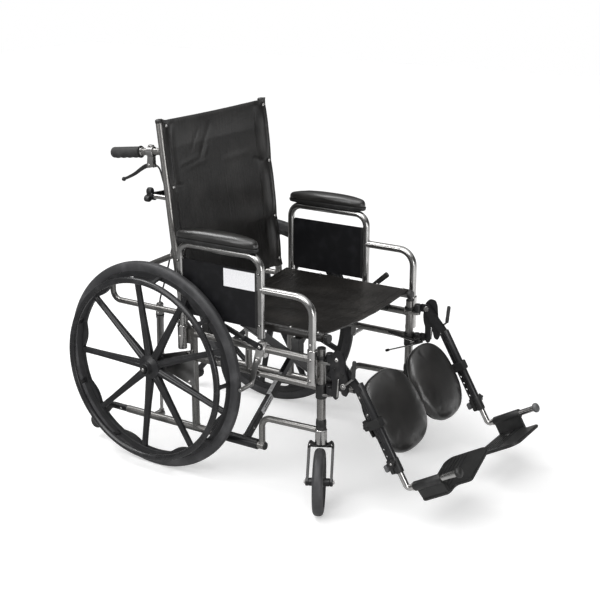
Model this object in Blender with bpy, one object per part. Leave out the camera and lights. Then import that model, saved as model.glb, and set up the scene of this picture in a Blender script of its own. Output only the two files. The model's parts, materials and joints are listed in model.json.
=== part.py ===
"""A folding wheelchair with a reclining back and elevating leg rests, as separate pieces on their joints.

Metres. +Z is up, the chair faces -Y and its left is +X. Places are written from a point on the floor
under the hub of the rear wheels, and the empty named chair moves that point so that the middle of the
chair's box lies over the world's origin. A piece of one side is written for the left, +X, and mirrored
for the right. The right side frame is the root: the cross frame, the left side frame and the rest hang
from it in the order in which they move.
"""

import math

import bmesh
import bpy
from mathutils import Matrix, Quaternion, Vector

SIDES = 8
FINE_SIDES = 10
SMALL_SIDES = 6
WHEEL_SIDES = 32
CASTER_SIDES = 20
FACE_GAP = 0.0003
RUNNING_GAP = 0.0004

# Side frames: tubes in one upright plane
FRAME_X = 0.2475
RAIL_RADIUS = 0.011
THIN_TUBE_RADIUS = 0.0095
POST_RADIUS = 0.012
REAR_POST_Y = -0.107
SHORT_POST_Y = -0.297
FRONT_POST_Y = -0.530
LOWER_RAIL_Z = 0.118
MIDDLE_RAIL_Z = 0.333
UPPER_RAIL_Z = 0.407
LOWER_RAIL_REAR_Y = 0.150
LOWER_RAIL_FRONT_Y = -0.347
KNEE_TUBE_Z = 0.209
KNEE_TUBE_BEND = 0.028
POST_TOP_Z = 0.445
SADDLE_YS = (-0.150, -0.450)
SADDLE_LENGTH = 0.024
AXLE_PLATE_BITE = 0.0001627

# Cross frame and seat
SEAT_RAIL_INSET = 0.0165
SEAT_RAIL_Z = 0.466
SEAT_RAIL_REAR_Y = -0.100
SEAT_RAIL_FRONT_Y = -0.534
ARM_WIDTH = 0.024
ARM_DEPTH = 0.0145
ARM_Y = -0.270
ARM_GAP = 0.0015
CROSS_PIN_RADIUS = 0.006
SLEEVE_WALL = 0.003
SLEEVE_REAR_Y = -0.200
SLEEVE_FRONT_Y = -0.325
SEAT_SAG = 0.013
CLOTH_MARGIN = 0.0025
CLOTH_THICKNESS = 0.0035

# Back, about one pivot on each side frame
BACK_PIVOT_Y = -0.070
BACK_PIVOT_Z = 0.440
BACK_PIN_RADIUS = 0.005
BACK_LEAN = math.radians(6.7)
CANE_INSET = 0.0045
CANE_RADIUS = 0.0105
CANE_BOTTOM_Z = 0.425
CANE_TOP_Z = 1.000
BACK_CLOTH_BOTTOM_Z = 0.495
BACK_CLOTH_TOP_Z = 0.985
BACK_CLOTH_EDGE_INSET = 0.005
BACK_SAG = 0.018
PUSH_HANDLE_Z = 0.912
PUSH_HANDLE_LENGTH = 0.172
HANDLE_TUBE_RADIUS = 0.010
GRIP_START = 0.078
GRIP_LENGTH = 0.104
GRIP_RADIUS = 0.0155
LOOP_TUBE_RADIUS = 0.0085
LOOP_TOP_Z = 0.626
LOOP_CORNER_Z = 0.514
LOOP_BOTTOM_Z = 0.4555
LOOP_REAR_Y = 0.190
LOOP_BEND = 0.027

# Recline lever on the push handle
LEVER_PIVOT_Y = 0.033
LEVER_PIVOT_Z = 0.868
LEVER_PIN_RADIUS = 0.0025
LEVER_BALL_Y = 0.130
LEVER_BALL_Z = 0.819
LEVER_BLADE = 0.0075
CLAMP_START = 0.030
CLAMP_LENGTH = 0.022
CABLE_RADIUS = 0.0025
BARREL_FRONT_Y = 0.012
BARREL_Z = 0.869

# Spreader bar between the canes, in two halves that fold at its middle
STUD_Z = 0.783
STUD_RADIUS = 0.004
STUD_SHOULDER_RADIUS = 0.007
SPREADER_Y = 0.025
SPREADER_RADIUS = 0.008
SPREADER_END_THICKNESS = 0.005
LAP_THICKNESS = 0.0045
LAP_START = 0.050
LAP_REACH = 0.010
KNOB_RADIUS = 0.0165
KNOB_LOBE = 0.0085
KNOB_LENGTH = 0.017

# Gas spring from the back's loop to the lower rail
GAS_TOP_Y = 0.037
GAS_TOP_Z = 0.4565
GAS_BOTTOM_Y = 0.045
GAS_INSET = 0.0295
GAS_PIN_RADIUS = 0.004
GAS_EYE_RADIUS = 0.009
GAS_EYE_WIDTH = 0.0125
GAS_BODY_RADIUS = 0.0105
GAS_HEAD_RADIUS = 0.012
GAS_ROD_RADIUS = 0.005
GAS_BODY_END = 0.206
GAS_ROD_TOP = 0.186
GAS_BORE_TOP = 0.052

# Armrests
ARMREST_OUTSET = 0.0315
ARMREST_RADIUS = 0.0095
ARMREST_REAR_Y = -0.091
ARMREST_FRONT_Y = -0.360
ARMREST_TOP_Z = 0.668
ARMREST_BEND = 0.035
ARMREST_REAR_FOOT_Z = 0.375
ARMREST_STUB_Z = 0.448
BRANCH_Y = -0.521
BRANCH_Z = 0.584
BRANCH_BEND = 0.045
BRANCH_FOOT_Z = 0.270
SOCKET_WALL = 0.0022
REAR_SOCKET_BOTTOM_Z = 0.368
REAR_SOCKET_TOP_Z = 0.438
FRONT_SOCKET_BOTTOM_Z = 0.264
FRONT_SOCKET_TOP_Z = 0.447
PANEL_BOTTOM_Z = 0.462
PANEL_TOP_Z = 0.632
PANEL_THICKNESS = 0.003
PAD_WIDTH = 0.056
PAD_OUTSET = 0.003
PAD_REAR_Y = -0.084
PAD_FRONT_Y = -0.354
PAD_HEIGHT = 0.043
PAD_END_DROP = 0.024

# Rear wheels and handrims
WHEEL_RADIUS = 0.305
WHEEL_OUTSET = 0.0555
TYRE_HEIGHT = 0.026
TYRE_WIDTH = 0.024
RIM_DEPTH = 0.017
RIM_WIDTH = 0.020
RIM_LIP = 0.0003
SPOKES = 9
SPOKE_PHASE = math.radians(21.5)
HUB_RADIUS = 0.036
HUB_INNER_OUTSET = 0.0265
HUB_OUTER_OUTSET = 0.0825
AXLE_RADIUS = 0.006
AXLE_HEAD_RADIUS = 0.012
HANDRIM_INSET = 0.043
HANDRIM_TUBE_RADIUS = 0.009
HANDRIM_OUTSET = 0.1045

# Casters
CASTER_RADIUS = 0.090
CASTER_WIDTH = 0.030
CASTER_TREAD = 0.0204
CASTER_TRAIL = 0.068
CASTER_YAW = math.radians(-62.0)
FORK_HALF_WIDTH = 0.034
FORK_THICKNESS = 0.004
CROWN_HALF_LENGTH = 0.014
CROWN_THICKNESS = 0.007
CROWN_GAP = 0.002
CASTER_AXLE_RADIUS = 0.004
STEM_RADIUS = 0.006
STEM_LENGTH = 0.036
HOUSING_RADIUS = 0.0165
HOUSING_LENGTH = 0.042
COLLAR_RADIUS = 0.0145
COLLAR_LENGTH = 0.030

# Wheel locks
LOCK_Y = -0.343
LOCK_PIVOT_RISE = 0.008
SHOE_PIVOT_DROP = 0.033
LOCK_PIN_RADIUS = 0.003
LOCK_PLATE_THICKNESS = 0.003
LOCK_BLADE_THICKNESS = 0.003
LOCK_LEVER_LENGTH = 0.138
LOCK_LEVER_ANGLES = {-1: math.radians(18.0), 1: math.radians(138.0)}
LOCK_SHOE_RATIO = -0.1
SHOE_Z = 0.300
SHOE_RADIUS = 0.006
SHOE_TYRE_GAP = 0.0022

# Leg rests, along a line that leans forward
LEG_LEAN = math.radians(30.0)
LEG_X = 0.0025
LEG_START_Y = -0.597
LEG_START_Z = 0.440
HANGER_Y = -0.556
HANGER_TUBE_RADIUS = 0.010
HANGER_PIN_RADIUS = 0.0042
HANGER_LUG_ZS = (0.3135, 0.4035)
HANGER_LUG_THICKNESS = 0.007
HANGER_TUBE_LENGTH = 0.025
HANGER_PLATE_OUTSET = 0.015
HANGER_PLATE_THICKNESS = 0.005
ELEVATION_Y = -0.583
ELEVATION_Z = 0.425
ELEVATION_PIN_RADIUS = 0.005
SLEEVE_RADIUS = 0.0115
SLEEVE_START = 0.085
SLEEVE_END = 0.335
FOOT_TUBE_RADIUS = 0.008
FOOT_TUBE_TOP = 0.175
FOOT_TUBE_BORE_TOP = 0.125
FOOT_TUBE_FORWARD = 0.008
FOOT_CORNER = 0.385
FOOT_CORNER_BEND = 0.018
FOOT_HINGE_END = 0.166
FOOT_CAP_RADIUS = 0.016
FOOT_CAP_LENGTH = 0.014
BARREL_START = 0.032
BARREL_END = 0.118
BARREL_RADIUS = 0.0125
FOOTPLATE_WIDTH = 0.184
FOOTPLATE_START = 0.030
FOOTPLATE_END = 0.175
FOOTPLATE_DROP = 0.038
FOOTPLATE_THICKNESS = 0.010
FOOTPLATE_NOTCH = 0.027
FOOTPLATE_FLIPS = {-1: math.radians(13.6), 1: 0.0}
CALF_WIDTH = 0.210
CALF_LENGTH = 0.217
CALF_THICKNESS = 0.048
CALF_CENTRE = 0.199
CALF_BACK = -0.018
CALF_SIDE_GAP = 0.015
RELEASE_Y = -0.611
RELEASE_Z = 0.360

# Tipping guards behind the lower rails
TIP_GUARD_Y = 0.215
TIP_GUARD_FOOT_Y = 0.272
TIP_GUARD_FOOT_Z = 0.052
TIP_GUARD_FOOT_RADIUS = 0.022

HUB_Z = WHEEL_RADIUS
CANE_X = FRAME_X - CANE_INSET
SEAT_RAIL_X = FRAME_X - SEAT_RAIL_INSET
ARMREST_X = FRAME_X + ARMREST_OUTSET
GAS_X = FRAME_X - GAS_INSET
WHEEL_X = FRAME_X + WHEEL_OUTSET
LEG_CENTRE_X = FRAME_X + LEG_X
CALF_X = LEG_CENTRE_X - CALF_SIDE_GAP - CALF_WIDTH / 2
LEG_DOWN = Vector((0, -math.sin(LEG_LEAN), -math.cos(LEG_LEAN)))
LEG_FORWARD = Vector((0, -math.cos(LEG_LEAN), math.sin(LEG_LEAN)))
HANDLE_BACK = Vector((0, math.cos(BACK_LEAN), -math.sin(BACK_LEAN)))
FOOTPLATE_REACH = LEG_DOWN * (FOOT_CORNER + FOOTPLATE_DROP + FOOTPLATE_THICKNESS) + LEG_FORWARD * FOOTPLATE_END
FRONT_REACH = -(LEG_START_Y + FOOTPLATE_REACH.y)
HUB_Y = (FRONT_REACH - WHEEL_RADIUS) / 2
CASTER_REACH = -(CASTER_TRAIL + CASTER_RADIUS) * math.sin(CASTER_YAW)
RIGHT_REACH = FRAME_X + CASTER_REACH + CASTER_TREAD / 2 * math.cos(CASTER_YAW)
LEFT_REACH = FRAME_X + HANDRIM_OUTSET + HANDRIM_TUBE_RADIUS
HUB_X = (RIGHT_REACH - LEFT_REACH) / 2

# Local frames of shapes whose length runs along X or Y
ALONG_X = Matrix(((0, 0, 1, 0), (1, 0, 0, 0), (0, 1, 0, 0), (0, 0, 0, 1)))
ALONG_Y = Matrix(((0, 1, 0, 0), (0, 0, 1, 0), (1, 0, 0, 0), (0, 0, 0, 1)))


def bore(radius, sides=SIDES):
    """The radius of a hole of flat sides that clears a pin of this radius all round."""
    return (radius + RUNNING_GAP) / math.cos(math.pi / sides)


def clamp(radius, sides=SIDES):
    """The radius of a hole whose flats lie over the flats of a fixed tube of this radius."""
    return radius + FACE_GAP / math.cos(math.pi / sides)


def leg(x, forward, down):
    """A point of the leg rest: across from its line, in front of it, and down along it."""
    start = Vector((LEG_CENTRE_X + x, LEG_START_Y, LEG_START_Z))
    return start + LEG_FORWARD * forward + LEG_DOWN * down


def leg_frame():
    """Leg-rest places as a matrix: X across, Y in front of its line, Z down along it."""
    columns = (Vector((1, 0, 0)), LEG_FORWARD, LEG_DOWN)
    turn = Matrix([[column[row] for column in columns] for row in range(3)]).to_4x4()
    return Matrix.Translation(leg(0, 0, 0)) @ turn


def cane_y(z):
    """The cane's centre line at this height."""
    return BACK_PIVOT_Y + (z - BACK_PIVOT_Z) * math.tan(BACK_LEAN)


def handle(along, x=0.0):
    """A point on the push handle's centre line, this far behind the cane."""
    return Vector((CANE_X + x, cane_y(PUSH_HANDLE_Z), PUSH_HANDLE_Z)) + HANDLE_BACK * along


def material(name, colour, roughness, metallic=0.0):
    made = bpy.data.materials.new(name)
    made.use_nodes = True
    shader = made.node_tree.nodes["Principled BSDF"]
    shader.inputs["Base Color"].default_value = (*colour, 1.0)
    shader.inputs["Roughness"].default_value = roughness
    shader.inputs["Metallic"].default_value = metallic
    return made


def shape(bm, to=None):
    """A bmesh as an object of its own, moved by the matrix where one is given."""
    bmesh.ops.recalc_face_normals(bm, faces=bm.faces)
    if to is not None:
        bmesh.ops.transform(bm, matrix=to, verts=bm.verts)
    mesh = bpy.data.meshes.new("shape")
    bm.to_mesh(mesh)
    bm.free()
    made = bpy.data.objects.new("shape", mesh)
    bpy.context.scene.collection.objects.link(made)
    return made


def loft(rings, closed=False, to=None):
    """A solid through rings of as many points each. A closed one meets its first ring again."""
    bm = bmesh.new()
    rows = [[bm.verts.new(point) for point in ring] for ring in rings]
    pairs = list(zip(rows, rows[1:] + rows[:1])) if closed else list(zip(rows, rows[1:]))
    for row, following in pairs:
        for i in range(len(row)):
            j = (i + 1) % len(row)
            bm.faces.new((row[i], row[j], following[j], following[i]))
    if not closed:
        bm.faces.new(rows[0])
        bm.faces.new(rows[-1])
    return shape(bm, to)


def circle(radius, height, sides):
    angles = [2 * math.pi * (i + 0.5) / sides for i in range(sides)]
    return [Vector((radius * math.cos(a), radius * math.sin(a), height)) for a in angles]


def on_flats(profile, sides):
    """The profile widened so that the flats of a turned shape, not its corners, lie at its radii."""
    return [(radius / math.cos(math.pi / sides), height) for radius, height in profile]


def turned(profile, to, sides, closed=False):
    """A profile of (radius, height) turned about the local Z axis."""
    return loft([circle(radius, height, sides) for radius, height in profile], closed, to)


def rounded(points, bend, steps=3):
    """The path with each inner corner replaced by an arc of this radius."""
    points = [Vector(point) for point in points]
    path = [points[0]]
    for before, corner, after in zip(points, points[1:], points[2:]):
        towards = (before - corner).normalized()
        onwards = (after - corner).normalized()
        half = towards.angle(onwards) / 2
        centre = corner + (towards + onwards).normalized() * bend / math.sin(half)
        start = corner + towards * bend / math.tan(half) - centre
        end = corner + onwards * bend / math.tan(half) - centre
        turn = start.rotation_difference(end)
        path += [centre + Quaternion().slerp(turn, i / steps) @ start for i in range(steps + 1)]
    return path + [points[-1]]


def tube(points, radius, bend=0.0, sides=SIDES):
    """A round bar along a path, its corners bent at this radius."""
    path = rounded(points, bend) if bend else [Vector(point) for point in points]
    across = (path[1] - path[0]).orthogonal().normalized()
    rings = []
    for i, point in enumerate(path):
        before = (point - path[i - 1]).normalized() if i else Vector()
        after = (path[i + 1] - point).normalized() if i + 1 < len(path) else Vector()
        along = (before + after).normalized()
        across = (across - along * across.dot(along)).normalized()
        other = along.cross(across)
        angles = [2 * math.pi * (k + 0.5) / sides for k in range(sides)]
        rings.append([point + radius * (math.cos(a) * across + math.sin(a) * other) for a in angles])
    return loft(rings)


def box(lower, upper, to=None):
    bm = bmesh.new()
    lower = Vector(lower)
    upper = Vector(upper)
    size = Matrix.Diagonal((*(upper - lower), 1.0))
    bmesh.ops.create_cube(bm, size=1.0, matrix=Matrix.Translation((lower + upper) / 2) @ size)
    return shape(bm, to)


def bar(start, end, width, depth):
    """A straight bar of oblong section whose depth lies along Y."""
    start = Vector(start)
    end = Vector(end)
    along = (end - start).normalized()
    across = Vector((0, 1, 0)).cross(along)
    offsets = [(-1, -1), (1, -1), (1, 1), (-1, 1)]
    corners = [across * (u * width / 2) + Vector((0, v * depth / 2, 0)) for u, v in offsets]
    return loft([[point + corner for corner in corners] for point in (start, end)])


def plate(outline, start, end, to=ALONG_X):
    """A flat piece of this outline, from one distance to another along its frame's Z."""
    return loft([[Vector((u, v, w)) for u, v in outline] for w in (start, end)], to=to)


def hull(discs, steps=10):
    """The outline of the straps that join these discs of (u, v, radius), as a convex loop."""
    angles = [2 * math.pi * i / steps for i in range(steps)]
    points = sorted((u + r * math.cos(a), v + r * math.sin(a)) for u, v, r in discs for a in angles)
    loop = []
    for side in (points, points[::-1]):
        chain = []
        for p in side:
            while len(chain) > 1:
                (ax, ay), (bx, by) = chain[-2:]
                if (bx - ax) * (p[1] - ay) - (by - ay) * (p[0] - ax) > 1e-10:
                    break
                chain.pop()
            chain.append(p)
        loop += chain[:-1]
    return loop


def combine(base, operation, others):
    """Adds to the base a Boolean with all the other shapes."""
    group = bpy.data.collections.new(operation)
    for other in others:
        group.objects.link(other)
    modifier = base.modifiers.new(operation, "BOOLEAN")
    modifier.operation = operation
    modifier.operand_type = "COLLECTION"
    modifier.collection = group
    modifier.solver = "EXACT"
    return group


def piece(name, side, shapes, look, parent, origin=(0, 0, 0), cuts=(), turn=(0, 0, 0)):
    """One piece: its shapes joined, less its cuts, with its own origin, side and turn about that origin."""
    base = shapes[0]
    groups = []
    if len(shapes) > 1:
        groups.append(combine(base, "UNION", shapes[1:]))
    if cuts:
        groups.append(combine(base, "DIFFERENCE", cuts))
    bpy.context.view_layer.update()
    graph = bpy.context.evaluated_depsgraph_get()
    mesh = bpy.data.meshes.new_from_object(base.evaluated_get(graph))
    mirror = -1 if side < 0 else 1
    bm = bmesh.new()
    bm.from_mesh(mesh)
    bmesh.ops.remove_doubles(bm, verts=bm.verts, dist=0.000002)
    bmesh.ops.dissolve_degenerate(bm, edges=bm.edges, dist=0.000002)
    bmesh.ops.translate(bm, verts=bm.verts, vec=-Vector(origin))
    bmesh.ops.scale(bm, verts=bm.verts, vec=(mirror, 1, 1))
    if mirror < 0:
        bmesh.ops.reverse_faces(bm, faces=bm.faces)
    bm.to_mesh(mesh)
    bm.free()
    mesh.name = name
    mesh.materials.clear()
    mesh.materials.append(look)
    mesh.shade_smooth()
    mesh.set_sharp_from_angle(angle=math.radians(35))
    made = bpy.data.objects.new(name, mesh)
    bpy.context.scene.collection.objects.link(made)
    place = Vector((mirror * origin[0], origin[1], origin[2]))
    made["place"] = place
    made.parent = parent
    made.location = place - Vector(parent.get("place", (0, 0, 0)))
    made.rotation_euler = turn
    for group in groups:
        bpy.data.collections.remove(group)
    for used in (*shapes, *cuts):
        bpy.data.meshes.remove(used.data)
    return made


def sided(name, side):
    return name + ("_l" if side > 0 else "_r")


def pin(at, start, end, radius, sides=SIDES):
    """A pin along X through the point (y, z)."""
    y, z = at
    return tube([(start, y, z), (end, y, z)], radius, sides=sides)


def side_frame(side, parent, origin):
    """Posts and rails in one plane, with every bracket that is welded to them."""
    fx = FRAME_X
    rear_socket = (ARMREST_X, ARMREST_REAR_Y)
    front_socket = (ARMREST_X, BRANCH_Y)
    socket_radius = bore(ARMREST_RADIUS) + SOCKET_WALL
    sockets = (
        (*rear_socket, REAR_SOCKET_BOTTOM_Z, REAR_SOCKET_TOP_Z),
        (*front_socket, FRONT_SOCKET_BOTTOM_Z, FRONT_SOCKET_TOP_Z),
    )
    housing_z = caster_crown_z() + CROWN_THICKNESS + 2 * RUNNING_GAP
    housing_top = housing_z + HOUSING_LENGTH
    saddle_top = SEAT_RAIL_Z - RAIL_RADIUS * math.cos(math.pi / SIDES) - FACE_GAP
    pivot = (BACK_PIVOT_Y, BACK_PIVOT_Z)
    pivot_plate = fx - CANE_INSET + CANE_RADIUS + 0.0013
    pin_head = CANE_X - CANE_RADIUS - 0.001
    axle_plate = fx + RAIL_RADIUS * math.cos(math.pi / SIDES) - AXLE_PLATE_BITE
    shapes = [
        tube(
            [(fx, LOWER_RAIL_REAR_Y, LOWER_RAIL_Z), (fx, LOWER_RAIL_FRONT_Y, LOWER_RAIL_Z)],
            RAIL_RADIUS,
            sides=FINE_SIDES,
        ),
        tube([(fx, REAR_POST_Y, UPPER_RAIL_Z), (fx, FRONT_POST_Y, UPPER_RAIL_Z)], RAIL_RADIUS),
        tube([(fx, REAR_POST_Y, MIDDLE_RAIL_Z), (fx, FRONT_POST_Y, MIDDLE_RAIL_Z)], THIN_TUBE_RADIUS),
        tube([(fx, REAR_POST_Y, LOWER_RAIL_Z), (fx, REAR_POST_Y, UPPER_RAIL_Z + 0.016)], RAIL_RADIUS),
        tube([(fx, SHORT_POST_Y, MIDDLE_RAIL_Z), (fx, SHORT_POST_Y, UPPER_RAIL_Z)], THIN_TUBE_RADIUS - 0.001),
        tube([(fx, FRONT_POST_Y, housing_top), (fx, FRONT_POST_Y, POST_TOP_Z)], POST_RADIUS),
        tube([(fx, FRONT_POST_Y, housing_z), (fx, FRONT_POST_Y, housing_top)], HOUSING_RADIUS, sides=FINE_SIDES),
        tube(
            [(fx, FRONT_POST_Y, housing_top - 0.002), (fx, FRONT_POST_Y, housing_top + COLLAR_LENGTH)],
            COLLAR_RADIUS,
            sides=FINE_SIDES,
        ),
        tube(
            [
                (fx, LOWER_RAIL_FRONT_Y + THIN_TUBE_RADIUS, LOWER_RAIL_Z),
                (fx, LOWER_RAIL_FRONT_Y + THIN_TUBE_RADIUS, KNEE_TUBE_Z - 0.006),
                (fx, FRONT_POST_Y, KNEE_TUBE_Z),
            ],
            THIN_TUBE_RADIUS - 0.0005,
            KNEE_TUBE_BEND,
        ),
        plate(
            hull(
                [
                    (REAR_POST_Y, UPPER_RAIL_Z - 0.012, 0.008),
                    (REAR_POST_Y, UPPER_RAIL_Z + 0.012, 0.008),
                    (*pivot, 0.016),
                ]
            ),
            pivot_plate,
            pivot_plate + 0.004,
        ),
        pin(pivot, pin_head - 0.001, pivot_plate + 0.001, BACK_PIN_RADIUS),
        pin(pivot, pin_head - 0.003, pin_head, BACK_PIN_RADIUS + 0.004),
        plate(
            hull([(REAR_POST_Y, HUB_Z + 0.044, 0.009), (REAR_POST_Y, HUB_Z - 0.044, 0.009), (0, HUB_Z, 0.02)]),
            axle_plate,
            axle_plate + 0.007,
        ),
        pin((0, HUB_Z), axle_plate + 0.001, fx + HUB_OUTER_OUTSET + 0.003, AXLE_RADIUS),
        pin((0, HUB_Z), fx + HUB_OUTER_OUTSET + 0.001, fx + HUB_OUTER_OUTSET + 0.010, AXLE_HEAD_RADIUS),
        box(
            (fx, REAR_POST_Y - 0.003, REAR_SOCKET_BOTTOM_Z + 0.012),
            (ARMREST_X - ARMREST_RADIUS - 0.001, ARMREST_REAR_Y - 0.002, REAR_SOCKET_TOP_Z - 0.014),
        ),
        plate(
            hull([(GAS_BOTTOM_Y, LOWER_RAIL_Z, 0.012)]),
            GAS_X + GAS_EYE_WIDTH / 2 + FACE_GAP,
            fx,
        ),
    ]
    cuts = [
        tube(
            [(fx, FRONT_POST_Y, housing_z - 0.01), (fx, FRONT_POST_Y, housing_z + STEM_LENGTH + 0.003)],
            bore(STEM_RADIUS),
        )
    ]
    for y in SADDLE_YS:
        low = (fx - RAIL_RADIUS - 0.010, y - SADDLE_LENGTH / 2, UPPER_RAIL_Z + 0.002)
        high = (fx + 0.005, y + SADDLE_LENGTH / 2, saddle_top)
        shapes.append(box(low, high))
    for x, y, bottom, top in sockets:
        shapes.append(tube([(x, y, bottom), (x, y, top)], socket_radius))
        cuts.append(tube([(x, y, bottom - 0.01), (x, y, top + 0.01)], bore(ARMREST_RADIUS)))
    for z in (FRONT_SOCKET_BOTTOM_Z + 0.036, FRONT_SOCKET_TOP_Z - 0.052):
        low = (fx, FRONT_POST_Y, z)
        high = (ARMREST_X - ARMREST_RADIUS - 0.001, BRANCH_Y + 0.006, z + 0.015)
        shapes.append(box(low, high))
    for z in HANGER_LUG_ZS:
        top = z + HANGER_LUG_THICKNESS
        outline = hull([(fx, FRONT_POST_Y, 0.0085), (fx, HANGER_Y, 0.0085)])
        shapes.append(plate(outline, z, top, to=Matrix()))
        shapes.append(
            tube([(fx, HANGER_Y, z + 0.001), (fx, HANGER_Y, top + 0.017)], HANGER_PIN_RADIUS, sides=SMALL_SIDES)
        )
    return piece(sided("side_frame", side), side, shapes, LOOKS["frame_steel"], parent, origin, cuts)


def cross_arm(name, side, parent, origin):
    """One arm of the cross: its sleeve on a lower rail, its seat rail over the other side, its half of the pin."""
    behind = name == "cross_arm_b"
    layer = 1 if behind else -1
    y = ARM_Y + layer * (ARM_DEPTH + ARM_GAP) / 2
    front_face = ARM_Y - ARM_GAP / 2 - ARM_DEPTH
    rear_face = ARM_Y + ARM_GAP / 2 + ARM_DEPTH
    low = (FRAME_X, y, LOWER_RAIL_Z)
    high = (-SEAT_RAIL_X, y, SEAT_RAIL_Z)
    share = FRAME_X / (FRAME_X + SEAT_RAIL_X)
    centre_z = LOWER_RAIL_Z + share * (SEAT_RAIL_Z - LOWER_RAIL_Z)
    rail_x = -SEAT_RAIL_X
    sleeve = bore(RAIL_RADIUS, FINE_SIDES) + SLEEVE_WALL
    sleeve_ends = [(FRAME_X, SLEEVE_REAR_Y, LOWER_RAIL_Z), (FRAME_X, SLEEVE_FRONT_Y, LOWER_RAIL_Z)]
    shapes = [
        bar(low, high, ARM_WIDTH, ARM_DEPTH),
        tube(sleeve_ends, sleeve, sides=FINE_SIDES),
        tube([(rail_x, SEAT_RAIL_REAR_Y, SEAT_RAIL_Z), (rail_x, SEAT_RAIL_FRONT_Y, SEAT_RAIL_Z)], RAIL_RADIUS),
        tube(
            [(rail_x, SEAT_RAIL_FRONT_Y + 0.001, SEAT_RAIL_Z), (rail_x, SEAT_RAIL_FRONT_Y - 0.012, SEAT_RAIL_Z)],
            RAIL_RADIUS + 0.002,
        ),
    ]
    cuts = [
        tube(
            [(FRAME_X, SLEEVE_REAR_Y + 0.01, LOWER_RAIL_Z), (FRAME_X, SLEEVE_FRONT_Y - 0.01, LOWER_RAIL_Z)],
            bore(RAIL_RADIUS, FINE_SIDES),
            sides=FINE_SIDES,
        )
    ]
    if behind:
        shapes.append(tube([(0, rear_face - 0.002, centre_z), (0, front_face - 0.002, centre_z)], CROSS_PIN_RADIUS))
        shapes.append(
            tube(
                [(0, front_face - FACE_GAP, centre_z), (0, front_face - 0.005, centre_z)], CROSS_PIN_RADIUS + 0.004
            )
        )
    else:
        cuts.append(
            tube([(0, rear_face, centre_z), (0, front_face - 0.01, centre_z)], bore(CROSS_PIN_RADIUS))
        )
    return piece(name, side, shapes, LOOKS["black_steel"], parent, origin, cuts)


def seat_sling(parent, origin):
    """A hammock of cloth over both seat rails, hemmed round each, with long shallow folds."""
    step = math.radians(30)
    under = (RAIL_RADIUS + FACE_GAP) / math.cos(step / 2)
    wrap = [step * k for k in (-1, 0, 1, 2, 3)]
    stations = 9
    columns = 12
    rear_y = SEAT_RAIL_REAR_Y - CLOTH_MARGIN
    front_y = SEAT_RAIL_FRONT_Y + CLOTH_MARGIN
    rings = []
    for i in range(stations):
        y = rear_y + (front_y - rear_y) * i / (stations - 1)
        section = []
        for radius in (under + CLOTH_THICKNESS, under):
            row = [(SEAT_RAIL_X + radius * math.cos(a), SEAT_RAIL_Z + radius * math.sin(a)) for a in wrap]
            for k in range(1, columns):
                across = 1 - 2 * k / columns
                x = SEAT_RAIL_X * across
                sag = SEAT_SAG * (1 - across**2)
                fold = 0.0022 * math.cos(6.5 * math.pi * across + 0.9 * i / stations) * (1 - across**2)
                row.append((x, SEAT_RAIL_Z + radius - sag + fold))
            row += [(-x, z) for x, z in reversed(row[: len(wrap)])]
            section.append(row)
        outline = section[0] + section[1][::-1]
        rings.append([Vector((x, y, z)) for x, z in outline])
    return piece("seat_sling", -1, [loft(rings)], LOOKS["vinyl"], parent, origin)


def back_sling(parent, origin):
    """Cloth across the front of both canes, hollowed between them, with upright folds and hemmed ends."""
    stations = 11
    columns = 16
    reach = CANE_RADIUS + FACE_GAP
    rings = []
    for i in range(stations):
        z = BACK_CLOTH_BOTTOM_Z + (BACK_CLOTH_TOP_Z - BACK_CLOTH_BOTTOM_Z) * i / (stations - 1)
        free = math.sin(math.pi * i / (stations - 1)) ** 0.5
        front = []
        rear = []
        for k in range(columns + 1):
            across = 2 * k / columns - 1
            hollow = BACK_SAG * (0.45 + 0.55 * free) * (1 - across**4)
            fold = 0.0028 * free * math.cos(7 * math.pi * across + 1.4 * i / stations) * (1 - across**2)
            y = cane_y(z) - reach + hollow + fold
            x = (FRAME_X - BACK_CLOTH_EDGE_INSET) * across
            front.append(Vector((x, y - CLOTH_THICKNESS, z)))
            rear.append(Vector((x, y, z)))
        rings.append(front + rear[::-1])
    return piece("back_sling", -1, [loft(rings)], LOOKS["vinyl"], parent, origin)


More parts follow.
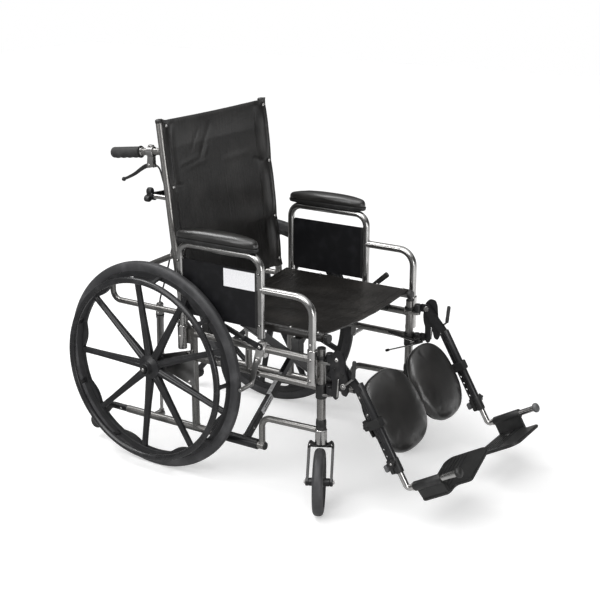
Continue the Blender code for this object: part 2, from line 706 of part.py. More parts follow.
def back_cane(side, parent, origin):
    """A back post with its push handle, the loop that the gas spring drives, and the spreader's stud."""
    x = CANE_X
    stud_y = cane_y(STUD_Z)
    shoulder_y = SPREADER_Y - SPREADER_END_THICKNESS / 2 - FACE_GAP
    shapes = [
        tube([(x, cane_y(CANE_BOTTOM_Z), CANE_BOTTOM_Z), (x, cane_y(CANE_TOP_Z), CANE_TOP_Z)], CANE_RADIUS),
        tube([handle(0), handle(PUSH_HANDLE_LENGTH)], HANDLE_TUBE_RADIUS),
        tube(
            [
                (x, cane_y(LOOP_TOP_Z), LOOP_TOP_Z),
                (x, LOOP_REAR_Y, LOOP_CORNER_Z),
                (x, LOOP_REAR_Y, LOOP_BOTTOM_Z),
                (x, cane_y(LOOP_BOTTOM_Z), LOOP_BOTTOM_Z),
            ],
            LOOP_TUBE_RADIUS,
            LOOP_BEND,
        ),
        tube([(x, stud_y, STUD_Z), (x, shoulder_y, STUD_Z)], STUD_SHOULDER_RADIUS, sides=SMALL_SIDES),
        tube(
            [(x, shoulder_y - 0.002, STUD_Z), (x, SPREADER_Y + KNOB_LENGTH + 0.0005, STUD_Z)],
            STUD_RADIUS,
            sides=SMALL_SIDES,
        ),
        pin((GAS_TOP_Y, GAS_TOP_Z), GAS_X - GAS_EYE_WIDTH / 2 - 0.001, x, GAS_PIN_RADIUS),
        pin(
            (GAS_TOP_Y, GAS_TOP_Z),
            GAS_X - GAS_EYE_WIDTH / 2 - 0.0035,
            GAS_X - GAS_EYE_WIDTH / 2 - FACE_GAP,
            GAS_PIN_RADIUS + 0.0025,
        ),
    ]
    cuts = [pin((BACK_PIVOT_Y, BACK_PIVOT_Z), x - 0.03, x + 0.03, bore(BACK_PIN_RADIUS))]
    return piece(sided("back_cane", side), side, shapes, LOOKS["frame_steel"], parent, origin, cuts)


def handle_matrix(along):
    """A frame on the push handle whose Z runs back along it."""
    turn = HANDLE_BACK.to_track_quat("Z", "Y").to_matrix().to_4x4()
    return Matrix.Translation(handle(along)) @ turn


def push_grip(side, parent, origin):
    """A rubber grip with four finger rings and a round end, over the handle tube."""
    rings = 4
    profile = [(GRIP_RADIUS + 0.002, 0.0), (GRIP_RADIUS + 0.002, 0.004)]
    pitch = (GRIP_LENGTH - 0.020) / rings
    for i in range(rings):
        start = 0.006 + i * pitch
        profile += [(GRIP_RADIUS - 0.0018, start + 0.0015), (GRIP_RADIUS, start + 0.45 * pitch)]
    profile += [(GRIP_RADIUS, GRIP_LENGTH - 0.010), (GRIP_RADIUS - 0.003, GRIP_LENGTH - 0.003)]
    profile += [(GRIP_RADIUS - 0.009, GRIP_LENGTH)]
    grip = turned(profile, handle_matrix(GRIP_START), FINE_SIDES)
    start = handle(GRIP_START - 0.01)
    end = handle(PUSH_HANDLE_LENGTH + 0.002)
    hole = tube([start, end], clamp(HANDLE_TUBE_RADIUS))
    return piece(sided("push_grip", side), side, [grip], LOOKS["rubber"], parent, origin, [hole])


def lever_bracket(side, parent, origin):
    """A clamp on the handle tube with two cheeks for the recline lever and the cable's adjuster."""
    pivot = (LEVER_PIVOT_Y, LEVER_PIVOT_Z)
    ring = handle(CLAMP_START + CLAMP_LENGTH / 2)
    cheek = LEVER_BLADE / 2 + RUNNING_GAP
    wall = 0.0025
    outline = hull([(ring.y, ring.z, 0.009), (*pivot, 0.0065), (0.021, LEVER_PIVOT_Z + 0.002, 0.005)])
    shapes = [
        tube([handle(CLAMP_START), handle(CLAMP_START + CLAMP_LENGTH)], CANE_RADIUS + 0.004, sides=FINE_SIDES),
        plate(outline, CANE_X + cheek, CANE_X + cheek + wall),
        plate(outline, CANE_X - cheek - wall, CANE_X - cheek),
        pin(pivot, CANE_X - cheek - wall - 0.001, CANE_X + cheek + wall + 0.001, LEVER_PIN_RADIUS, SMALL_SIDES),
        box((CANE_X - cheek - 0.001, 0.0165, BARREL_Z - 0.005), (CANE_X + cheek + 0.001, 0.0205, BARREL_Z + 0.008)),
        tube([(CANE_X, BARREL_FRONT_Y, BARREL_Z), (CANE_X, 0.018, BARREL_Z)], 0.004, sides=SMALL_SIDES),
    ]
    cuts = [tube([handle(CLAMP_START - 0.01), handle(CLAMP_START + CLAMP_LENGTH + 0.01)], clamp(HANDLE_TUBE_RADIUS))]
    return piece(sided("lever_bracket", side), side, shapes, LOOKS["zinc"], parent, origin, cuts)


def recline_lever(side, parent, origin):
    """A hand lever below the grip, with a ball at its end."""
    pivot = (LEVER_PIVOT_Y, LEVER_PIVOT_Z)
    half = LEVER_BLADE / 2
    middle_y = LEVER_PIVOT_Y + 0.055
    middle_z = LEVER_PIVOT_Z - 0.030
    ball = Vector((CANE_X, LEVER_BALL_Y, LEVER_BALL_Z))
    shapes = [
        plate(hull([(*pivot, 0.0065), (middle_y, middle_z, 0.005)]), CANE_X - half, CANE_X + half),
        tube([(CANE_X, middle_y - 0.004, middle_z + 0.001), ball], 0.0042, sides=SMALL_SIDES),
        turned(
            [(0.003, -0.006), (0.0062, -0.003), (0.0062, 0.003), (0.003, 0.006)],
            Matrix.Translation(ball) @ ALONG_X,
            SMALL_SIDES,
        ),
    ]
    cuts = [pin(pivot, CANE_X - 0.02, CANE_X + 0.02, bore(LEVER_PIN_RADIUS, SMALL_SIDES), SMALL_SIDES)]
    return piece(sided("recline_lever", side), side, shapes, LOOKS["black_plastic"], parent, origin, cuts)


def recline_cable(side, parent, origin):
    """The cable from the lever's adjuster, down the cane's inner side, to the gas spring's head."""
    end_z = GAS_TOP_Z + GAS_EYE_RADIUS + FACE_GAP
    route = [
        (CANE_X, BARREL_FRONT_Y - 4 * FACE_GAP, BARREL_Z),
        (CANE_X, BARREL_FRONT_Y - 0.005, BARREL_Z),
        (CANE_X - 0.003, 0.000, 0.858),
        (CANE_X - 0.008, -0.006, 0.825),
        (CANE_X - 0.0135, -0.014, 0.785),
        (CANE_X - 0.014, -0.026, 0.720),
        (CANE_X - 0.014, -0.028, 0.660),
        (CANE_X - 0.0155, -0.012, 0.600),
        (CANE_X - 0.019, 0.012, 0.530),
        (GAS_X, 0.032, 0.485),
        (GAS_X, GAS_TOP_Y, end_z),
    ]
    cable = tube(smooth(route, 2), CABLE_RADIUS, sides=6)
    return piece(sided("recline_cable", side), side, [cable], LOOKS["cable"], parent, origin)


def smooth(route, steps):
    """Points of a curve through the route's points."""
    points = [Vector(point) for point in route]
    ends = [2 * points[0] - points[1], *points, 2 * points[-1] - points[-2]]
    path = []
    for a, b, c, d in zip(ends, ends[1:], ends[2:], ends[3:]):
        for i in range(steps):
            t = i / steps
            path.append(0.5 * (2 * b + (c - a) * t + (2 * a - 5 * b + 4 * c - d) * t**2 + (3 * b - a - 3 * c + d) * t**3))
    return path + [points[-1]]


def spreader_bar(side, parent, origin):
    """Half of the bar between the canes: an eye on its stud, a tube, and a flat lap at the middle joint."""
    half = SPREADER_END_THICKNESS / 2
    neck = CANE_X - 0.034
    middle = SPREADER_Y - side * (FACE_GAP / 2 + LAP_THICKNESS / 2)
    rivet_start = middle - side * (LAP_THICKNESS / 2 - 0.0005)
    eye = hull([(STUD_Z, CANE_X, 0.011), (STUD_Z, neck - 0.012, 0.0075)])
    lap = hull([(STUD_Z, LAP_START + 0.012, 0.0065), (STUD_Z, 0, LAP_REACH)])
    shapes = [
        tube([(LAP_START, SPREADER_Y, STUD_Z), (neck, SPREADER_Y, STUD_Z)], SPREADER_RADIUS),
        plate(eye, SPREADER_Y - half, SPREADER_Y + half, to=ALONG_Y),
        plate(lap, middle - LAP_THICKNESS / 2, middle + LAP_THICKNESS / 2, to=ALONG_Y),
        tube([(0, rivet_start, STUD_Z), (0, rivet_start - side * 0.003, STUD_Z)], 0.0055, sides=FINE_SIDES),
    ]
    ends = [(CANE_X, SPREADER_Y - 0.02, STUD_Z), (CANE_X, SPREADER_Y + 0.02, STUD_Z)]
    cuts = [tube(ends, bore(STUD_RADIUS, SMALL_SIDES), sides=SMALL_SIDES)]
    return piece(sided("spreader_bar", side), side, shapes, LOOKS["black_steel"], parent, origin, cuts)


def spreader_knob(side, parent, origin):
    """A hand nut of three lobes on the stud."""
    start = SPREADER_Y + SPREADER_END_THICKNESS / 2 + FACE_GAP
    points = 18
    outline = []
    for i in range(points):
        angle = 2 * math.pi * i / points
        radius = KNOB_RADIUS + KNOB_LOBE * math.cos(3 * angle)
        outline.append((STUD_Z + radius * math.cos(angle), CANE_X + radius * math.sin(angle)))
    knob = plate(outline, start, start + KNOB_LENGTH, to=ALONG_Y)
    hole_end = SPREADER_Y + KNOB_LENGTH + 0.001
    hole = tube([(CANE_X, start - 0.01, STUD_Z), (CANE_X, hole_end, STUD_Z)], bore(STUD_RADIUS, SMALL_SIDES), sides=SMALL_SIDES)
    return piece(sided("spreader_knob", side), side, [knob], LOOKS["black_plastic"], parent, origin, [hole])


def gas_point(distance):
    """A point on the gas spring's line, this far below its upper pin."""
    top = Vector((GAS_X, GAS_TOP_Y, GAS_TOP_Z))
    bottom = Vector((top.x, GAS_BOTTOM_Y, LOWER_RAIL_Z))
    return top + (bottom - top).normalized() * distance


def gas_length():
    return math.hypot(GAS_BOTTOM_Y - GAS_TOP_Y, LOWER_RAIL_Z - GAS_TOP_Z)


def gas_cylinder(side, parent, origin):
    x = gas_point(0).x
    half = GAS_EYE_WIDTH / 2
    top = (GAS_TOP_Y, GAS_TOP_Z)
    shapes = [
        pin(top, x - half, x + half, GAS_EYE_RADIUS),
        tube([gas_point(0.004), gas_point(0.040)], GAS_EYE_WIDTH / 2 - 0.0005, sides=SMALL_SIDES),
        tube([gas_point(0.018), gas_point(0.040)], GAS_HEAD_RADIUS),
        tube([gas_point(0.038), gas_point(GAS_BODY_END)], GAS_BODY_RADIUS),
    ]
    cuts = [
        pin(top, x - 0.02, x + 0.02, bore(GAS_PIN_RADIUS)),
        tube([gas_point(GAS_BORE_TOP), gas_point(GAS_BODY_END + 0.01)], bore(GAS_ROD_RADIUS)),
    ]
    return piece(sided("gas_cylinder", side), side, shapes, LOOKS["zinc"], parent, origin, cuts)


def gas_rod(side, parent, origin):
    x = gas_point(0).x
    half = GAS_EYE_WIDTH / 2
    length = gas_length()
    bottom = (GAS_BOTTOM_Y, LOWER_RAIL_Z)
    shapes = [
        tube([gas_point(GAS_ROD_TOP), gas_point(length - 0.003)], GAS_ROD_RADIUS),
        pin(bottom, x - half, x + half, GAS_EYE_RADIUS),
    ]
    cuts = [pin(bottom, x - 0.02, x + 0.02, GAS_PIN_RADIUS)]
    return piece(sided("gas_rod", side), side, shapes, LOOKS["chrome"], parent, origin, cuts)


def armrest_tube(side, parent, origin):
    """A bent tube in one upright plane, with a branch down to the front socket."""
    x = ARMREST_X
    shapes = [
        tube(
            [
                (x, ARMREST_REAR_Y, ARMREST_REAR_FOOT_Z),
                (x, ARMREST_REAR_Y, ARMREST_TOP_Z),
                (x, ARMREST_FRONT_Y, ARMREST_TOP_Z),
                (x, ARMREST_FRONT_Y, ARMREST_STUB_Z),
            ],
            ARMREST_RADIUS,
            ARMREST_BEND,
        ),
        tube(
            [(x, ARMREST_FRONT_Y, BRANCH_Z), (x, BRANCH_Y, BRANCH_Z), (x, BRANCH_Y, BRANCH_FOOT_Z)],
            ARMREST_RADIUS,
            BRANCH_BEND,
        ),
    ]
    return piece(sided("armrest_tube", side), side, shapes, LOOKS["chrome"], parent, origin)


def arm_pad(side, parent, origin):
    """A padded rest with a crowned top, drawn-in sides and low ends, on the armrest's top tube."""
    bottom = ARMREST_TOP_Z + ARMREST_RADIUS + FACE_GAP
    middle_y = (PAD_REAR_Y + PAD_FRONT_Y) / 2
    half_length = (PAD_REAR_Y - PAD_FRONT_Y) / 2
    points = 24
    rings = []
    for height, scale in ((0.0, 0.84), (0.22, 0.94), (0.42, 1.0), (0.7, 0.97), (0.9, 0.8), (1.0, 0.52)):
        ring = []
        for i in range(points):
            angle = 2 * math.pi * (i + 0.5) / points
            across = math.copysign(abs(math.cos(angle)) ** 0.75, math.cos(angle))
            along = math.copysign(abs(math.sin(angle)) ** 0.75, math.sin(angle))
            y = middle_y + half_length * along * (1 - 0.12 * (1 - scale))
            crown = PAD_HEIGHT - PAD_END_DROP * (abs(along + 0.16) / 1.16) ** 2.4
            x = ARMREST_X + PAD_OUTSET + PAD_WIDTH / 2 * across * scale
            ring.append(Vector((x, y, bottom + height * crown)))
        rings.append(ring)
    return piece(sided("arm_pad", side), side, [loft(rings)], LOOKS["vinyl"], parent, origin)


def side_panel(side, parent, origin):
    """The clothing guard between the armrest's two uprights."""
    half = PANEL_THICKNESS / 2
    rear = ARMREST_REAR_Y - ARMREST_RADIUS - FACE_GAP
    front = ARMREST_FRONT_Y + ARMREST_RADIUS + FACE_GAP
    panel = box((ARMREST_X - half, front, PANEL_BOTTOM_Z), (ARMREST_X + half, rear, PANEL_TOP_Z))
    return piece(sided("side_panel", side), side, [panel], LOOKS["panel"], parent, origin)


def wheel_matrix():
    """The rear wheel's middle, with Z along the axle and out from the chair."""
    return Matrix.Translation((WHEEL_X, 0, HUB_Z)) @ ALONG_X


def tyre(side, parent, origin):
    half = TYRE_WIDTH / 2
    inner = WHEEL_RADIUS - TYRE_HEIGHT
    profile = [
        (inner, half * 0.86),
        (inner + TYRE_HEIGHT * 0.60, half),
        (WHEEL_RADIUS, half * 0.40),
    ]
    profile += [(radius, -across) for radius, across in reversed(profile)]
    ring = turned(on_flats(profile, WHEEL_SIDES), wheel_matrix(), WHEEL_SIDES, closed=True)
    return piece(sided("tyre", side), side, [ring], LOOKS["tyre"], parent, origin)


def wheel(side, parent, origin):
    """A moulded wheel: rim, nine tapered spokes and the hub, bored for the axle."""
    half = RIM_WIDTH / 2
    outer = WHEEL_RADIUS - TYRE_HEIGHT - RIM_LIP
    inner = outer - RIM_DEPTH
    rim = [(inner, half * 0.85), (outer, half), (outer, -half), (inner, -half * 0.85)]
    shapes = [turned(on_flats(rim, WHEEL_SIDES), wheel_matrix(), WHEEL_SIDES, closed=True)]
    hub = [
        (HUB_RADIUS * 0.8, HUB_INNER_OUTSET - WHEEL_OUTSET),
        (HUB_RADIUS, -0.012),
        (HUB_RADIUS, 0.014),
        (HUB_RADIUS * 0.75, HUB_OUTER_OUTSET - WHEEL_OUTSET),
    ]
    shapes.append(turned(hub, wheel_matrix(), 14))
    for i in range(SPOKES):
        angle = SPOKE_PHASE + 2 * math.pi * i / SPOKES
        out = Vector((0, -math.cos(angle), math.sin(angle)))
        along = Vector((1, 0, 0)).cross(out)
        rings = []
        ends = ((HUB_RADIUS - 0.008, 0.012, 0.0105, 0.002), (inner + 0.004, 0.009, 0.006, 0.0))
        for distance, wide, thick, shift in ends:
            centre = Vector((WHEEL_X + shift, 0, HUB_Z)) + out * distance
            corners = ((-1, -1), (1, -1), (1, 1), (-1, 1))
            rings.append([centre + along * (u * wide) + Vector((v * thick, 0, 0)) for u, v in corners])
        shapes.append(loft(rings))
    cuts = [pin((0, HUB_Z), FRAME_X, WHEEL_X + 0.1, bore(AXLE_RADIUS))]
    return piece(sided("wheel", side), side, shapes, LOOKS["black_plastic"], parent, origin, cuts)


def handrim(side, parent, origin):
    """The ring by which the chair is pushed, on nine tabs that stand on the rim between the spokes."""
    sides = 6
    radius = WHEEL_RADIUS - HANDRIM_INSET
    tube_angles = [2 * math.pi * (i + 0.5) / sides for i in range(sides)]
    offset = HANDRIM_OUTSET - WHEEL_OUTSET
    profile = [
        (radius + HANDRIM_TUBE_RADIUS * math.cos(a), offset + HANDRIM_TUBE_RADIUS * math.sin(a))
        for a in tube_angles
    ]
    shapes = [turned(profile, wheel_matrix(), WHEEL_SIDES, closed=True)]
    rim_face = WHEEL_X + RIM_WIDTH / 2 + FACE_GAP
    for i in range(SPOKES):
        angle = SPOKE_PHASE + 2 * math.pi * (i + 0.5) / SPOKES
        out = Vector((0, -math.cos(angle), math.sin(angle)))
        along = Vector((1, 0, 0)).cross(out)
        rings = []
        for x, distance in ((rim_face, radius + 0.010), (FRAME_X + HANDRIM_OUTSET, radius)):
            centre = Vector((x, 0, HUB_Z)) + out * distance
            corners = ((-1, -1), (1, -1), (1, 1), (-1, 1))
            rings.append([centre + along * (u * 0.007) + out * (v * 0.004) for u, v in corners])
        shapes.append(loft(rings))
    return piece(sided("handrim", side), side, shapes, LOOKS["black_plastic"], parent, origin)


def caster_crown_z():
    """The crown's underside: above the wheel where the crown reaches furthest over it."""
    reach = CASTER_TRAIL - CROWN_HALF_LENGTH
    return CASTER_RADIUS + math.sqrt(CASTER_RADIUS**2 - reach**2) + CROWN_GAP


def caster_fork(side, parent, origin):
    """Stem, crown and two slotted legs that trail, drawn about the stem with the trail towards -Y."""
    x, y, _ = origin
    crown = caster_crown_z()
    top = crown + CROWN_THICKNESS
    half = FORK_HALF_WIDTH
    axle = (y - CASTER_TRAIL, CASTER_RADIUS)
    shapes = [
        box((x - half, y - CROWN_HALF_LENGTH, crown), (x + half, y + CROWN_HALF_LENGTH, top)),
        tube([(x, y, top - 0.002), (x, y, top + STEM_LENGTH)], STEM_RADIUS),
        pin(axle, x - half - 0.006, x + half + 0.006, CASTER_AXLE_RADIUS),
        pin(axle, x - half - 0.005, x - half + 0.001, CASTER_AXLE_RADIUS + 0.0035, 6),
        pin(axle, x + half - 0.001, x + half + 0.005, CASTER_AXLE_RADIUS + 0.0035, 6),
    ]
    cuts = []
    leg_outline = hull([(y, top - 0.014, CROWN_HALF_LENGTH), (*axle, 0.011)], 12)
    slot = hull([(y - 0.024, crown - 0.028, 0.0045), (y - 0.051, CASTER_RADIUS + 0.022, 0.0035)], 8)
    for end in (-1, 1):
        outer = x + end * half
        inner = x + end * (half - FORK_THICKNESS)
        shapes.append(plate(leg_outline, min(outer, inner), max(outer, inner)))
        cuts.append(plate(slot, min(outer, inner) - 0.003, max(outer, inner) + 0.003))
    turn = (0, 0, CASTER_YAW)
    return piece(sided("caster_fork", side), side, shapes, LOOKS["black_steel"], parent, origin, cuts, turn=turn)


def caster_wheel(side, parent, origin):
    """A solid tyre on a webbed hub that turns on the fork's axle."""
    half = CASTER_WIDTH / 2
    hub = FORK_HALF_WIDTH - FORK_THICKNESS - 0.001
    hole = bore(CASTER_AXLE_RADIUS)
    profile = [
        (hole, hub),
        (0.014, hub),
        (0.018, 0.007),
        (CASTER_RADIUS * 0.68, 0.007),
        (CASTER_RADIUS * 0.74, half),
        (CASTER_RADIUS, CASTER_TREAD / 2),
    ]
    profile += [(radius, -across) for radius, across in reversed(profile)]
    place = Matrix.Translation(origin) @ ALONG_X
    made = turned(on_flats(profile, CASTER_SIDES), place, CASTER_SIDES, closed=True)
    return piece(sided("caster_wheel", side), side, [made], LOOKS["tyre"], parent, origin)


def lock_pivot():
    return (LOCK_Y, UPPER_RAIL_Z + LOCK_PIVOT_RISE)


def shoe_pivot():
    return (LOCK_Y + 0.010, UPPER_RAIL_Z - SHOE_PIVOT_DROP)


def shoe_y():
    """Where the shoe just clears the tyre: the wheel lock's set place."""
    height = SHOE_Z - HUB_Z
    return -math.sqrt(WHEEL_RADIUS**2 - height**2) - SHOE_RADIUS - SHOE_TYRE_GAP


def brake_base(side, parent, origin):
    """A clamp on the upper rail with a plate and the two pins of the wheel lock."""
    inner = FRAME_X + RAIL_RADIUS + FACE_GAP
    outer = inner + LOCK_PLATE_THICKNESS
    cap = outer + LOCK_BLADE_THICKNESS + 2 * RUNNING_GAP
    shapes = [
        plate(hull([(*lock_pivot(), 0.012), (*shoe_pivot(), 0.012)]), inner, outer),
        tube(
            [(FRAME_X, LOCK_Y + 0.014, UPPER_RAIL_Z), (FRAME_X, LOCK_Y - 0.014, UPPER_RAIL_Z)],
            clamp(RAIL_RADIUS) + 0.0028,
        ),
    ]
    for pivot in (lock_pivot(), shoe_pivot()):
        shapes.append(pin(pivot, outer - 0.001, cap + 0.001, LOCK_PIN_RADIUS))
        shapes.append(pin(pivot, cap, cap + 0.0018, LOCK_PIN_RADIUS + 0.0025))
    start = (FRAME_X, LOCK_Y + 0.03, UPPER_RAIL_Z)
    cuts = [tube([start, (FRAME_X, LOCK_Y - 0.03, UPPER_RAIL_Z)], clamp(RAIL_RADIUS))]
    return piece(sided("brake_base", side), side, shapes, LOOKS["black_steel"], parent, origin, cuts)


def blade_x():
    """The wheel lock's moving blades: their inner face, just outside its plate."""
    return FRAME_X + RAIL_RADIUS + FACE_GAP + LOCK_PLATE_THICKNESS + RUNNING_GAP


def brake_lever(side, parent, origin):
    """The wheel lock's hand lever, drawn lying back along +Y and turned to its rest."""
    y, z = lock_pivot()
    start = blade_x()
    end = start + LOCK_BLADE_THICKNESS
    tip = y + LOCK_LEVER_LENGTH
    middle = (start + end) / 2
    shapes = [
        plate(hull([(y, z, 0.0095), (tip - 0.02, z, 0.005)]), start, end),
        box((middle - 0.004, y + 0.052, z - 0.0085), (middle + 0.004, tip, z + 0.0085)),
    ]
    cuts = [pin((y, z), start - 0.01, end + 0.01, bore(LOCK_PIN_RADIUS))]
    turn = (LOCK_LEVER_ANGLES[side], 0, 0)
    return piece(sided("brake_lever", side), side, shapes, LOOKS["black_steel"], parent, origin, cuts, turn)


def brake_shoe(side, parent, origin):
    """The arm that presses a short bar on the tyre, drawn set and turned away where the lock is off."""
    y, z = shoe_pivot()
    start = blade_x()
    end = start + LOCK_BLADE_THICKNESS
    shoe = (shoe_y(), SHOE_Z)
    shapes = [
        plate(hull([(y, z, 0.0095), (*shoe, 0.008)]), start, end),
        pin(shoe, start, WHEEL_X + TYRE_WIDTH / 2 + 0.001, SHOE_RADIUS),
    ]
    cuts = [pin((y, z), start - 0.01, end + 0.01, bore(LOCK_PIN_RADIUS))]
    released = LOCK_LEVER_ANGLES[side] - LOCK_LEVER_ANGLES[-1]
    turn = (released * LOCK_SHOE_RATIO, 0, 0)
    return piece(sided("brake_shoe", side), side, shapes, LOOKS["zinc"], parent, origin, cuts, turn)


def leg_hanger(side, parent, origin):
    """Two short tubes on the post's pins, and the outer plate that carries the leg rest."""
    fx = FRAME_X
    start = fx + HANGER_PLATE_OUTSET
    end = start + HANGER_PLATE_THICKNESS
    outline = [
        (HANGER_Y - 0.010, LEG_START_Z),
        (HANGER_Y - 0.019, LEG_START_Z + 0.015),
        (LEG_START_Y - 0.003, LEG_START_Z + 0.015),
        (LEG_START_Y - 0.015, LEG_START_Z),
        (RELEASE_Y - 0.012, RELEASE_Z + 0.005),
        (RELEASE_Y - 0.008, RELEASE_Z - 0.012),
        (HANGER_Y - 0.030, HANGER_LUG_ZS[0] - 0.012),
        (HANGER_Y - 0.016, HANGER_LUG_ZS[0] - 0.012),
        (HANGER_Y - 0.010, HANGER_LUG_ZS[0] + 0.010),
    ]
    pivot = (ELEVATION_Y, ELEVATION_Z)
    bar_inner = LEG_CENTRE_X + 0.0005
    shapes = [
        plate(outline, start, end),
        pin(pivot, bar_inner - 0.002, start + 0.001, ELEVATION_PIN_RADIUS),
        pin(pivot, bar_inner - 0.004, bar_inner - 0.0008, ELEVATION_PIN_RADIUS + 0.004),
        pin((RELEASE_Y, RELEASE_Z), end - 0.001, end + 0.008, 0.003, SMALL_SIDES),
    ]
    cuts = []
    for z in HANGER_LUG_ZS:
        low = z + HANGER_LUG_THICKNESS + FACE_GAP
        high = low + HANGER_TUBE_LENGTH
        shapes.append(tube([(fx, HANGER_Y, low), (fx, HANGER_Y, high)], HANGER_TUBE_RADIUS))
        shapes.append(box((fx, HANGER_Y - 0.012, low + 0.002), (end - 0.001, HANGER_Y - 0.003, high - 0.002)))
        hole = bore(HANGER_PIN_RADIUS, SMALL_SIDES)
        hole_top = z + HANGER_LUG_THICKNESS + 0.020
        cuts.append(tube([(fx, HANGER_Y, z), (fx, HANGER_Y, hole_top)], hole, sides=SMALL_SIDES))
    return piece(sided("leg_hanger", side), side, shapes, LOOKS["black_steel"], parent, origin, cuts)


def leg_bar(side, parent, origin):
    """The elevating bar: cranked plate at its pivot, sleeve for the foot tube and perforated strip behind it."""
    frame = leg_frame()
    knee = leg(0, 0.003, SLEEVE_START + 0.015)
    pivot = (ELEVATION_Y, ELEVATION_Z)
    start = LEG_CENTRE_X + 0.0005
    end = start + 0.010
    shapes = [
        plate(hull([(*pivot, 0.012), (RELEASE_Y + 0.006, RELEASE_Z + 0.034, 0.011), (knee.y, knee.z, 0.010)]), start, end),
        tube([leg(0, FOOT_TUBE_FORWARD, SLEEVE_START), leg(0, FOOT_TUBE_FORWARD, SLEEVE_END)], SLEEVE_RADIUS),
        box((-0.002, -0.014, SLEEVE_START + 0.004), (0.002, 0.0, SLEEVE_END + 0.004), frame),
        tube([leg(0.008, FOOT_TUBE_FORWARD, SLEEVE_END - 0.028), leg(0.022, FOOT_TUBE_FORWARD, SLEEVE_END - 0.028)], 0.009),
    ]
    cuts = [
        pin(pivot, start - 0.01, end + 0.01, bore(ELEVATION_PIN_RADIUS)),
        tube(
            [leg(0, FOOT_TUBE_FORWARD, FOOT_TUBE_BORE_TOP), leg(0, FOOT_TUBE_FORWARD, SLEEVE_END + 0.02)],
            clamp(FOOT_TUBE_RADIUS),
        ),
    ]
    holes = 6
    for i in range(holes):
        down = SLEEVE_END - 0.006 - 0.020 * i
        cuts.append(tube([leg(-0.01, -0.0095, down), leg(0.01, -0.0095, down)], 0.0025, sides=6))
    return piece(sided("leg_bar", side), side, shapes, LOOKS["black_steel"], parent, origin, cuts)


def foot_tube(side, parent, origin):
    """The bright tube that slides in the leg bar and turns forward as the footplate's hinge."""
    corner = leg(0, FOOT_TUBE_FORWARD, FOOT_CORNER)
    end = leg(0, FOOT_HINGE_END, FOOT_CORNER)
    cap = [(FOOT_CAP_RADIUS * 0.8, 0.0), (FOOT_CAP_RADIUS, 0.003), (FOOT_CAP_RADIUS, 0.007), (0.008, FOOT_CAP_LENGTH)]
    turn = LEG_FORWARD.to_track_quat("Z", "Y").to_matrix().to_4x4()
    shapes = [
        tube([leg(0, FOOT_TUBE_FORWARD, FOOT_TUBE_TOP), corner, end + LEG_FORWARD * 0.002], FOOT_TUBE_RADIUS, FOOT_CORNER_BEND),
        turned(cap, Matrix.Translation(end) @ turn, SIDES),
    ]
    return piece(sided("foot_tube", side), side, shapes, LOOKS["chrome"], parent, origin)


def footplate(side, parent, origin):
    """A moulded plate on a barrel that turns on the foot tube, notched beside the tube's end."""
    frame = leg_frame()
    low = FOOT_CORNER + FOOTPLATE_DROP
    high = low + FOOTPLATE_THICKNESS
    inner = -FOOTPLATE_WIDTH
    corner = 0.018
    outline = [
        (0.006, FOOTPLATE_START),
        (0.006, BARREL_END),
        (-FOOTPLATE_NOTCH, BARREL_END + 0.006),
        (-FOOTPLATE_NOTCH, FOOTPLATE_END),
        (inner + corner, FOOTPLATE_END),
        (inner + 0.005, FOOTPLATE_END - 0.005),
        (inner, FOOTPLATE_END - corner),
        (inner, FOOTPLATE_START + corner),
        (inner + 0.005, FOOTPLATE_START + 0.005),
        (inner + corner, FOOTPLATE_START),
    ]
    shapes = [
        plate(outline, low, high, to=frame),
        tube([leg(0, BARREL_START, FOOT_CORNER), leg(0, BARREL_END, FOOT_CORNER)], BARREL_RADIUS),
        box((-0.010, BARREL_START, FOOT_CORNER), (0.004, BARREL_END, low + 0.002), frame),
    ]
    cuts = [tube([leg(0, BARREL_START - 0.01, FOOT_CORNER), leg(0, BARREL_END + 0.01, FOOT_CORNER)], bore(FOOT_TUBE_RADIUS))]
    made = piece(sided("footplate", side), side, shapes, LOOKS["black_plastic"], parent, origin, cuts)
    made.rotation_mode = "QUATERNION"
    made.rotation_quaternion = Quaternion(LEG_FORWARD, -side * FOOTPLATE_FLIPS[side])
    return made


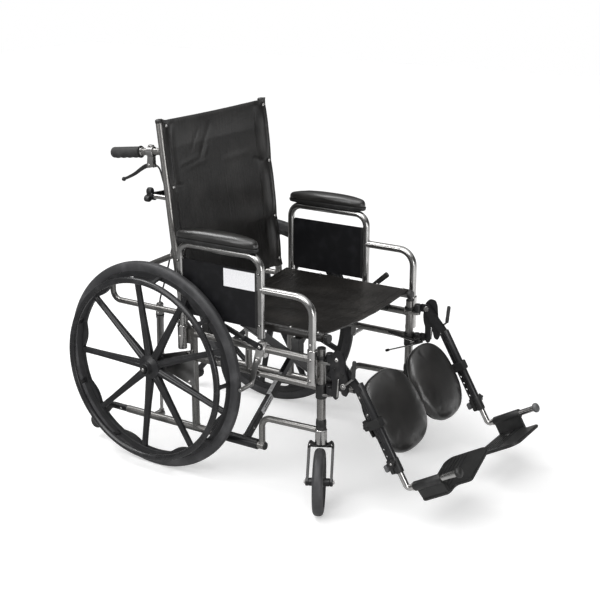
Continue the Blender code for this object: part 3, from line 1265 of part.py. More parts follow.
def calf_pad(side, parent, origin):
    """A plump pad behind the calf on its arm, and the clamp that slides on the leg bar."""
    frame = leg_frame()
    centre_x = CALF_X - LEG_CENTRE_X
    points = 24
    half = CALF_THICKNESS / 2
    rings = []
    for depth, scale in ((-0.88, 0.87), (-0.3, 1.0), (0.3, 0.98), (0.72, 0.84), (0.94, 0.62), (1.0, 0.34)):
        ring = []
        for i in range(points):
            angle = 2 * math.pi * (i + 0.5) / points
            across = math.copysign(abs(math.cos(angle)) ** 0.72, math.cos(angle))
            along = math.copysign(abs(math.sin(angle)) ** 0.72, math.sin(angle))
            x = centre_x + CALF_WIDTH / 2 * scale * across
            down = CALF_CENTRE + CALF_LENGTH / 2 * scale * along
            ring.append(Vector((x, CALF_BACK + half * depth, down)))
        rings.append(ring)
    back = CALF_BACK - half
    clamp_x = SLEEVE_RADIUS + 0.0005
    clamp_low = -0.0145
    clamp_high = FOOT_TUBE_FORWARD + SLEEVE_RADIUS + 0.0005
    wall = 0.0035
    start = CALF_CENTRE - 0.019
    end = CALF_CENTRE + 0.013
    shapes = [
        loft(rings, to=frame),
        box((centre_x - 0.03, back - 0.005, CALF_CENTRE - 0.025), (-CALF_SIDE_GAP, back + 0.008, CALF_CENTRE + 0.025), frame),
        box((-CALF_SIDE_GAP - 0.012, back - 0.004, start + 0.004), (-clamp_x - 0.001, clamp_low + 0.008, end - 0.004), frame),
        box((-clamp_x - wall, clamp_low - wall, start), (clamp_x + wall, clamp_high + wall, end), frame),
        tube([leg(0, clamp_low - wall + 0.001, CALF_CENTRE), leg(0, clamp_low - 0.019, CALF_CENTRE)], 0.012),
    ]
    cuts = [box((-clamp_x, clamp_low, start - 0.01), (clamp_x, clamp_high, end + 0.01), frame)]
    return piece(sided("calf_pad", side), side, shapes, LOOKS["vinyl"], parent, origin, cuts)


def leg_release(side, parent, origin):
    """The hand lever that frees the leg rest to be raised."""
    start = FRAME_X + HANGER_PLATE_OUTSET + HANGER_PLATE_THICKNESS + RUNNING_GAP
    hub = (RELEASE_Y, RELEASE_Z)
    x = start + 0.003
    grip = Vector((x, RELEASE_Y - 0.030, RELEASE_Z + 0.028))
    end = Vector((x + 0.002, RELEASE_Y - 0.034, RELEASE_Z + 0.079))
    shapes = [
        pin(hub, start, start + 0.006, 0.008),
        tube([(x, *hub), grip], 0.0028, sides=SMALL_SIDES),
        tube([grip - (end - grip) * 0.02, end], 0.0055, sides=SMALL_SIDES),
    ]
    cuts = [pin(hub, start - 0.01, start + 0.02, bore(0.003, SMALL_SIDES), SMALL_SIDES)]
    return piece(sided("leg_release", side), side, shapes, LOOKS["black_plastic"], parent, origin, cuts)


def anti_tipper(side, parent, origin):
    """A bent tube on the lower rail's end with a round foot above the floor."""
    foot = (TIP_GUARD_FOOT_Y, TIP_GUARD_FOOT_Z)
    shapes = [
        tube(
            [
                (FRAME_X, LOWER_RAIL_REAR_Y + FACE_GAP, LOWER_RAIL_Z),
                (FRAME_X, TIP_GUARD_Y, LOWER_RAIL_Z),
                (FRAME_X, *foot),
            ],
            RAIL_RADIUS - 0.001,
            0.03,
        ),
        pin(foot, FRAME_X - 0.013, FRAME_X + 0.013, TIP_GUARD_FOOT_RADIUS, 16),
    ]
    return piece(sided("anti_tipper", side), side, shapes, LOOKS["black_plastic"], parent, origin)


def make_looks():
    return {
        "frame_steel": material("frame_steel", (0.33, 0.33, 0.34), 0.32, 0.9),
        "chrome": material("chrome", (0.62, 0.61, 0.60), 0.18, 1.0),
        "zinc": material("zinc", (0.48, 0.48, 0.49), 0.35, 0.9),
        "black_steel": material("black_steel", (0.02, 0.02, 0.021), 0.4, 0.3),
        "black_plastic": material("black_plastic", (0.016, 0.016, 0.017), 0.45),
        "panel": material("panel", (0.02, 0.02, 0.022), 0.5),
        "rubber": material("rubber", (0.018, 0.018, 0.018), 0.75),
        "tyre": material("tyre", (0.022, 0.022, 0.023), 0.7),
        "vinyl": material("vinyl", (0.015, 0.014, 0.014), 0.42),
        "cable": material("cable", (0.25, 0.25, 0.26), 0.4, 0.5),
    }


def wheels(side, frame):
    hub = (WHEEL_X, 0, HUB_Z)
    hub_piece = wheel(side, frame, hub)
    tyre(side, hub_piece, hub)
    handrim(side, hub_piece, hub)
    fork = caster_fork(side, frame, (FRAME_X, FRONT_POST_Y, 0))
    caster_wheel(side, fork, (FRAME_X, FRONT_POST_Y - CASTER_TRAIL, CASTER_RADIUS))


def armrest(side, frame):
    arm = armrest_tube(side, frame, (ARMREST_X, ARMREST_REAR_Y, ARMREST_REAR_FOOT_Z))
    arm_pad(side, arm, (ARMREST_X, ARMREST_REAR_Y, ARMREST_TOP_Z))
    side_panel(side, arm, (ARMREST_X, ARMREST_REAR_Y, PANEL_TOP_Z))


def wheel_lock(side, frame):
    base = brake_base(side, frame, (FRAME_X, *lock_pivot()))
    brake_lever(side, base, (blade_x(), *lock_pivot()))
    brake_shoe(side, base, (blade_x(), *shoe_pivot()))


def leg_rest(side, frame):
    hanger = leg_hanger(side, frame, (FRAME_X, HANGER_Y, HANGER_LUG_ZS[0]))
    rest = leg_bar(side, hanger, (LEG_CENTRE_X, ELEVATION_Y, ELEVATION_Z))
    leg_release(side, hanger, (FRAME_X + HANGER_PLATE_OUTSET, RELEASE_Y, RELEASE_Z))
    foot = foot_tube(side, rest, tuple(leg(0, FOOT_TUBE_FORWARD, FOOT_CORNER)))
    footplate(side, foot, tuple(leg(0, BARREL_START, FOOT_CORNER)))
    calf_pad(side, rest, tuple(leg(0, 0, CALF_CENTRE)))


def back_post(side, frame):
    """One cane with what it carries. Returns the cane."""
    pivot = (CANE_X, BACK_PIVOT_Y, BACK_PIVOT_Z)
    cane = back_cane(side, frame, pivot)
    push_grip(side, cane, tuple(handle(GRIP_START)))
    bracket = lever_bracket(side, cane, tuple(handle(CLAMP_START)))
    recline_lever(side, bracket, (CANE_X, LEVER_PIVOT_Y, LEVER_PIVOT_Z))
    recline_cable(side, cane, (CANE_X, BARREL_FRONT_Y, BARREL_Z))
    spreader_bar(side, cane, (CANE_X, SPREADER_Y, STUD_Z))
    spreader_knob(side, cane, (CANE_X, SPREADER_Y, STUD_Z))
    cylinder = gas_cylinder(side, cane, tuple(gas_point(0)))
    gas_rod(side, cylinder, tuple(gas_point(gas_length())))
    return cane


def clear_scene():
    for old in list(bpy.data.objects):
        bpy.data.objects.remove(old)


def build():
    chair = bpy.data.objects.new("chair", None)
    bpy.context.scene.collection.objects.link(chair)
    chair.location = (HUB_X, HUB_Y, 0)
    right = side_frame(-1, chair, (FRAME_X, 0, LOWER_RAIL_Z))
    centre_z = LOWER_RAIL_Z + FRAME_X / (FRAME_X + SEAT_RAIL_X) * (SEAT_RAIL_Z - LOWER_RAIL_Z)
    first_arm = cross_arm("cross_arm_a", -1, right, (FRAME_X, ARM_Y, LOWER_RAIL_Z))
    second_arm = cross_arm("cross_arm_b", 1, first_arm, (0, ARM_Y, centre_z))
    left = side_frame(1, second_arm, (FRAME_X, ARM_Y, LOWER_RAIL_Z))
    seat_sling(second_arm, (SEAT_RAIL_X, ARM_Y, SEAT_RAIL_Z))
    for side, frame in ((-1, right), (1, left)):
        wheels(side, frame)
        armrest(side, frame)
        wheel_lock(side, frame)
        leg_rest(side, frame)
        anti_tipper(side, frame, (FRAME_X, LOWER_RAIL_REAR_Y, LOWER_RAIL_Z))
        cane = back_post(side, frame)
        if side < 0:
            back_sling(cane, (CANE_X, BACK_PIVOT_Y, BACK_PIVOT_Z))


clear_scene()
LOOKS = make_looks()
build()
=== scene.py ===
# %% [markdown]
# This file dresses a folding wheelchair with a reclining back. The solid parts, their sizes and their
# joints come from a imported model. Each visible piece is built here again with round tubes, soft edges,
# seams, screws and a surface of its own, in the same places, and then rides on the body that it belongs
# to.

# %% Load the model and find the chair's own origin
import json
import math
from random import Random

import bmesh
import bpy
from mathutils import Matrix, Quaternion, Vector

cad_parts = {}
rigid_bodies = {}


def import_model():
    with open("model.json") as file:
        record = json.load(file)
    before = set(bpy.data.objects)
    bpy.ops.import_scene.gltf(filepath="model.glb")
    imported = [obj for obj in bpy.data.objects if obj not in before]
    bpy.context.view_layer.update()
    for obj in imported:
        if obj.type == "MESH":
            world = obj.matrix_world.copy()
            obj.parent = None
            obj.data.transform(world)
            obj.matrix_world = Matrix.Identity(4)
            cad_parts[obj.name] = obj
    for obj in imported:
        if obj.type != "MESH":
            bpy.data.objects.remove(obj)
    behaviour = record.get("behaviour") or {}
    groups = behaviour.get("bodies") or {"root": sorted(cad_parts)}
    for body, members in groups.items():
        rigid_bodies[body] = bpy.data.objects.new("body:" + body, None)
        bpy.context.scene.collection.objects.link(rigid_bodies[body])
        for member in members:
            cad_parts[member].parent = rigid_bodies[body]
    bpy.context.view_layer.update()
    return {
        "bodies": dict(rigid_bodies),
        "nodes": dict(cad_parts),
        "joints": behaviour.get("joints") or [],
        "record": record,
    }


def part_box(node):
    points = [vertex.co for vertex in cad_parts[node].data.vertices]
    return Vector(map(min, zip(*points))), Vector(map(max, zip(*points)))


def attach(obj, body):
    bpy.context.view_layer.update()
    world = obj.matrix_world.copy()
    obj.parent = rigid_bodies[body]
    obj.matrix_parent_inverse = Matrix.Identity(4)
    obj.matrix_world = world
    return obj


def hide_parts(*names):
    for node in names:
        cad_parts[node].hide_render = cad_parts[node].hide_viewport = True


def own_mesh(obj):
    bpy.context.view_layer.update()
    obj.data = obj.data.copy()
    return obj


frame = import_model()
tyre_left, tyre_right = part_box("tyre_l"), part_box("tyre_r")
HUB = Vector((
    (tyre_left[1].x + tyre_right[0].x) / 2,
    (tyre_left[0].y + tyre_left[1].y) / 2,
    0.0,
))

# %% [markdown]
# The photograph was taken from the chair's right front, a little above the armrests, with a long lens.
# The camera's place came from matching hub, tube and pad corners, so it is a plain look from one point to
# another. Working from the point under the hubs keeps the numbers the same for both sides: left is +X.

# %% Camera
LOOK_FROM = Vector((-2.779, -2.097, 1.523))
LOOK_AT = Vector((0.082, -0.250, 0.440))
camera_data = bpy.data.cameras.new("studio camera")
camera_data.lens = 72.36
camera_data.sensor_width = 36.0
camera = bpy.data.objects.new("studio camera", camera_data)
camera.location = HUB + LOOK_FROM
camera.rotation_euler = (LOOK_AT - LOOK_FROM).to_track_quat("-Z", "Y").to_euler()
bpy.context.scene.collection.objects.link(camera)
bpy.context.scene.camera = camera
print("camera is", round((LOOK_AT - LOOK_FROM).length, 2), "m from the seat's front")

# %% [markdown]
# Almost everything here is a tube, a turned part, a pressed plate or a cushion. A few helpers make those
# shells as bmeshes: a sweep along a path with real bends, a profile turned about an axis, an outline
# given a thickness with softened edges. Shells overlap where metal is welded, which is how the real parts
# meet.

# %% Places: the leg rest leans forward, the back leans rearward
LEFTWARD = Vector((1, 0, 0))
LEG_LEAN = math.radians(30.0)
LEG_DOWN = Vector((0, -math.sin(LEG_LEAN), -math.cos(LEG_LEAN)))
LEG_FORWARD = Vector((0, -math.cos(LEG_LEAN), math.sin(LEG_LEAN)))
LEG_START = Vector((0.250, -0.597, 0.440))
BACK_LEAN = math.radians(6.7)
BACK_PIVOT = Vector((0.243, -0.070, 0.440))
HANDLE_BACK = Vector((0, math.cos(BACK_LEAN), -math.sin(BACK_LEAN)))
HANDLE_Z = 0.912
ALONG_X = Matrix(((0, 0, 1, 0), (1, 0, 0, 0), (0, 1, 0, 0), (0, 0, 0, 1)))
ALONG_Y = Matrix(((0, 1, 0, 0), (0, 0, 1, 0), (1, 0, 0, 0), (0, 0, 0, 1)))


def leg(across, forward, down):
    """A point of the leg rest, from where its line starts."""
    return LEG_START + Vector((across, 0, 0)) + LEG_FORWARD * forward + LEG_DOWN * down


def leg_frame():
    """Leg-rest places as a matrix: X across, Y in front of its line, Z down along it."""
    rows = [[(LEFTWARD, LEG_FORWARD, LEG_DOWN)[column][row] for column in range(3)] for row in range(3)]
    return Matrix.Translation(LEG_START) @ Matrix(rows).to_4x4()


def cane_y(z):
    """The back post's centre line at this height."""
    return BACK_PIVOT.y + (z - BACK_PIVOT.z) * math.tan(BACK_LEAN)


def handle(along):
    """A point on the push handle's centre line, this far behind the post."""
    return Vector((BACK_PIVOT.x, cane_y(HANDLE_Z), HANDLE_Z)) + HANDLE_BACK * along


print("the handle's end is at", tuple(round(v, 3) for v in handle(0.182)))


# %% Shells from rings
def loft(rings, closed=False, to=None, capped=True):
    """A skin through rings of as many points each. A closed one meets its first ring again."""
    shell = bmesh.new()
    rows = [[shell.verts.new(point) for point in ring] for ring in rings]
    pairs = list(zip(rows, rows[1:] + rows[:1])) if closed else list(zip(rows, rows[1:]))
    for row, following in pairs:
        for i in range(len(row)):
            j = (i + 1) % len(row)
            shell.faces.new((row[i], row[j], following[j], following[i]))
    if capped and not closed:
        shell.faces.new(rows[0])
        shell.faces.new(rows[-1])
    if to is not None:
        bmesh.ops.transform(shell, matrix=to, verts=shell.verts)
    bmesh.ops.recalc_face_normals(shell, faces=shell.faces)
    return shell


def ring_angles(count, start=0.0):
    """Evenly spaced angles round a circle."""
    return [2 * math.pi * (start + i) / count for i in range(count)]


def squarish(angle, power):
    """Where an angle meets a rounded square: a circle at power 1, a square at power 0."""
    return [math.copysign(abs(share) ** power, share) for share in (math.cos(angle), math.sin(angle))]


def aimed(at, along):
    """A frame at a point whose Z looks along a direction."""
    return Matrix.Translation(Vector(at)) @ Vector(along).to_track_quat("Z", "Y").to_matrix().to_4x4()


def both_halves(half, *middle):
    """A profile of (radius, height), the points at its middle, then its mirror image."""
    return [*half, *middle, *((radius, -height) for radius, height in reversed(half))]


def round_outline(at, radius, corners, notch=0.0):
    """Corners round the point (u, v), every other one pulled in by the notch."""
    reaches = [radius - notch * (k % 2) for k in range(corners)]
    return [
        (at[0] + r * math.cos(a), at[1] + r * math.sin(a)) for r, a in zip(reaches, ring_angles(corners))
    ]


def rounded(points, bend, steps=8):
    """The path with each inner corner replaced by an arc of this radius."""
    points = [Vector(point) for point in points]
    path = [points[0]]
    for before, corner, after in zip(points, points[1:], points[2:]):
        towards = (before - corner).normalized()
        onwards = (after - corner).normalized()
        half = towards.angle(onwards) / 2
        centre = corner + (towards + onwards).normalized() * bend / math.sin(half)
        start = corner + towards * bend / math.tan(half) - centre
        end = corner + onwards * bend / math.tan(half) - centre
        turn = start.rotation_difference(end)
        path += [centre + Quaternion().slerp(turn, i / steps) @ start for i in range(steps + 1)]
    return path + [points[-1]]


def tube(points, radius, bend=0.0, sides=20, chamfer=0.0008):
    """A round bar along a path, with its corners bent and the edges of its ends broken."""
    path = rounded(points, bend) if bend else [Vector(point) for point in points]
    stations = [(path[0], -chamfer)] + [(path[0] + (path[1] - path[0]).normalized() * chamfer, 0.0)]
    stations += [(point, 0.0) for point in path[1:-1]]
    stations += [(path[-1] + (path[-2] - path[-1]).normalized() * chamfer, 0.0), (path[-1], -chamfer)]
    across = (path[1] - path[0]).orthogonal().normalized()
    rings = []
    for i, (point, inset) in enumerate(stations):
        before = (point - stations[i - 1][0]).normalized() if i else Vector()
        after = (stations[i + 1][0] - point).normalized() if i + 1 < len(stations) else Vector()
        along = (before + after).normalized()
        across = (across - along * across.dot(along)).normalized()
        other = along.cross(across)
        rings.append(
            [
                point + (radius + inset) * (math.cos(a) * across + math.sin(a) * other)
                for a in ring_angles(sides)
            ]
        )
    return loft(rings)


def turned(profile, to, sides=48, closed=False):
    """A profile of (radius, height) turned about the local Z axis."""
    rings = [
        [Vector((r * math.cos(a), r * math.sin(a), h)) for a in ring_angles(sides)] for r, h in profile
    ]
    return loft(rings, closed, to)


def softened(shell, width, segments=2):
    """The shell with its sharp edges rounded to this width."""
    sharp = [edge for edge in shell.edges if len(edge.link_faces) == 2 and edge.calc_face_angle() > 0.5]
    bmesh.ops.bevel(
        shell, geom=sharp, offset=width, segments=segments, affect="EDGES", clamp_overlap=True
    )
    return shell


def plate(outline, start, end, to=ALONG_X, soft=0.0007, segments=2):
    """A flat piece of this outline, from one distance to another along its frame's Z."""
    shell = loft(
        [[Vector((u, v, w)) for u, v in outline] for w in (min(start, end), max(start, end))], to=to
    )
    return softened(shell, soft, segments) if soft else shell


def box(lower, upper, to=None, soft=0.0007, segments=2):
    """An oblong block with softened edges."""
    outline = [(lower[0], lower[1]), (upper[0], lower[1]), (upper[0], upper[1]), (lower[0], upper[1])]
    return plate(outline, lower[2], upper[2], to or Matrix(), soft, segments)


def pin(at, start, end, radius, sides=20):
    """A round pin along X through the point (y, z)."""
    y, z = at
    return tube([(start, y, z), (end, y, z)], radius, sides=sides, chamfer=min(0.0008, radius * 0.25))


def hull(discs, steps=40):
    """The outline of the straps that join discs of (u, v, radius), as a convex loop."""
    points = sorted(
        (u + r * math.cos(a), v + r * math.sin(a)) for u, v, r in discs for a in ring_angles(steps)
    )
    outline = []
    for side in (points, points[::-1]):
        chain = []
        for p in side:
            while len(chain) > 1:
                (ax, ay), (bx, by) = chain[-2:]
                if (bx - ax) * (p[1] - ay) - (by - ay) * (p[0] - ax) > 1e-10:
                    break
                chain.pop()
            chain.append(p)
        outline += chain[:-1]
    return outline


def smooth_path(route, steps):
    """Points of a curve through the route's points."""
    points = [Vector(point) for point in route]
    ends = [2 * points[0] - points[1], *points, 2 * points[-1] - points[-2]]
    path = []
    for a, b, c, d in zip(ends, ends[1:], ends[2:], ends[3:]):
        for i in range(steps):
            t = i / steps
            path.append(
                0.5 * (
                    2 * b + (c - a) * t + (2 * a - 5 * b + 4 * c - d) * t**2
                    + (3 * b - a - 3 * c + d) * t**3
                )
            )
    return path + [points[-1]]


sample = tube([(0, 0, 0), (0, 0, 0.1), (0, 0.1, 0.1)], 0.01, 0.03)
print("a bent tube has", len(sample.faces), "faces")
sample.free()

# %% [markdown]
# One visible piece gathers several shells, each with its finish, in one mesh. Everything is written for
# the left side and mirrored for the right, which halves the work and keeps both sides true. Mirroring
# turns a mesh inside out, so its faces are reversed. The object stays at the origin: its place is in its
# mesh.


# %% A piece of the chair
class Piece:
    """Shells of one piece, gathered for one side and then placed on its body."""

    def __init__(self, name, side, body, slot):
        self.side = side
        self.mark = {1: "_l", -1: "_r", 0: ""}[side]
        self.name = name + self.mark
        self.body = body if side == 0 else {1: "left_", -1: "right_"}[side] + body
        self.slot = slot
        self.shells = bmesh.new()
        self.finishes = []

    def add(self, finish, *shells, to=None):
        """Puts shells of one finish into the piece."""
        if finish not in self.finishes:
            self.finishes.append(finish)
        for shell in shells:
            if to is not None:
                bmesh.ops.transform(shell, matrix=to, verts=shell.verts)
            for face in shell.faces:
                face.material_index = self.finishes.index(finish)
            joined = bpy.data.meshes.new("shell")
            shell.to_mesh(joined)
            shell.free()
            self.shells.from_mesh(joined)
            bpy.data.meshes.remove(joined)
        return self

    def screw(self, radius, *spots, finish=None, head=None, to=None):
        """Puts screw heads of this radius at (place, direction) pairs."""
        finish = finish or PLATED
        return self.add(finish, screws(radius, finish, *spots, head=head or dome_head), to=to)

    def object(self, smooth_below=38.0):
        """The piece as an object in world places, not yet on its body."""
        if self.side < 0:
            bmesh.ops.scale(self.shells, verts=self.shells.verts, vec=(-1, 1, 1))
            bmesh.ops.reverse_faces(self.shells, faces=self.shells.faces)
        bmesh.ops.translate(self.shells, verts=self.shells.verts, vec=HUB)
        mesh = bpy.data.meshes.new(self.name)
        self.shells.to_mesh(mesh)
        self.shells.free()
        for finish in self.finishes:
            mesh.materials.append(finish)
        mesh.shade_smooth()
        mesh.set_sharp_from_angle(angle=math.radians(smooth_below))
        made = bpy.data.objects.new(self.name, mesh)
        bpy.context.scene.collection.objects.link(made)
        return made

    def place(self, *nodes, smooth_below=38.0):
        """Makes the object, puts it on its body, and lets it stand for these solids of its side."""
        return self.mount(self.object(smooth_below), *nodes)

    def mount(self, made, *nodes):
        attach(made, self.body)
        if nodes:
            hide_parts(*[node + self.mark for node in nodes])
        return made


def both_sides(*makers):
    """Makes pieces for the left and the right side, and says what they are."""
    for side in (1, -1):
        made = [maker(side) for maker in makers]
        print([f"{each.name}: {len(each.data.polygons)} faces" for each in made])


print("pieces of the right side end in _r, of the left side in _l")

# %% [markdown]
# Every finish is a small tree of shader nodes on real object coordinates, so a grain keeps its size in
# millimetres on every piece. Two short classes let the trees be written as sums: Wire turns Python's
# signs into Math nodes, and Finish makes the other nodes with their settings and inputs in one line.


# %% Shader sums in plain Python
class Wire:
    """A number that runs through a finish. Signs on it add Math nodes."""

    def __init__(self, finish, socket):
        self.finish = finish
        self.socket = socket

    def maths(self, operation, other):
        made = self.finish.node("ShaderNodeMath", {"operation": operation}, {0: self, 1: other})
        return Wire(self.finish, made.outputs[0])

    def __add__(self, other):
        return self.maths("ADD", other)

    def __mul__(self, other):
        return self.maths("MULTIPLY", other)

    __radd__ = __add__
    __rmul__ = __mul__

    def above(self, low, high):
        """0 below the first value, 1 above the second, a soft step between."""
        made = self.finish.node(
            "ShaderNodeMapRange",
            {"interpolation_type": "SMOOTHSTEP"},
            {"Value": self, "From Min": low, "From Max": high},
        )
        return Wire(self.finish, made.outputs["Result"])


class Finish:
    """One material, made node by node."""

    def __init__(self, name, colour, roughness, metallic=0.0):
        self.material = bpy.data.materials.new(name)
        self.material.use_nodes = True
        self.tree = self.material.node_tree
        self.shader = self.tree.nodes["Principled BSDF"]
        self.set(self.shader, {"Base Color": (*colour, 1), "Roughness": roughness, "Metallic": metallic})
        self.place = self.node("ShaderNodeTexCoord").outputs["Object"]

    def set(self, node, inputs):
        for key, value in inputs.items():
            if isinstance(value, Wire):
                self.tree.links.new(value.socket, node.inputs[key])
            elif isinstance(value, bpy.types.NodeSocket):
                self.tree.links.new(value, node.inputs[key])
            else:
                node.inputs[key].default_value = value

    def node(self, kind, settings=None, inputs=None):
        made = self.tree.nodes.new(kind)
        for key, value in (settings or {}).items():
            setattr(made, key, value)
        self.set(made, inputs or {})
        return made

    def stretched(self, scale):
        """Object coordinates, scaled by axis."""
        made = self.node("ShaderNodeMapping", None, {"Vector": self.place, "Scale": scale})
        return made.outputs["Vector"]

    def noise(self, scale, detail=2.0, stretch=None, rough=0.5):
        where = self.stretched(stretch) if stretch else self.place
        made = self.node(
            "ShaderNodeTexNoise",
            None,
            {"Vector": where, "Scale": scale, "Detail": detail, "Roughness": rough},
        )
        return Wire(self, made.outputs["Fac"])

    def cells(self, scale):
        made = self.node("ShaderNodeTexVoronoi", None, {"Vector": self.place, "Scale": scale})
        return Wire(self, made.outputs["Distance"])

    def mixed(self, share, first, second):
        """Two colours mixed by a number that changes over the surface."""
        made = self.node("ShaderNodeMix", {"data_type": "RGBA"})
        self.set(made, {0: share})
        for index, colour in ((6, first), (7, second)):
            self.set(made, {index: (*colour, 1) if isinstance(colour, tuple) else colour})
        return made.outputs[2]

    def bumps(self, height, strength, distance):
        """Feeds the surface's normal with this height, in metres at full strength."""
        made = self.node(
            "ShaderNodeBump", None, {"Height": height, "Strength": strength, "Distance": distance}
        )
        self.set(self.shader, {"Normal": made.outputs["Normal"]})

    def surface(self, base, roughness):
        """Feeds the surface's colour and roughness."""
        self.set(self.shader, {"Base Color": base, "Roughness": roughness})


def shade(share, colour):
    return tuple(share * value for value in colour)


print("finishes are measured in metres of object space")

# %% [markdown]
# The metal comes in three kinds: tubes in a satin silver paint with fine veins, plated parts that are
# brighter and scratched along their length, and black enamel with a light orange peel. Base colours stay
# mid grey, because the white studio in their reflections does the rest.


# %% Metal finishes
def silver_paint():
    finish = Finish("silver_vein_paint", (0.30, 0.295, 0.285), 0.30, 0.92)
    veins = finish.noise(520, 4.0, rough=0.65)
    blotches = finish.noise(24, 2.0)
    dark = veins.above(0.36, 0.62)
    finish.surface(
        finish.mixed(dark, (0.20, 0.196, 0.19), (0.40, 0.392, 0.38)),
        0.22 + 0.10 * veins + 0.10 * blotches,
    )
    finish.bumps(veins, 0.25, 0.00012)
    return finish.material


def plated(name, colour, roughness):
    finish = Finish(name, colour, roughness, 1.0)
    scratches = finish.noise(160, 3.0, stretch=(12.0, 1.0, 1.0))
    haze = finish.noise(30, 2.0)
    finish.surface(
        finish.mixed(haze.above(0.4, 0.7), colour, shade(0.8, colour)),
        roughness - 0.05 + 0.10 * haze + 0.06 * scratches,
    )
    finish.bumps(scratches, 0.15, 0.00006)
    return finish.material


def black_enamel():
    finish = Finish("black_enamel", (0.014, 0.014, 0.015), 0.28, 0.0)
    peel = finish.noise(700, 2.0)
    dust = finish.noise(45, 3.0)
    finish.surface(
        finish.mixed(dust.above(0.5, 0.85), (0.012, 0.012, 0.013), (0.028, 0.027, 0.027)),
        0.24 + 0.14 * dust,
    )
    finish.bumps(peel, 0.2, 0.0001)
    return finish.material


SILVER = silver_paint()
PLATED = plated("bright_plate", (0.62, 0.61, 0.60), 0.17)
ZINC = plated("zinc_plate", (0.46, 0.455, 0.45), 0.30)
CAST = plated("bright_cast", (0.86, 0.85, 0.84), 0.38)
ENAMEL = black_enamel()
print("metal finishes:", [each.name for each in (SILVER, PLATED, ZINC, CAST, ENAMEL)])

# %% [markdown]
# The plastics and rubber are nearly black, and differ in how they catch light. Moulded wheels have a fine
# spark-eroded grain, the tyre is smoother and greyer with wiping marks, grips are matt, and the side
# panels are a flat sheet with a faint cloudy sheen.


# %% Plastic and rubber finishes
def moulded(name, colour, roughness, grain, depth, gloss=0.5):
    finish = Finish(name, colour, roughness)
    finish.set(finish.shader, {"Specular IOR Level": gloss})
    texture = finish.cells(grain)
    marks = finish.noise(35, 3.0)
    finish.surface(
        finish.mixed(marks.above(0.45, 0.8), colour, shade(1.9, colour)), roughness - 0.04 + 0.14 * marks
    )
    finish.bumps(texture, 0.35, depth)
    return finish.material


def tyre_rubber():
    finish = Finish("tyre_rubber", (0.022, 0.022, 0.023), 0.5)
    wiped = finish.noise(14, 4.0, rough=0.6)
    fine = finish.noise(400, 2.0)
    finish.surface(
        finish.mixed(wiped.above(0.4, 0.75), (0.031, 0.031, 0.033), (0.072, 0.072, 0.075)),
        0.40 + 0.22 * wiped,
    )
    finish.bumps(fine, 0.25, 0.00015)
    return finish.material


def sticker_film():
    finish = Finish("blank_sticker", (0.74, 0.74, 0.76), 0.42)
    fibre = finish.noise(260, 2.0)
    finish.set(finish.shader, {
        "Base Color": finish.mixed(fibre.above(0.4, 0.7), (0.70, 0.70, 0.72), (0.78, 0.78, 0.79))
    })
    finish.bumps(fibre, 0.1, 0.00005)
    return finish.material


WHEEL_PLASTIC = moulded("wheel_plastic", (0.014, 0.014, 0.015), 0.34, 900, 0.00012)
BLACK_PLASTIC = moulded("black_plastic", (0.013, 0.013, 0.013), 0.42, 700, 0.00015)
RIM_COAT = moulded("handrim_coat", (0.016, 0.016, 0.017), 0.24, 500, 0.00006)
GREY_PLASTIC = moulded("grey_plastic", (0.085, 0.086, 0.088), 0.45, 700, 0.00012)
GRIP_RUBBER = moulded("grip_rubber", (0.020, 0.020, 0.020), 0.62, 600, 0.0002)
PANEL_SHEET = moulded("panel_sheet", (0.0075, 0.0075, 0.0085), 0.33, 1200, 0.00006, 0.28)
TYRE = tyre_rubber()
STICKER = sticker_film()
print("the tyre's and the label's finishes:", TYRE.name, STICKER.name)

# %% [markdown]
# What repeats is made once and set out by Geometry Nodes: spokes and tabs round an axle, screws on points
# that carry a direction, stitches along a seam. Each tree ends in Realize Instances and Set Material, and
# its result becomes a plain shell at once, because an exported model keeps no instances.


# %% A small helper to write node trees
def new_tree(name, inputs):
    """A Geometry Nodes tree with these named inputs after its geometry, and its group input and output."""
    tree = bpy.data.node_groups.new(name, "GeometryNodeTree")
    tree.interface.new_socket("Geometry", in_out="INPUT", socket_type="NodeSocketGeometry")
    for label, kind in inputs.items():
        tree.interface.new_socket(label, in_out="INPUT", socket_type="NodeSocket" + kind)
    tree.interface.new_socket("Geometry", in_out="OUTPUT", socket_type="NodeSocketGeometry")
    return tree, tree.nodes.new("NodeGroupInput"), tree.nodes.new("NodeGroupOutput")


def tree_node(tree, kind, inputs, **settings):
    """A node of a tree with its settings, then its inputs, each a value or another node's socket."""
    made = tree.nodes.new(kind)
    for key, value in settings.items():
        setattr(made, key, value)
    for key, value in inputs.items():
        if isinstance(value, bpy.types.NodeSocket):
            tree.links.new(value, made.inputs[key])
        else:
            made.inputs[key].default_value = value
    return made


def mixed_shaders(tree, share, first, second):
    """The first shader where the share is 0, the second where it is 1."""
    return tree_node(tree, "ShaderNodeMixShader", {0: share, 1: first.outputs[0], 2: second.outputs[0]})


def finish_tree(tree, instances, inputs, output):
    """Ends a tree: instances made real, then given the finish."""
    real = tree_node(tree, "GeometryNodeRealizeInstances", {"Geometry": instances})
    worn = tree_node(tree, "GeometryNodeSetMaterial", {
        "Geometry": real.outputs[0], "Material": inputs.outputs["Finish"]
    })
    tree.links.new(worn.outputs[0], output.inputs[0])


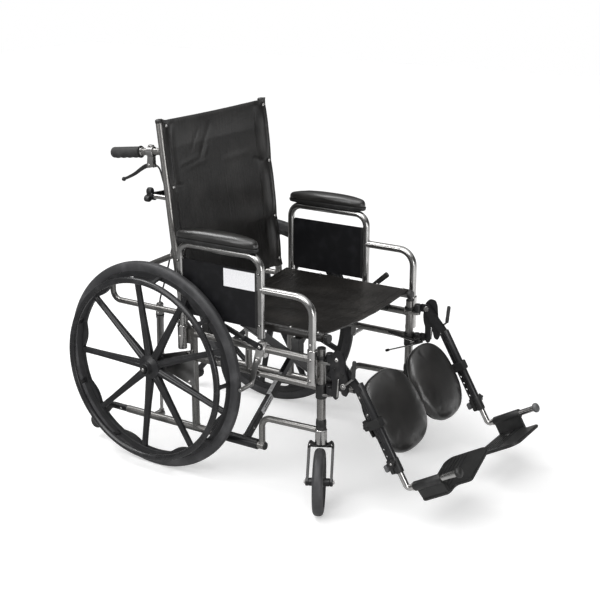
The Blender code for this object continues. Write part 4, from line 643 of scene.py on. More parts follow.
def grown(tree, base, unit, finish, **values):
    """Runs a tree on a base mesh with a unit shell, and returns the result as a plain shell."""
    unit_mesh = bpy.data.meshes.new("unit")
    unit.to_mesh(unit_mesh)
    unit.free()
    unit_object = bpy.data.objects.new("unit", unit_mesh)
    base_object = bpy.data.objects.new("base", base)
    for each in (unit_object, base_object):
        bpy.context.scene.collection.objects.link(each)
    modifier = base_object.modifiers.new("grow", "NODES")
    modifier.node_group = tree
    sockets = {s.name: s.identifier for s in tree.interface.items_tree if s.in_out == "INPUT"}
    for label, value in {"Unit": unit_object, "Finish": finish, **values}.items():
        modifier[sockets[label]] = value
    graph = bpy.context.evaluated_depsgraph_get()
    made = bpy.data.meshes.new_from_object(base_object.evaluated_get(graph))
    base_object.modifiers.remove(modifier)
    shell = bmesh.new()
    shell.from_mesh(made)
    for each in (base_object, unit_object):
        bpy.data.objects.remove(each)
    for each in (made, base, unit_mesh):
        bpy.data.meshes.remove(each)
    return shell


# %% Tree one: copies round an axle
round_tree, here, there = new_tree(
    "round the axle", {"Unit": "Object", "Count": "Int", "Phase": "Float", "Finish": "Material"}
)
unit = tree_node(
    round_tree, "GeometryNodeObjectInfo", {"Object": here.outputs["Unit"], "As Instance": True}
)
spots = tree_node(round_tree, "GeometryNodePoints", {"Count": here.outputs["Count"]})
number = tree_node(round_tree, "GeometryNodeInputIndex", {})
share = tree_node(
    round_tree, "ShaderNodeMath", {0: number.outputs[0], 1: here.outputs["Count"]}, operation="DIVIDE"
)
angle = tree_node(
    round_tree,
    "ShaderNodeMath",
    {0: share.outputs[0], 1: 2 * math.pi, 2: here.outputs["Phase"]},
    operation="MULTIPLY_ADD"
)
facing = tree_node(round_tree, "ShaderNodeCombineXYZ", {"X": angle.outputs[0]})
copies = tree_node(
    round_tree,
    "GeometryNodeInstanceOnPoints",
    {"Points": spots.outputs[0], "Instance": unit.outputs["Geometry"], "Rotation": facing.outputs[0]},
)
finish_tree(round_tree, copies.outputs[0], here, there)


def round_axle(unit_shell, count, phase, finish, centre):
    """Copies of a shell round the X axis, moved to the axle's middle."""
    base = bpy.data.meshes.new("nothing")
    shell = grown(round_tree, base, unit_shell, finish, Count=count, Phase=phase)
    bmesh.ops.translate(shell, verts=shell.verts, vec=Vector(centre))
    return shell


print("tree:", round_tree.name, "with", len(round_tree.nodes), "nodes")

# %% Tree two: screws on points that carry a direction
screw_tree, here, there = new_tree(
    "screws on points", {"Unit": "Object", "Size": "Float", "Finish": "Material"}
)
unit = tree_node(
    screw_tree, "GeometryNodeObjectInfo", {"Object": here.outputs["Unit"], "As Instance": True}
)
aim = tree_node(screw_tree, "GeometryNodeInputNamedAttribute", {"Name": "aim"}, data_type="FLOAT_VECTOR")
facing = tree_node(
    screw_tree, "FunctionNodeAlignRotationToVector", {"Vector": aim.outputs["Attribute"]}, axis="Z"
)
copies = tree_node(
    screw_tree,
    "GeometryNodeInstanceOnPoints",
    {
        "Points": here.outputs["Geometry"],
        "Instance": unit.outputs["Geometry"],
        "Rotation": facing.outputs[0],
        "Scale": here.outputs["Size"],
    },
)
finish_tree(screw_tree, copies.outputs[0], here, there)


def aimed_points(spots):
    """A mesh of loose points, each with the direction that its screw faces."""
    mesh = bpy.data.meshes.new("spots")
    mesh.from_pydata([tuple(at) for at, _ in spots], [], [])
    directions = mesh.attributes.new("aim", "FLOAT_VECTOR", "POINT")
    directions.data.foreach_set("vector", [value for _, towards in spots for value in towards])
    return mesh


def star_knob(at, outward, ways, stations, points, depth, corners):
    """A knob with rounded points: (distance outward, radius) at each station, across two ways."""
    rings = []
    for distance, radius in stations:
        middle = at + outward * distance
        reaches = [radius * (1 - depth + depth * math.cos(points * a)) for a in ring_angles(corners)]
        ring = zip(reaches, ring_angles(corners))
        rings.append(
            [middle + ways[0] * reach * math.cos(a) + ways[1] * reach * math.sin(a) for reach, a in ring]
        )
    return loft(rings)


def dome_head():
    """A domed screw head of 1 mm radius with a cross recess, standing on its own +Z."""
    profile = [
        (1.0, -0.4), (1.0, 0.12), (0.9, 0.36), (0.66, 0.56), (0.34, 0.66), (0.20, 0.67), (0.12, 0.50),
        (0.02, 0.46),
    ]
    return turned(profile, Matrix(), 20)


def hex_head():
    """A hexagonal bolt head of 1 mm radius on a washer."""
    washer = turned([(1.25, -0.2), (1.25, 0.06), (1.15, 0.14), (0.02, 0.14)], Matrix(), 24)
    corners = round_outline((0, 0), 1.0, 6)
    joined = bpy.data.meshes.new("hex")
    plate(corners, 0.1, 0.75, Matrix(), 0.12).to_mesh(joined)
    washer.from_mesh(joined)
    bpy.data.meshes.remove(joined)
    return washer


def screws(radius, finish, *spots, head=dome_head):
    """Screw heads of this radius in metres at (place, direction) pairs."""
    return grown(screw_tree, aimed_points(spots), head(), finish, Size=radius)


print("tree:", screw_tree.name, "with", len(screw_tree.nodes), "nodes")

# %% Tree three: stitches along a seam
seam_tree, here, there = new_tree(
    "stitches on a seam", {"Unit": "Object", "Pitch": "Float", "Finish": "Material"}
)
unit = tree_node(
    seam_tree, "GeometryNodeObjectInfo", {"Object": here.outputs["Unit"], "As Instance": True}
)
line = tree_node(seam_tree, "GeometryNodeMeshToCurve", {"Mesh": here.outputs["Geometry"]})
even = tree_node(
    seam_tree,
    "GeometryNodeResampleCurve",
    {"Curve": line.outputs[0], "Length": here.outputs["Pitch"]},
    mode="LENGTH"
)
along = tree_node(seam_tree, "GeometryNodeInputTangent", {})
facing = tree_node(seam_tree, "FunctionNodeAlignRotationToVector", {"Vector": along.outputs[0]}, axis="X")
copies = tree_node(
    seam_tree,
    "GeometryNodeInstanceOnPoints",
    {"Points": even.outputs[0], "Instance": unit.outputs["Geometry"], "Rotation": facing.outputs[0]},
)
finish_tree(seam_tree, copies.outputs[0], here, there)


def stitch(length, thickness):
    """One stitch along X: a short thread that dips at both ends."""
    stations = ((-0.5, 0.25), (-0.3, 0.9), (0.0, 1.0), (0.3, 0.9), (0.5, 0.25))
    angles = ring_angles(6)
    rings = []
    for share_along, wide in stations:
        radius = thickness / 2 * wide
        rings.append(
            [Vector((share_along * length, radius * math.cos(a), radius * math.sin(a))) for a in angles]
        )
    return loft(rings)


def seam(path, pitch, finish, thickness=0.0007):
    """Stitches at this pitch along a path of points."""
    mesh = bpy.data.meshes.new("line")
    mesh.from_pydata([tuple(point) for point in path], [(i, i + 1) for i in range(len(path) - 1)], [])
    return grown(seam_tree, mesh, stitch(0.7 * pitch, thickness), finish, Pitch=pitch)


print("tree:", seam_tree.name, "with", len(seam_tree.nodes), "nodes")

# %% [markdown]
# A recline cable runs from each hand lever's barrel, down the inside of the back post, to the valve on
# the gas spring's head. It is a thin sheathed cable, so it is a tube along one smooth curve. Its route
# keeps to the solid's points.


# %% Recline cables
CABLE_ROUTE = (
    (0.243, 0.0108, 0.869), (0.243, 0.007, 0.869), (0.240, 0.000, 0.858), (0.235, -0.006, 0.825),
    (0.2295, -0.014, 0.785), (0.229, -0.026, 0.720), (0.229, -0.028, 0.660), (0.2275, -0.012, 0.600),
    (0.224, 0.012, 0.530), (0.218, 0.032, 0.485), (0.218, 0.037, 0.4658),
)


def cable_finish():
    finish = Finish("cable_sheath", (0.030, 0.030, 0.031), 0.36)
    dust = finish.noise(90, 3.0)
    finish.surface(
        finish.mixed(dust.above(0.4, 0.7), (0.022, 0.022, 0.023), (0.05, 0.05, 0.05)), 0.3 + 0.2 * dust
    )
    finish.bumps(finish.noise(900, 1.0), 0.2, 0.00005)
    return finish.material


SHEATH = cable_finish()


def recline_cable(side):
    path = smooth_path(CABLE_ROUTE, 8)
    cable = Piece("lever_cable", side, "back", "cable")
    cable.add(SHEATH, tube(path, 0.0024, sides=14, chamfer=0.0003))
    made = cable.place("recline_cable")
    world = [Vector((side * p.x, p.y, p.z)) + HUB for p in path]
    length = sum((b - a).length for a, b in zip(world, world[1:]))
    return length


print("cable lengths:", [round(recline_cable(side), 3) for side in (1, -1)])

# %% [markdown]
# The rear wheel is one moulding: a channel rim, nine spokes that taper outwards with a raised rib along
# their middle, and a hub that thickens over its bearings. A channel profile turned about the axle makes
# the rim, a flat web inside it swells inwards under each tab of the hand ring, and one spoke is lofted
# and set out nine times, dished towards the hub. The tyre is a solid rubber ring with two shallow
# grooves.

# %% Rear wheels
WHEEL_X, HUB_Z = 0.303, 0.305
SPOKES, SPOKE_PHASE, SPOKE_END, SPOKE_DISH = 9, math.radians(19.5), 0.2665, 0.009
SPOKE_STEP = 2 * math.pi / SPOKES
LOBE_HALF, LOBE_DEEP = math.radians(11.5), 0.0145
TAB_PHASE = math.pi / 2 + SPOKE_PHASE + SPOKE_STEP / 2
AXLE = Vector((WHEEL_X, 0, HUB_Z))
axle_frame = Matrix.Translation(AXLE) @ ALONG_X


def spoke():
    """A spoke up +Z from the hub, broad across the wheel at its foot, with a rib on its outer face."""
    rings = []
    for distance, wide, thick, rib in (
        (0.022, 0.0118, 0.0105, 0.0030),
        (0.060, 0.0108, 0.0095, 0.0028),
        (0.120, 0.0094, 0.0080, 0.0024),
        (0.200, 0.0082, 0.0066, 0.0020),
        (0.254, 0.0084, 0.0062, 0.0012),
        (SPOKE_END, 0.0100, 0.0064, 0.0006),
    ):
        half = [
            (wide * 0.86, -thick), (wide, -thick * 0.75), (wide, thick * 0.55),
            (wide * 0.72, thick * 0.80), (wide * 0.34, thick * 0.84), (wide * 0.20, thick * 0.84 + rib),
        ]
        ring = half + [(-u, v) for u, v in reversed(half)]
        dish = SPOKE_DISH * (1 - distance / SPOKE_END)
        rings.append([Vector((v + dish, u, distance)) for u, v in ring])
    return softened(loft(rings), 0.0006, 1)


def ringed(inside, outside, near, far):
    """A flat ring between two outlines in (y, z), from one x to another."""
    shell = bmesh.new()
    rows = [
        [shell.verts.new((x, y, z)) for y, z in line]
        for line, x in ((inside, near), (inside, far), (outside, far), (outside, near))
    ]
    count = len(inside)
    for row, after in zip(rows, rows[1:] + rows[:1]):
        for k in range(count):
            shell.faces.new((row[k], row[(k + 1) % count], after[(k + 1) % count], after[k]))
    bmesh.ops.recalc_face_normals(shell, faces=shell.faces)
    return shell


def rear_wheel(side):
    outer, inner = 0.2787, 0.2617
    rim = [
        (inner + 0.0010, 0.0078), (inner, 0.0060), (inner, -0.0060), (inner + 0.0010, -0.0078),
        (inner + 0.0050, -0.0090), (outer - 0.0015, -0.0100), (outer, -0.0094),
        (outer, 0.0094), (outer - 0.0015, 0.0100), (inner + 0.0050, 0.0090),
    ]
    hub = [
        (0.0062, -0.0290), (0.0240, -0.0290), (0.0288, -0.0270), (0.0310, -0.0180), (0.0350, -0.0125),
        (0.0360, -0.0095), (0.0360, 0.0150), (0.0345, 0.0190), (0.0260, 0.0220), (0.0190, 0.0260),
        (0.0166, 0.0330), (0.0160, 0.0392), (0.0148, 0.0400), (0.0125, 0.0398), (0.0118, 0.0380),
        (0.0062, 0.0378),
    ]
    inside, outside = [], []
    for a in ring_angles(360):
        off = abs((a - TAB_PHASE + SPOKE_STEP / 2) % SPOKE_STEP - SPOKE_STEP / 2)
        swell = max(0.0, 1 - (off / LOBE_HALF) ** 2) ** 1.5
        radius = inner + 0.0030 - LOBE_DEEP * swell
        inside.append((radius * math.cos(a), HUB_Z + radius * math.sin(a)))
        outside.append(((inner + 0.0060) * math.cos(a), HUB_Z + (inner + 0.0060) * math.sin(a)))
    web = ringed(inside, outside, WHEEL_X - 0.0060, WHEEL_X + 0.0060)
    wheel = Piece("rear_wheel", side, "wheel", "black_plastic")
    wheel.add(WHEEL_PLASTIC, web)
    wheel.add(
        WHEEL_PLASTIC, turned(rim, axle_frame, 128, closed=True), turned(hub, axle_frame, 64, closed=True)
    )
    wheel.add(WHEEL_PLASTIC, round_axle(spoke(), SPOKES, math.pi / 2 + SPOKE_PHASE, WHEEL_PLASTIC, AXLE))
    return wheel.place("wheel")


def rear_tyre(side):
    inner, outer = 0.2790, 0.3050
    half = [
        (inner, 0.0100), (inner + 0.0025, 0.0108), (inner + 0.0080, 0.0118), (inner + 0.0150, 0.0120),
        (inner + 0.0200, 0.0108), (inner + 0.0235, 0.0084), (inner + 0.0238, 0.0078),
        (inner + 0.0232, 0.0070), (inner + 0.0252, 0.0060), (outer, 0.0030),
    ]
    tyre = Piece("rear_tyre", side, "wheel", "tyre")
    tyre.add(TYRE, turned(both_halves(half, (outer, 0.0)), axle_frame, 160, closed=True))
    return tyre.place("tyre")


def handrim_tab():
    """A moulded tab up +Z that stands out from the rim to the hand ring, with its screw boss."""
    rings = []
    for x, distance, wide, thick in (
        (0.0102, 0.2720, 0.0085, 0.0042), (0.0180, 0.2712, 0.0062, 0.0036),
        (0.0330, 0.2670, 0.0056, 0.0034), (0.0430, 0.2630, 0.0075, 0.0046),
    ):
        corners = ((-1, -1), (1, -1), (1, 1), (-1, 1))
        rings.append([Vector((x, u * wide, distance + v * thick)) for u, v in corners])
    return softened(loft(rings), 0.0012)


def push_ring(side):
    angles = ring_angles(24)
    ring = [(0.262 + 0.009 * math.cos(a), 0.049 + 0.009 * math.sin(a)) for a in angles]
    hoop = Piece("push_ring", side, "wheel", "black_plastic")
    hoop.add(RIM_COAT, turned(ring, axle_frame, 160, closed=True))
    hoop.add(WHEEL_PLASTIC, round_axle(handrim_tab(), SPOKES, TAB_PHASE, WHEEL_PLASTIC, AXLE))
    return hoop.place("handrim")


both_sides(rear_wheel, rear_tyre, push_ring)

# %% [markdown]
# Each side frame is one weldment of bright tube: rails, posts, a bent knee tube, sockets for the armrest
# and the plain housing of the caster. Tubes are swept, and each joint gets a bead of weld, a thin ring
# where one tube meets another, because a bare crossing of two cylinders looks drawn and not made.

# %% Side frames
FRAME_X, ARM_X, SEAT_X = 0.2475, 0.279, 0.231
RAIL, THIN, POST = 0.011, 0.0095, 0.012
REAR_POST_Y, SHORT_POST_Y, FRONT_POST_Y = -0.107, -0.297, -0.530
LOWER_Z, MIDDLE_Z, UPPER_Z, SEAT_Z = 0.118, 0.333, 0.407, 0.466
CASTER_R, CASTER_TRAIL, CASTER_YAW = 0.090, 0.068, math.radians(-62.0)
CROWN_Z, CROWN_TOP = 0.1640, 0.1710
FORK_HALF, FORK_WALL = 0.0355, 0.0065
HOUSING_Z, HOUSING_TOP = 0.1718, 0.2138
SOCKETS = ((-0.091, 0.368, 0.438), (-0.521, 0.350, 0.447))
KNEE_Y, KNEE_TOP, HANGER_Y, HOOK_ZS = -0.347, 0.209, -0.556, (0.3135, 0.4035)
HINGE_AT, AXLE_AT = (-0.070, 0.440), (0, HUB_Z)


def weld(at, along, radius, bead=0.0016):
    """A bead of weld round a tube of this radius, at a point, about a direction."""
    angles = ring_angles(8)
    ring = [(radius + bead * math.cos(a), bead * math.sin(a)) for a in angles]
    return turned(ring, aimed(at, along), 32, closed=True)


def upright(x, y, profile, sides=40, closed=False):
    """A profile of (radius, height) turned about a vertical line."""
    return turned(profile, Matrix.Translation((x, y, 0)), sides, closed)


def end_plug(at, along, radius):
    """A moulded plug in the end of a tube: a flange with a domed face."""
    profile = [
        (radius, -0.001), (radius, 0.0012), (radius * 0.93, 0.0024), (radius * 0.6, 0.0034),
        (0.0004, 0.0037),
    ]
    return turned(profile, aimed(at, along), 32)


def frame_tubes():
    """The weldment's tubes, from the lower rail up to the bent knee tube."""
    x, rear, front, knee = FRAME_X, REAR_POST_Y, FRONT_POST_Y, KNEE_Y + THIN
    return [
        tube([(x, 0.150, LOWER_Z), (x, KNEE_Y, LOWER_Z)], RAIL, sides=28),
        tube([(x, rear, UPPER_Z), (x, front, UPPER_Z)], RAIL, sides=28),
        tube([(x, rear, MIDDLE_Z), (x, front, MIDDLE_Z)], THIN, sides=24),
        tube([(x, rear, LOWER_Z), (x, rear, UPPER_Z + 0.016)], RAIL, sides=28),
        tube([(x, SHORT_POST_Y, MIDDLE_Z), (x, SHORT_POST_Y, UPPER_Z)], THIN - 0.001, sides=24),
        tube([(x, front, HOUSING_TOP), (x, front, 0.4445)], POST, sides=32),
        tube(
            [(x, knee, LOWER_Z), (x, knee, 0.203), (x, front, KNEE_TOP)], THIN - 0.0005, 0.028, sides=24
        ),
    ]


def frame_welds():
    """A bead of weld where each tube of the weldment meets another."""
    x, upwards, rearwards = FRAME_X, (0, 0, 1), (0, 1, 0)
    rear_zs = (LOWER_Z + RAIL, MIDDLE_Z - THIN, MIDDLE_Z + THIN, UPPER_Z - RAIL)
    short_zs = (MIDDLE_Z + THIN - 0.001, UPPER_Z - RAIL + 0.001)
    front_rows = ((UPPER_Z, RAIL), (MIDDLE_Z, THIN), (KNEE_TOP, THIN - 0.0005))
    beads = [((x, REAR_POST_Y, z), upwards, RAIL - 0.0004) for z in rear_zs]
    beads += [((x, SHORT_POST_Y, z), upwards, THIN - 0.0012) for z in short_zs]
    beads += [((x, FRONT_POST_Y + POST - 0.0005, z), rearwards, r - 0.0002) for z, r in front_rows]
    beads += [((x, KNEE_Y + THIN, LOWER_Z + RAIL - 0.0008), upwards, THIN - 0.0008)]
    return [weld(*bead) for bead in beads]


def socket_ears():
    """The blocks between the posts and the armrest's sockets: (y, depth, z, height)."""
    rows = (
        (REAR_POST_Y - 0.003, 0.017, 0.380, 0.044),
        (FRONT_POST_Y, 0.015, 0.352, 0.013),
        (FRONT_POST_Y, 0.015, 0.395, 0.015),
    )
    reach = ARM_X - THIN - 0.001
    return [box((FRAME_X, y, z), (reach, y + deep, z + high), soft=0.0012) for y, deep, z, high in rows]


def dress_front_post(frame):
    """The caster's housing, the boot over it, the clamp rings and the hanger's two hooks."""
    x, y = FRAME_X, FRONT_POST_Y
    housing = [(0.0150, HOUSING_Z), (0.0162, HOUSING_Z + 0.0012), (0.0160, HOUSING_TOP - 0.005)]
    lip = [
        (r, HOUSING_TOP + z)
        for r, z in ((0.0150, -0.005), (0.0164, -0.004), (0.0164, -0.001), (0.0152, 0))
    ]
    boot_rows = (
        (0.0136, -0.001), (0.0145, 0.001), (0.0145, 0.006), (0.0137, 0.0075), (0.0137, 0.0105),
        (0.0144, 0.012), (0.0144, 0.020), (0.0138, 0.026), (0.0126, 0.0295), (0.0122, 0.030),
    )
    boot = [(r, HOUSING_TOP + z) for r, z in boot_rows]
    frame.add(PLATED, upright(x, y, housing), upright(x, y, lip))
    frame.add(BLACK_PLASTIC, upright(x, y, boot))
    inner, middle, outer = POST - 0.0002, POST + 0.0026, POST + 0.0032
    for low, high in ((0.304, 0.344), (0.414, 0.424)):
        ring = [
            (inner, low), (middle, low), (outer, low + 0.001), (outer, high - 0.001), (middle, high),
            (inner, high),
        ]
        frame.add(BLACK_PLASTIC, upright(x, y, ring, closed=True))
    for z in HOOK_ZS:
        hook = hull([(x, y, 0.0130), (x, HANGER_Y, 0.0085)])
        frame.add(ZINC, plate(hook, z, z + 0.007, Matrix(), 0.001))
        frame.add(PLATED, tube([(x, HANGER_Y, z + 0.001), (x, HANGER_Y, z + 0.024)], 0.0041, sides=20))


def dress_rails(frame):
    """The armrest's sockets and the cradles that the seat's rails drop into."""
    inner, outer, lip = 0.0108, 0.0130, 0.0134
    for y, low, high in SOCKETS:
        socket = [
            (inner, low), (outer - 0.0006, low), (outer, low + 0.001), (outer, high - 0.006),
            (lip, high - 0.005), (lip, high - 0.001), (outer - 0.0003, high), (inner, high),
        ]
        frame.add(PLATED, upright(ARM_X, y, socket, closed=True))
    rows = (
        (0.411, -0.021), (0.403, -0.012), (0.411, 0.002), (0.452, 0.005), (0.4552, 0.003),
        (0.4552, -0.019), (0.452, -0.021),
    )
    cradle = [(z, FRAME_X + out) for z, out in rows]
    for y in (-0.150, -0.450):
        frame.add(BLACK_PLASTIC, plate(cradle, y - 0.012, y + 0.012, ALONG_Y, 0.001))


def dress_axle(frame):
    """The plates for the back's hinge, the rear axle and the gas spring, with their pins and bolts."""
    x, rear = FRAME_X, REAR_POST_Y
    hinge_plate = hull(
        [(rear, UPPER_Z - 0.012, 0.008), (rear, UPPER_Z + 0.012, 0.008), (*HINGE_AT, 0.016)]
    )
    axle_plate = hull([(rear, 0.349, 0.009), (rear, 0.261, 0.009), (*AXLE_AT, 0.02)])
    frame.add(
        ZINC,
        plate(hinge_plate, 0.2548, 0.2588),
        plate(axle_plate, x + 0.010, x + 0.017),
        plate(hull([(0.045, LOWER_Z, 0.012)]), 0.2246, x),
    )
    frame.add(
        PLATED,
        pin(HINGE_AT, 0.2305, 0.2558, 0.0049),
        pin(AXLE_AT, x + 0.011, 0.3450, 0.0059, 28),
        pin(AXLE_AT, 0.3485, 0.3510, 0.0050),
    )
    frame.screw(
        0.0075, ((0.2588, *HINGE_AT), (1, 0, 0)), ((0.2312, *HINGE_AT), (-1, 0, 0)), head=hex_head
    )
    socket_bolts = ((-0.091, 0.405), (-0.521, 0.420), (-0.521, 0.362))
    frame.screw(0.0040, *(((ARM_X + 0.0124, y, z), (1, 0, 0)) for y, z in socket_bolts), head=hex_head)
    frame.screw(0.0042, *(((x + 0.017, -0.098, z), (1, 0, 0)) for z in (0.349, 0.261)), head=hex_head)
    turned_by = [math.pi * k / 3 + 0.3 for k in range(6)]
    nut = [(0.0108 * math.cos(a), HUB_Z + 0.0108 * math.sin(a)) for a in turned_by]
    frame.add(BLACK_PLASTIC, plate(nut, 0.3400, 0.3490, soft=0.0012))


def side_weldment(side):
    frame = Piece("side_weldment", side, "frame", "frame_steel")
    frame.add(SILVER, *frame_tubes(), *frame_welds(), *socket_ears())
    dress_front_post(frame)
    dress_rails(frame)
    dress_axle(frame)
    frame.add(
        BLACK_PLASTIC,
        end_plug((FRAME_X, KNEE_Y, LOWER_Z), (0, -1, 0), 0.0112),
        end_plug((FRAME_X, REAR_POST_Y, UPPER_Z + 0.016), (0, 0, 1), 0.0112),
        end_plug((FRAME_X, FRONT_POST_Y, 0.4432), (0, 0, 1), 0.0120),
    )
    return frame.place("side_frame")


both_sides(side_weldment)

# %% [markdown]
# The cross frame is a pair of oblong black tubes on one pin. Each has a sleeve that turns on a lower rail
# and carries the other side's seat rail. Two labels lie on the front arm's lower half, one over its front
# face and one on its upper face. They are plain pale films here, a fraction of a millimetre thick.


# %% Cross arms
def sticker_strip():
    finish = Finish("pale_film", (0.60, 0.60, 0.61), 0.28, 0.35)
    streak = finish.noise(60, 3.0, stretch=(1.0, 1.0, 4.0))
    finish.surface(
        finish.mixed(streak.above(0.42, 0.62), (0.50, 0.50, 0.51), (0.74, 0.74, 0.75)),
        0.22 + 0.2 * streak,
    )
    finish.bumps(streak, 0.3, 0.0002)
    return finish.material


FILM = sticker_strip()
ARM_Y, ARM_WIDTH, ARM_DEPTH, ARM_GAP, RAIL_END_Y = -0.270, 0.024, 0.0145, 0.0015, -0.534


def cross_arm(name, node, body, layer, mirrored):
    """One arm, layer 1 behind or -1 in front, drawn with its sleeve on the left, mirrored where asked."""
    y = ARM_Y + layer * (ARM_DEPTH + ARM_GAP) / 2
    low, high = Vector((FRAME_X, y, LOWER_Z)), Vector((-SEAT_X, y, SEAT_Z))
    along = (high - low).normalized()
    across = Vector((0, 1, 0)).cross(along)
    ways = Matrix([[v[row] for v in (across, Vector((0, 1, 0)), along)] for row in range(3)]).to_4x4()
    to = Matrix.Translation(low) @ ways
    length = (high - low).length
    arm = Piece(name, 0, body, "black_steel")
    arm.side = -1 if mirrored else 0
    half_wide, half_deep = ARM_WIDTH / 2, ARM_DEPTH / 2
    beam = box(
        (-half_wide, -half_deep, 0.004), (half_wide, half_deep, length - 0.004), to, soft=0.0022,
        segments=3,
    )
    sleeve = [(FRAME_X, -0.200, LOWER_Z), (FRAME_X, -0.325, LOWER_Z)]
    arm.add(ENAMEL, beam, tube(sleeve, 0.0148, sides=32, chamfer=0.0012))
    arm.add(
        ENAMEL,
        weld(low + along * 0.0148, along, 0.0115, 0.0018),
        weld(high - along * 0.0108, along, 0.0115, 0.0018),
    )
    arm.add(SILVER, tube([(-SEAT_X, -0.100, SEAT_Z), (-SEAT_X, RAIL_END_Y, SEAT_Z)], RAIL, sides=28))
    knurl = round_outline((SEAT_Z, -SEAT_X), 0.0128, 36, 0.0007)
    cap = [(0.0128, 0.0), (0.0118, 0.0012), (0.006, 0.0019), (0.0004, 0.002)]
    cap_y = RAIL_END_Y - 0.010
    arm.add(BLACK_PLASTIC, plate(knurl, cap_y, RAIL_END_Y + 0.0005, ALONG_Y, 0))
    arm.add(BLACK_PLASTIC, turned(cap, aimed((-SEAT_X, cap_y, SEAT_Z), (0, -1, 0)), 36))
    share = FRAME_X / (FRAME_X + SEAT_X)
    centre_z = LOWER_Z + share * (SEAT_Z - LOWER_Z)
    if layer < 0:
        front, side = -half_deep, half_wide
        arm.add(
            FILM,
            box((-0.0105, front - 0.0003, 0.098), (0.0105, front + 0.001, 0.160), to, soft=0),
            box((side - 0.001, -0.0062, 0.155), (side + 0.0003, 0.0062, 0.234), to, soft=0),
        )
        slots = [
            box((u, front - 0.0004, start), (u + 0.0035, front, start + 0.040), to, soft=0)
            for u, start in ((-0.0062, 0.106), (0.0022, 0.114))
        ]
        arm.add(BLACK_PLASTIC, *slots)
        arm.add(PLATED, pin((ARM_Y, centre_z), -0.003, 0.003, 0.004))
    else:
        bolt = [(0, ARM_Y + 0.0175, centre_z), (0, ARM_Y - 0.0175, centre_z)]
        arm.add(PLATED, tube(bolt, 0.0059, sides=24))
        arm.screw(
            0.0082,
            ((0, ARM_Y - 0.0160, centre_z), (0, -1, 0)),
            ((0, ARM_Y + 0.0155, centre_z), (0, 1, 0)),
            head=hex_head,
        )
    spots = [low + along * d + Vector((0, layer * half_deep, 0)) for d in (0.045, length - 0.05)]
    arm.screw(0.0030, *((spot, (0, layer, 0)) for spot in spots))
    made = arm.object()
    made.name = name
    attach(made, body)
    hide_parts(node)
    return made


made = [
    cross_arm("front_arm", "cross_arm_a", "front_cross_arm", -1, True),
    cross_arm("rear_arm", "cross_arm_b", "rear_cross_arm", 1, False),
]
print([f"{each.name}: {len(each.data.polygons)} faces" for each in made])

# %% [markdown]
# The seat and the back are single sheets of black vinyl over a woven backing. They are made as two skins
# a few millimetres apart, with the pull of the screws, the sag and the small creases in the mesh itself.
# The leather print and the finest creases, below a millimetre, are bump.


# %% Vinyl
def vinyl(name, creases, crease_scale, tint=(0.0135, 0.0128, 0.0122), lacquer=0.0):
    """Black vinyl with its leather print, and creases that run as the stretch makes them."""
    finish = Finish(name, tint, 0.34)
    grain = finish.cells(1400)
    pores = finish.noise(900, 2.0)
    crease = finish.noise(crease_scale, 5.0, stretch=creases, rough=0.62)
    cloud = finish.noise(9, 3.0)
    worn = finish.mixed(cloud.above(0.42, 0.75), shade(0.75, tint), shade(1.9, tint))
    finish.surface(worn, 0.24 + 0.12 * cloud + 0.10 * crease)
    finish.set(finish.shader, {"Coat Weight": lacquer, "Coat Roughness": 0.30})
    height = 0.25 * grain + 0.2 * pores + 1.6 * crease
    finish.bumps(height, 0.45, 0.0009)
    return finish.material


BACK_VINYL = vinyl("back_vinyl", (5.0, 1.0, 0.45), 26)
SEAT_VINYL = vinyl("seat_vinyl", (0.5, 3.0, 1.0), 24, (0.0155, 0.0140, 0.0125))
PAD_VINYL = vinyl("pad_vinyl", (1.0, 1.0, 1.0), 14, lacquer=0.8)
THREAD = moulded("black_thread", (0.020, 0.020, 0.020), 0.55, 2500, 0.0001)
CLOTH, STITCH_PITCH = 0.0030, 0.0055


def two_skins(front, rear):
    """A sheet between two grids of points, closed round its edge."""
    shell = bmesh.new()
    skins = [[[shell.verts.new(p) for p in row] for row in grid] for grid in (front, rear)]
    rows, columns = len(front), len(front[0])
    for skin, turn in zip(skins, (1, -1)):
        for i in range(rows - 1):
            for j in range(columns - 1):
                quad = (skin[i][j], skin[i][j + 1], skin[i + 1][j + 1], skin[i + 1][j])
                shell.faces.new(quad[::turn])
    edge = [(0, j) for j in range(columns)] + [(i, columns - 1) for i in range(1, rows)]
    edge += [(rows - 1, j) for j in range(columns - 2, -1, -1)] + [(i, 0) for i in range(rows - 2, 0, -1)]
    for (i, j), (k, m) in zip(edge, edge[1:] + edge[:1]):
        shell.faces.new((skins[0][k][m], skins[0][i][j], skins[1][i][j], skins[1][k][m]))
    bmesh.ops.recalc_face_normals(shell, faces=shell.faces)
    return shell


def waves(seed, count, low, high):
    """Seeded ripples: (frequency, phase, height) of sines that add to an uneven crease."""
    random = Random(seed)
    return [
        (random.uniform(low, high), random.uniform(0, 2 * math.pi), random.uniform(0.4, 1.0))
        for _ in range(count)
    ]


def ripple(value, set_of_waves):
    return sum(h * math.sin(f * value + p) for f, p, h in set_of_waves) / len(set_of_waves)


def ridge(point, start, end, width):
    """1 on a line between two points, falling away to its sides, fading at its ends."""
    (px, pz), (ax, az), (bx, bz) = point, start, end
    length2 = (bx - ax) ** 2 + (bz - az) ** 2
    share = max(0.0, min(1.0, ((px - ax) * (bx - ax) + (pz - az) * (bz - az)) / length2))
    away = math.hypot(px - ax - share * (bx - ax), pz - az - share * (bz - az))
    return math.exp(-((away / width) ** 2)) * math.sin(math.pi * min(1.0, max(0.0, share))) ** 0.5


print("vinyl:", BACK_VINYL.name, SEAT_VINYL.name, PAD_VINYL.name)

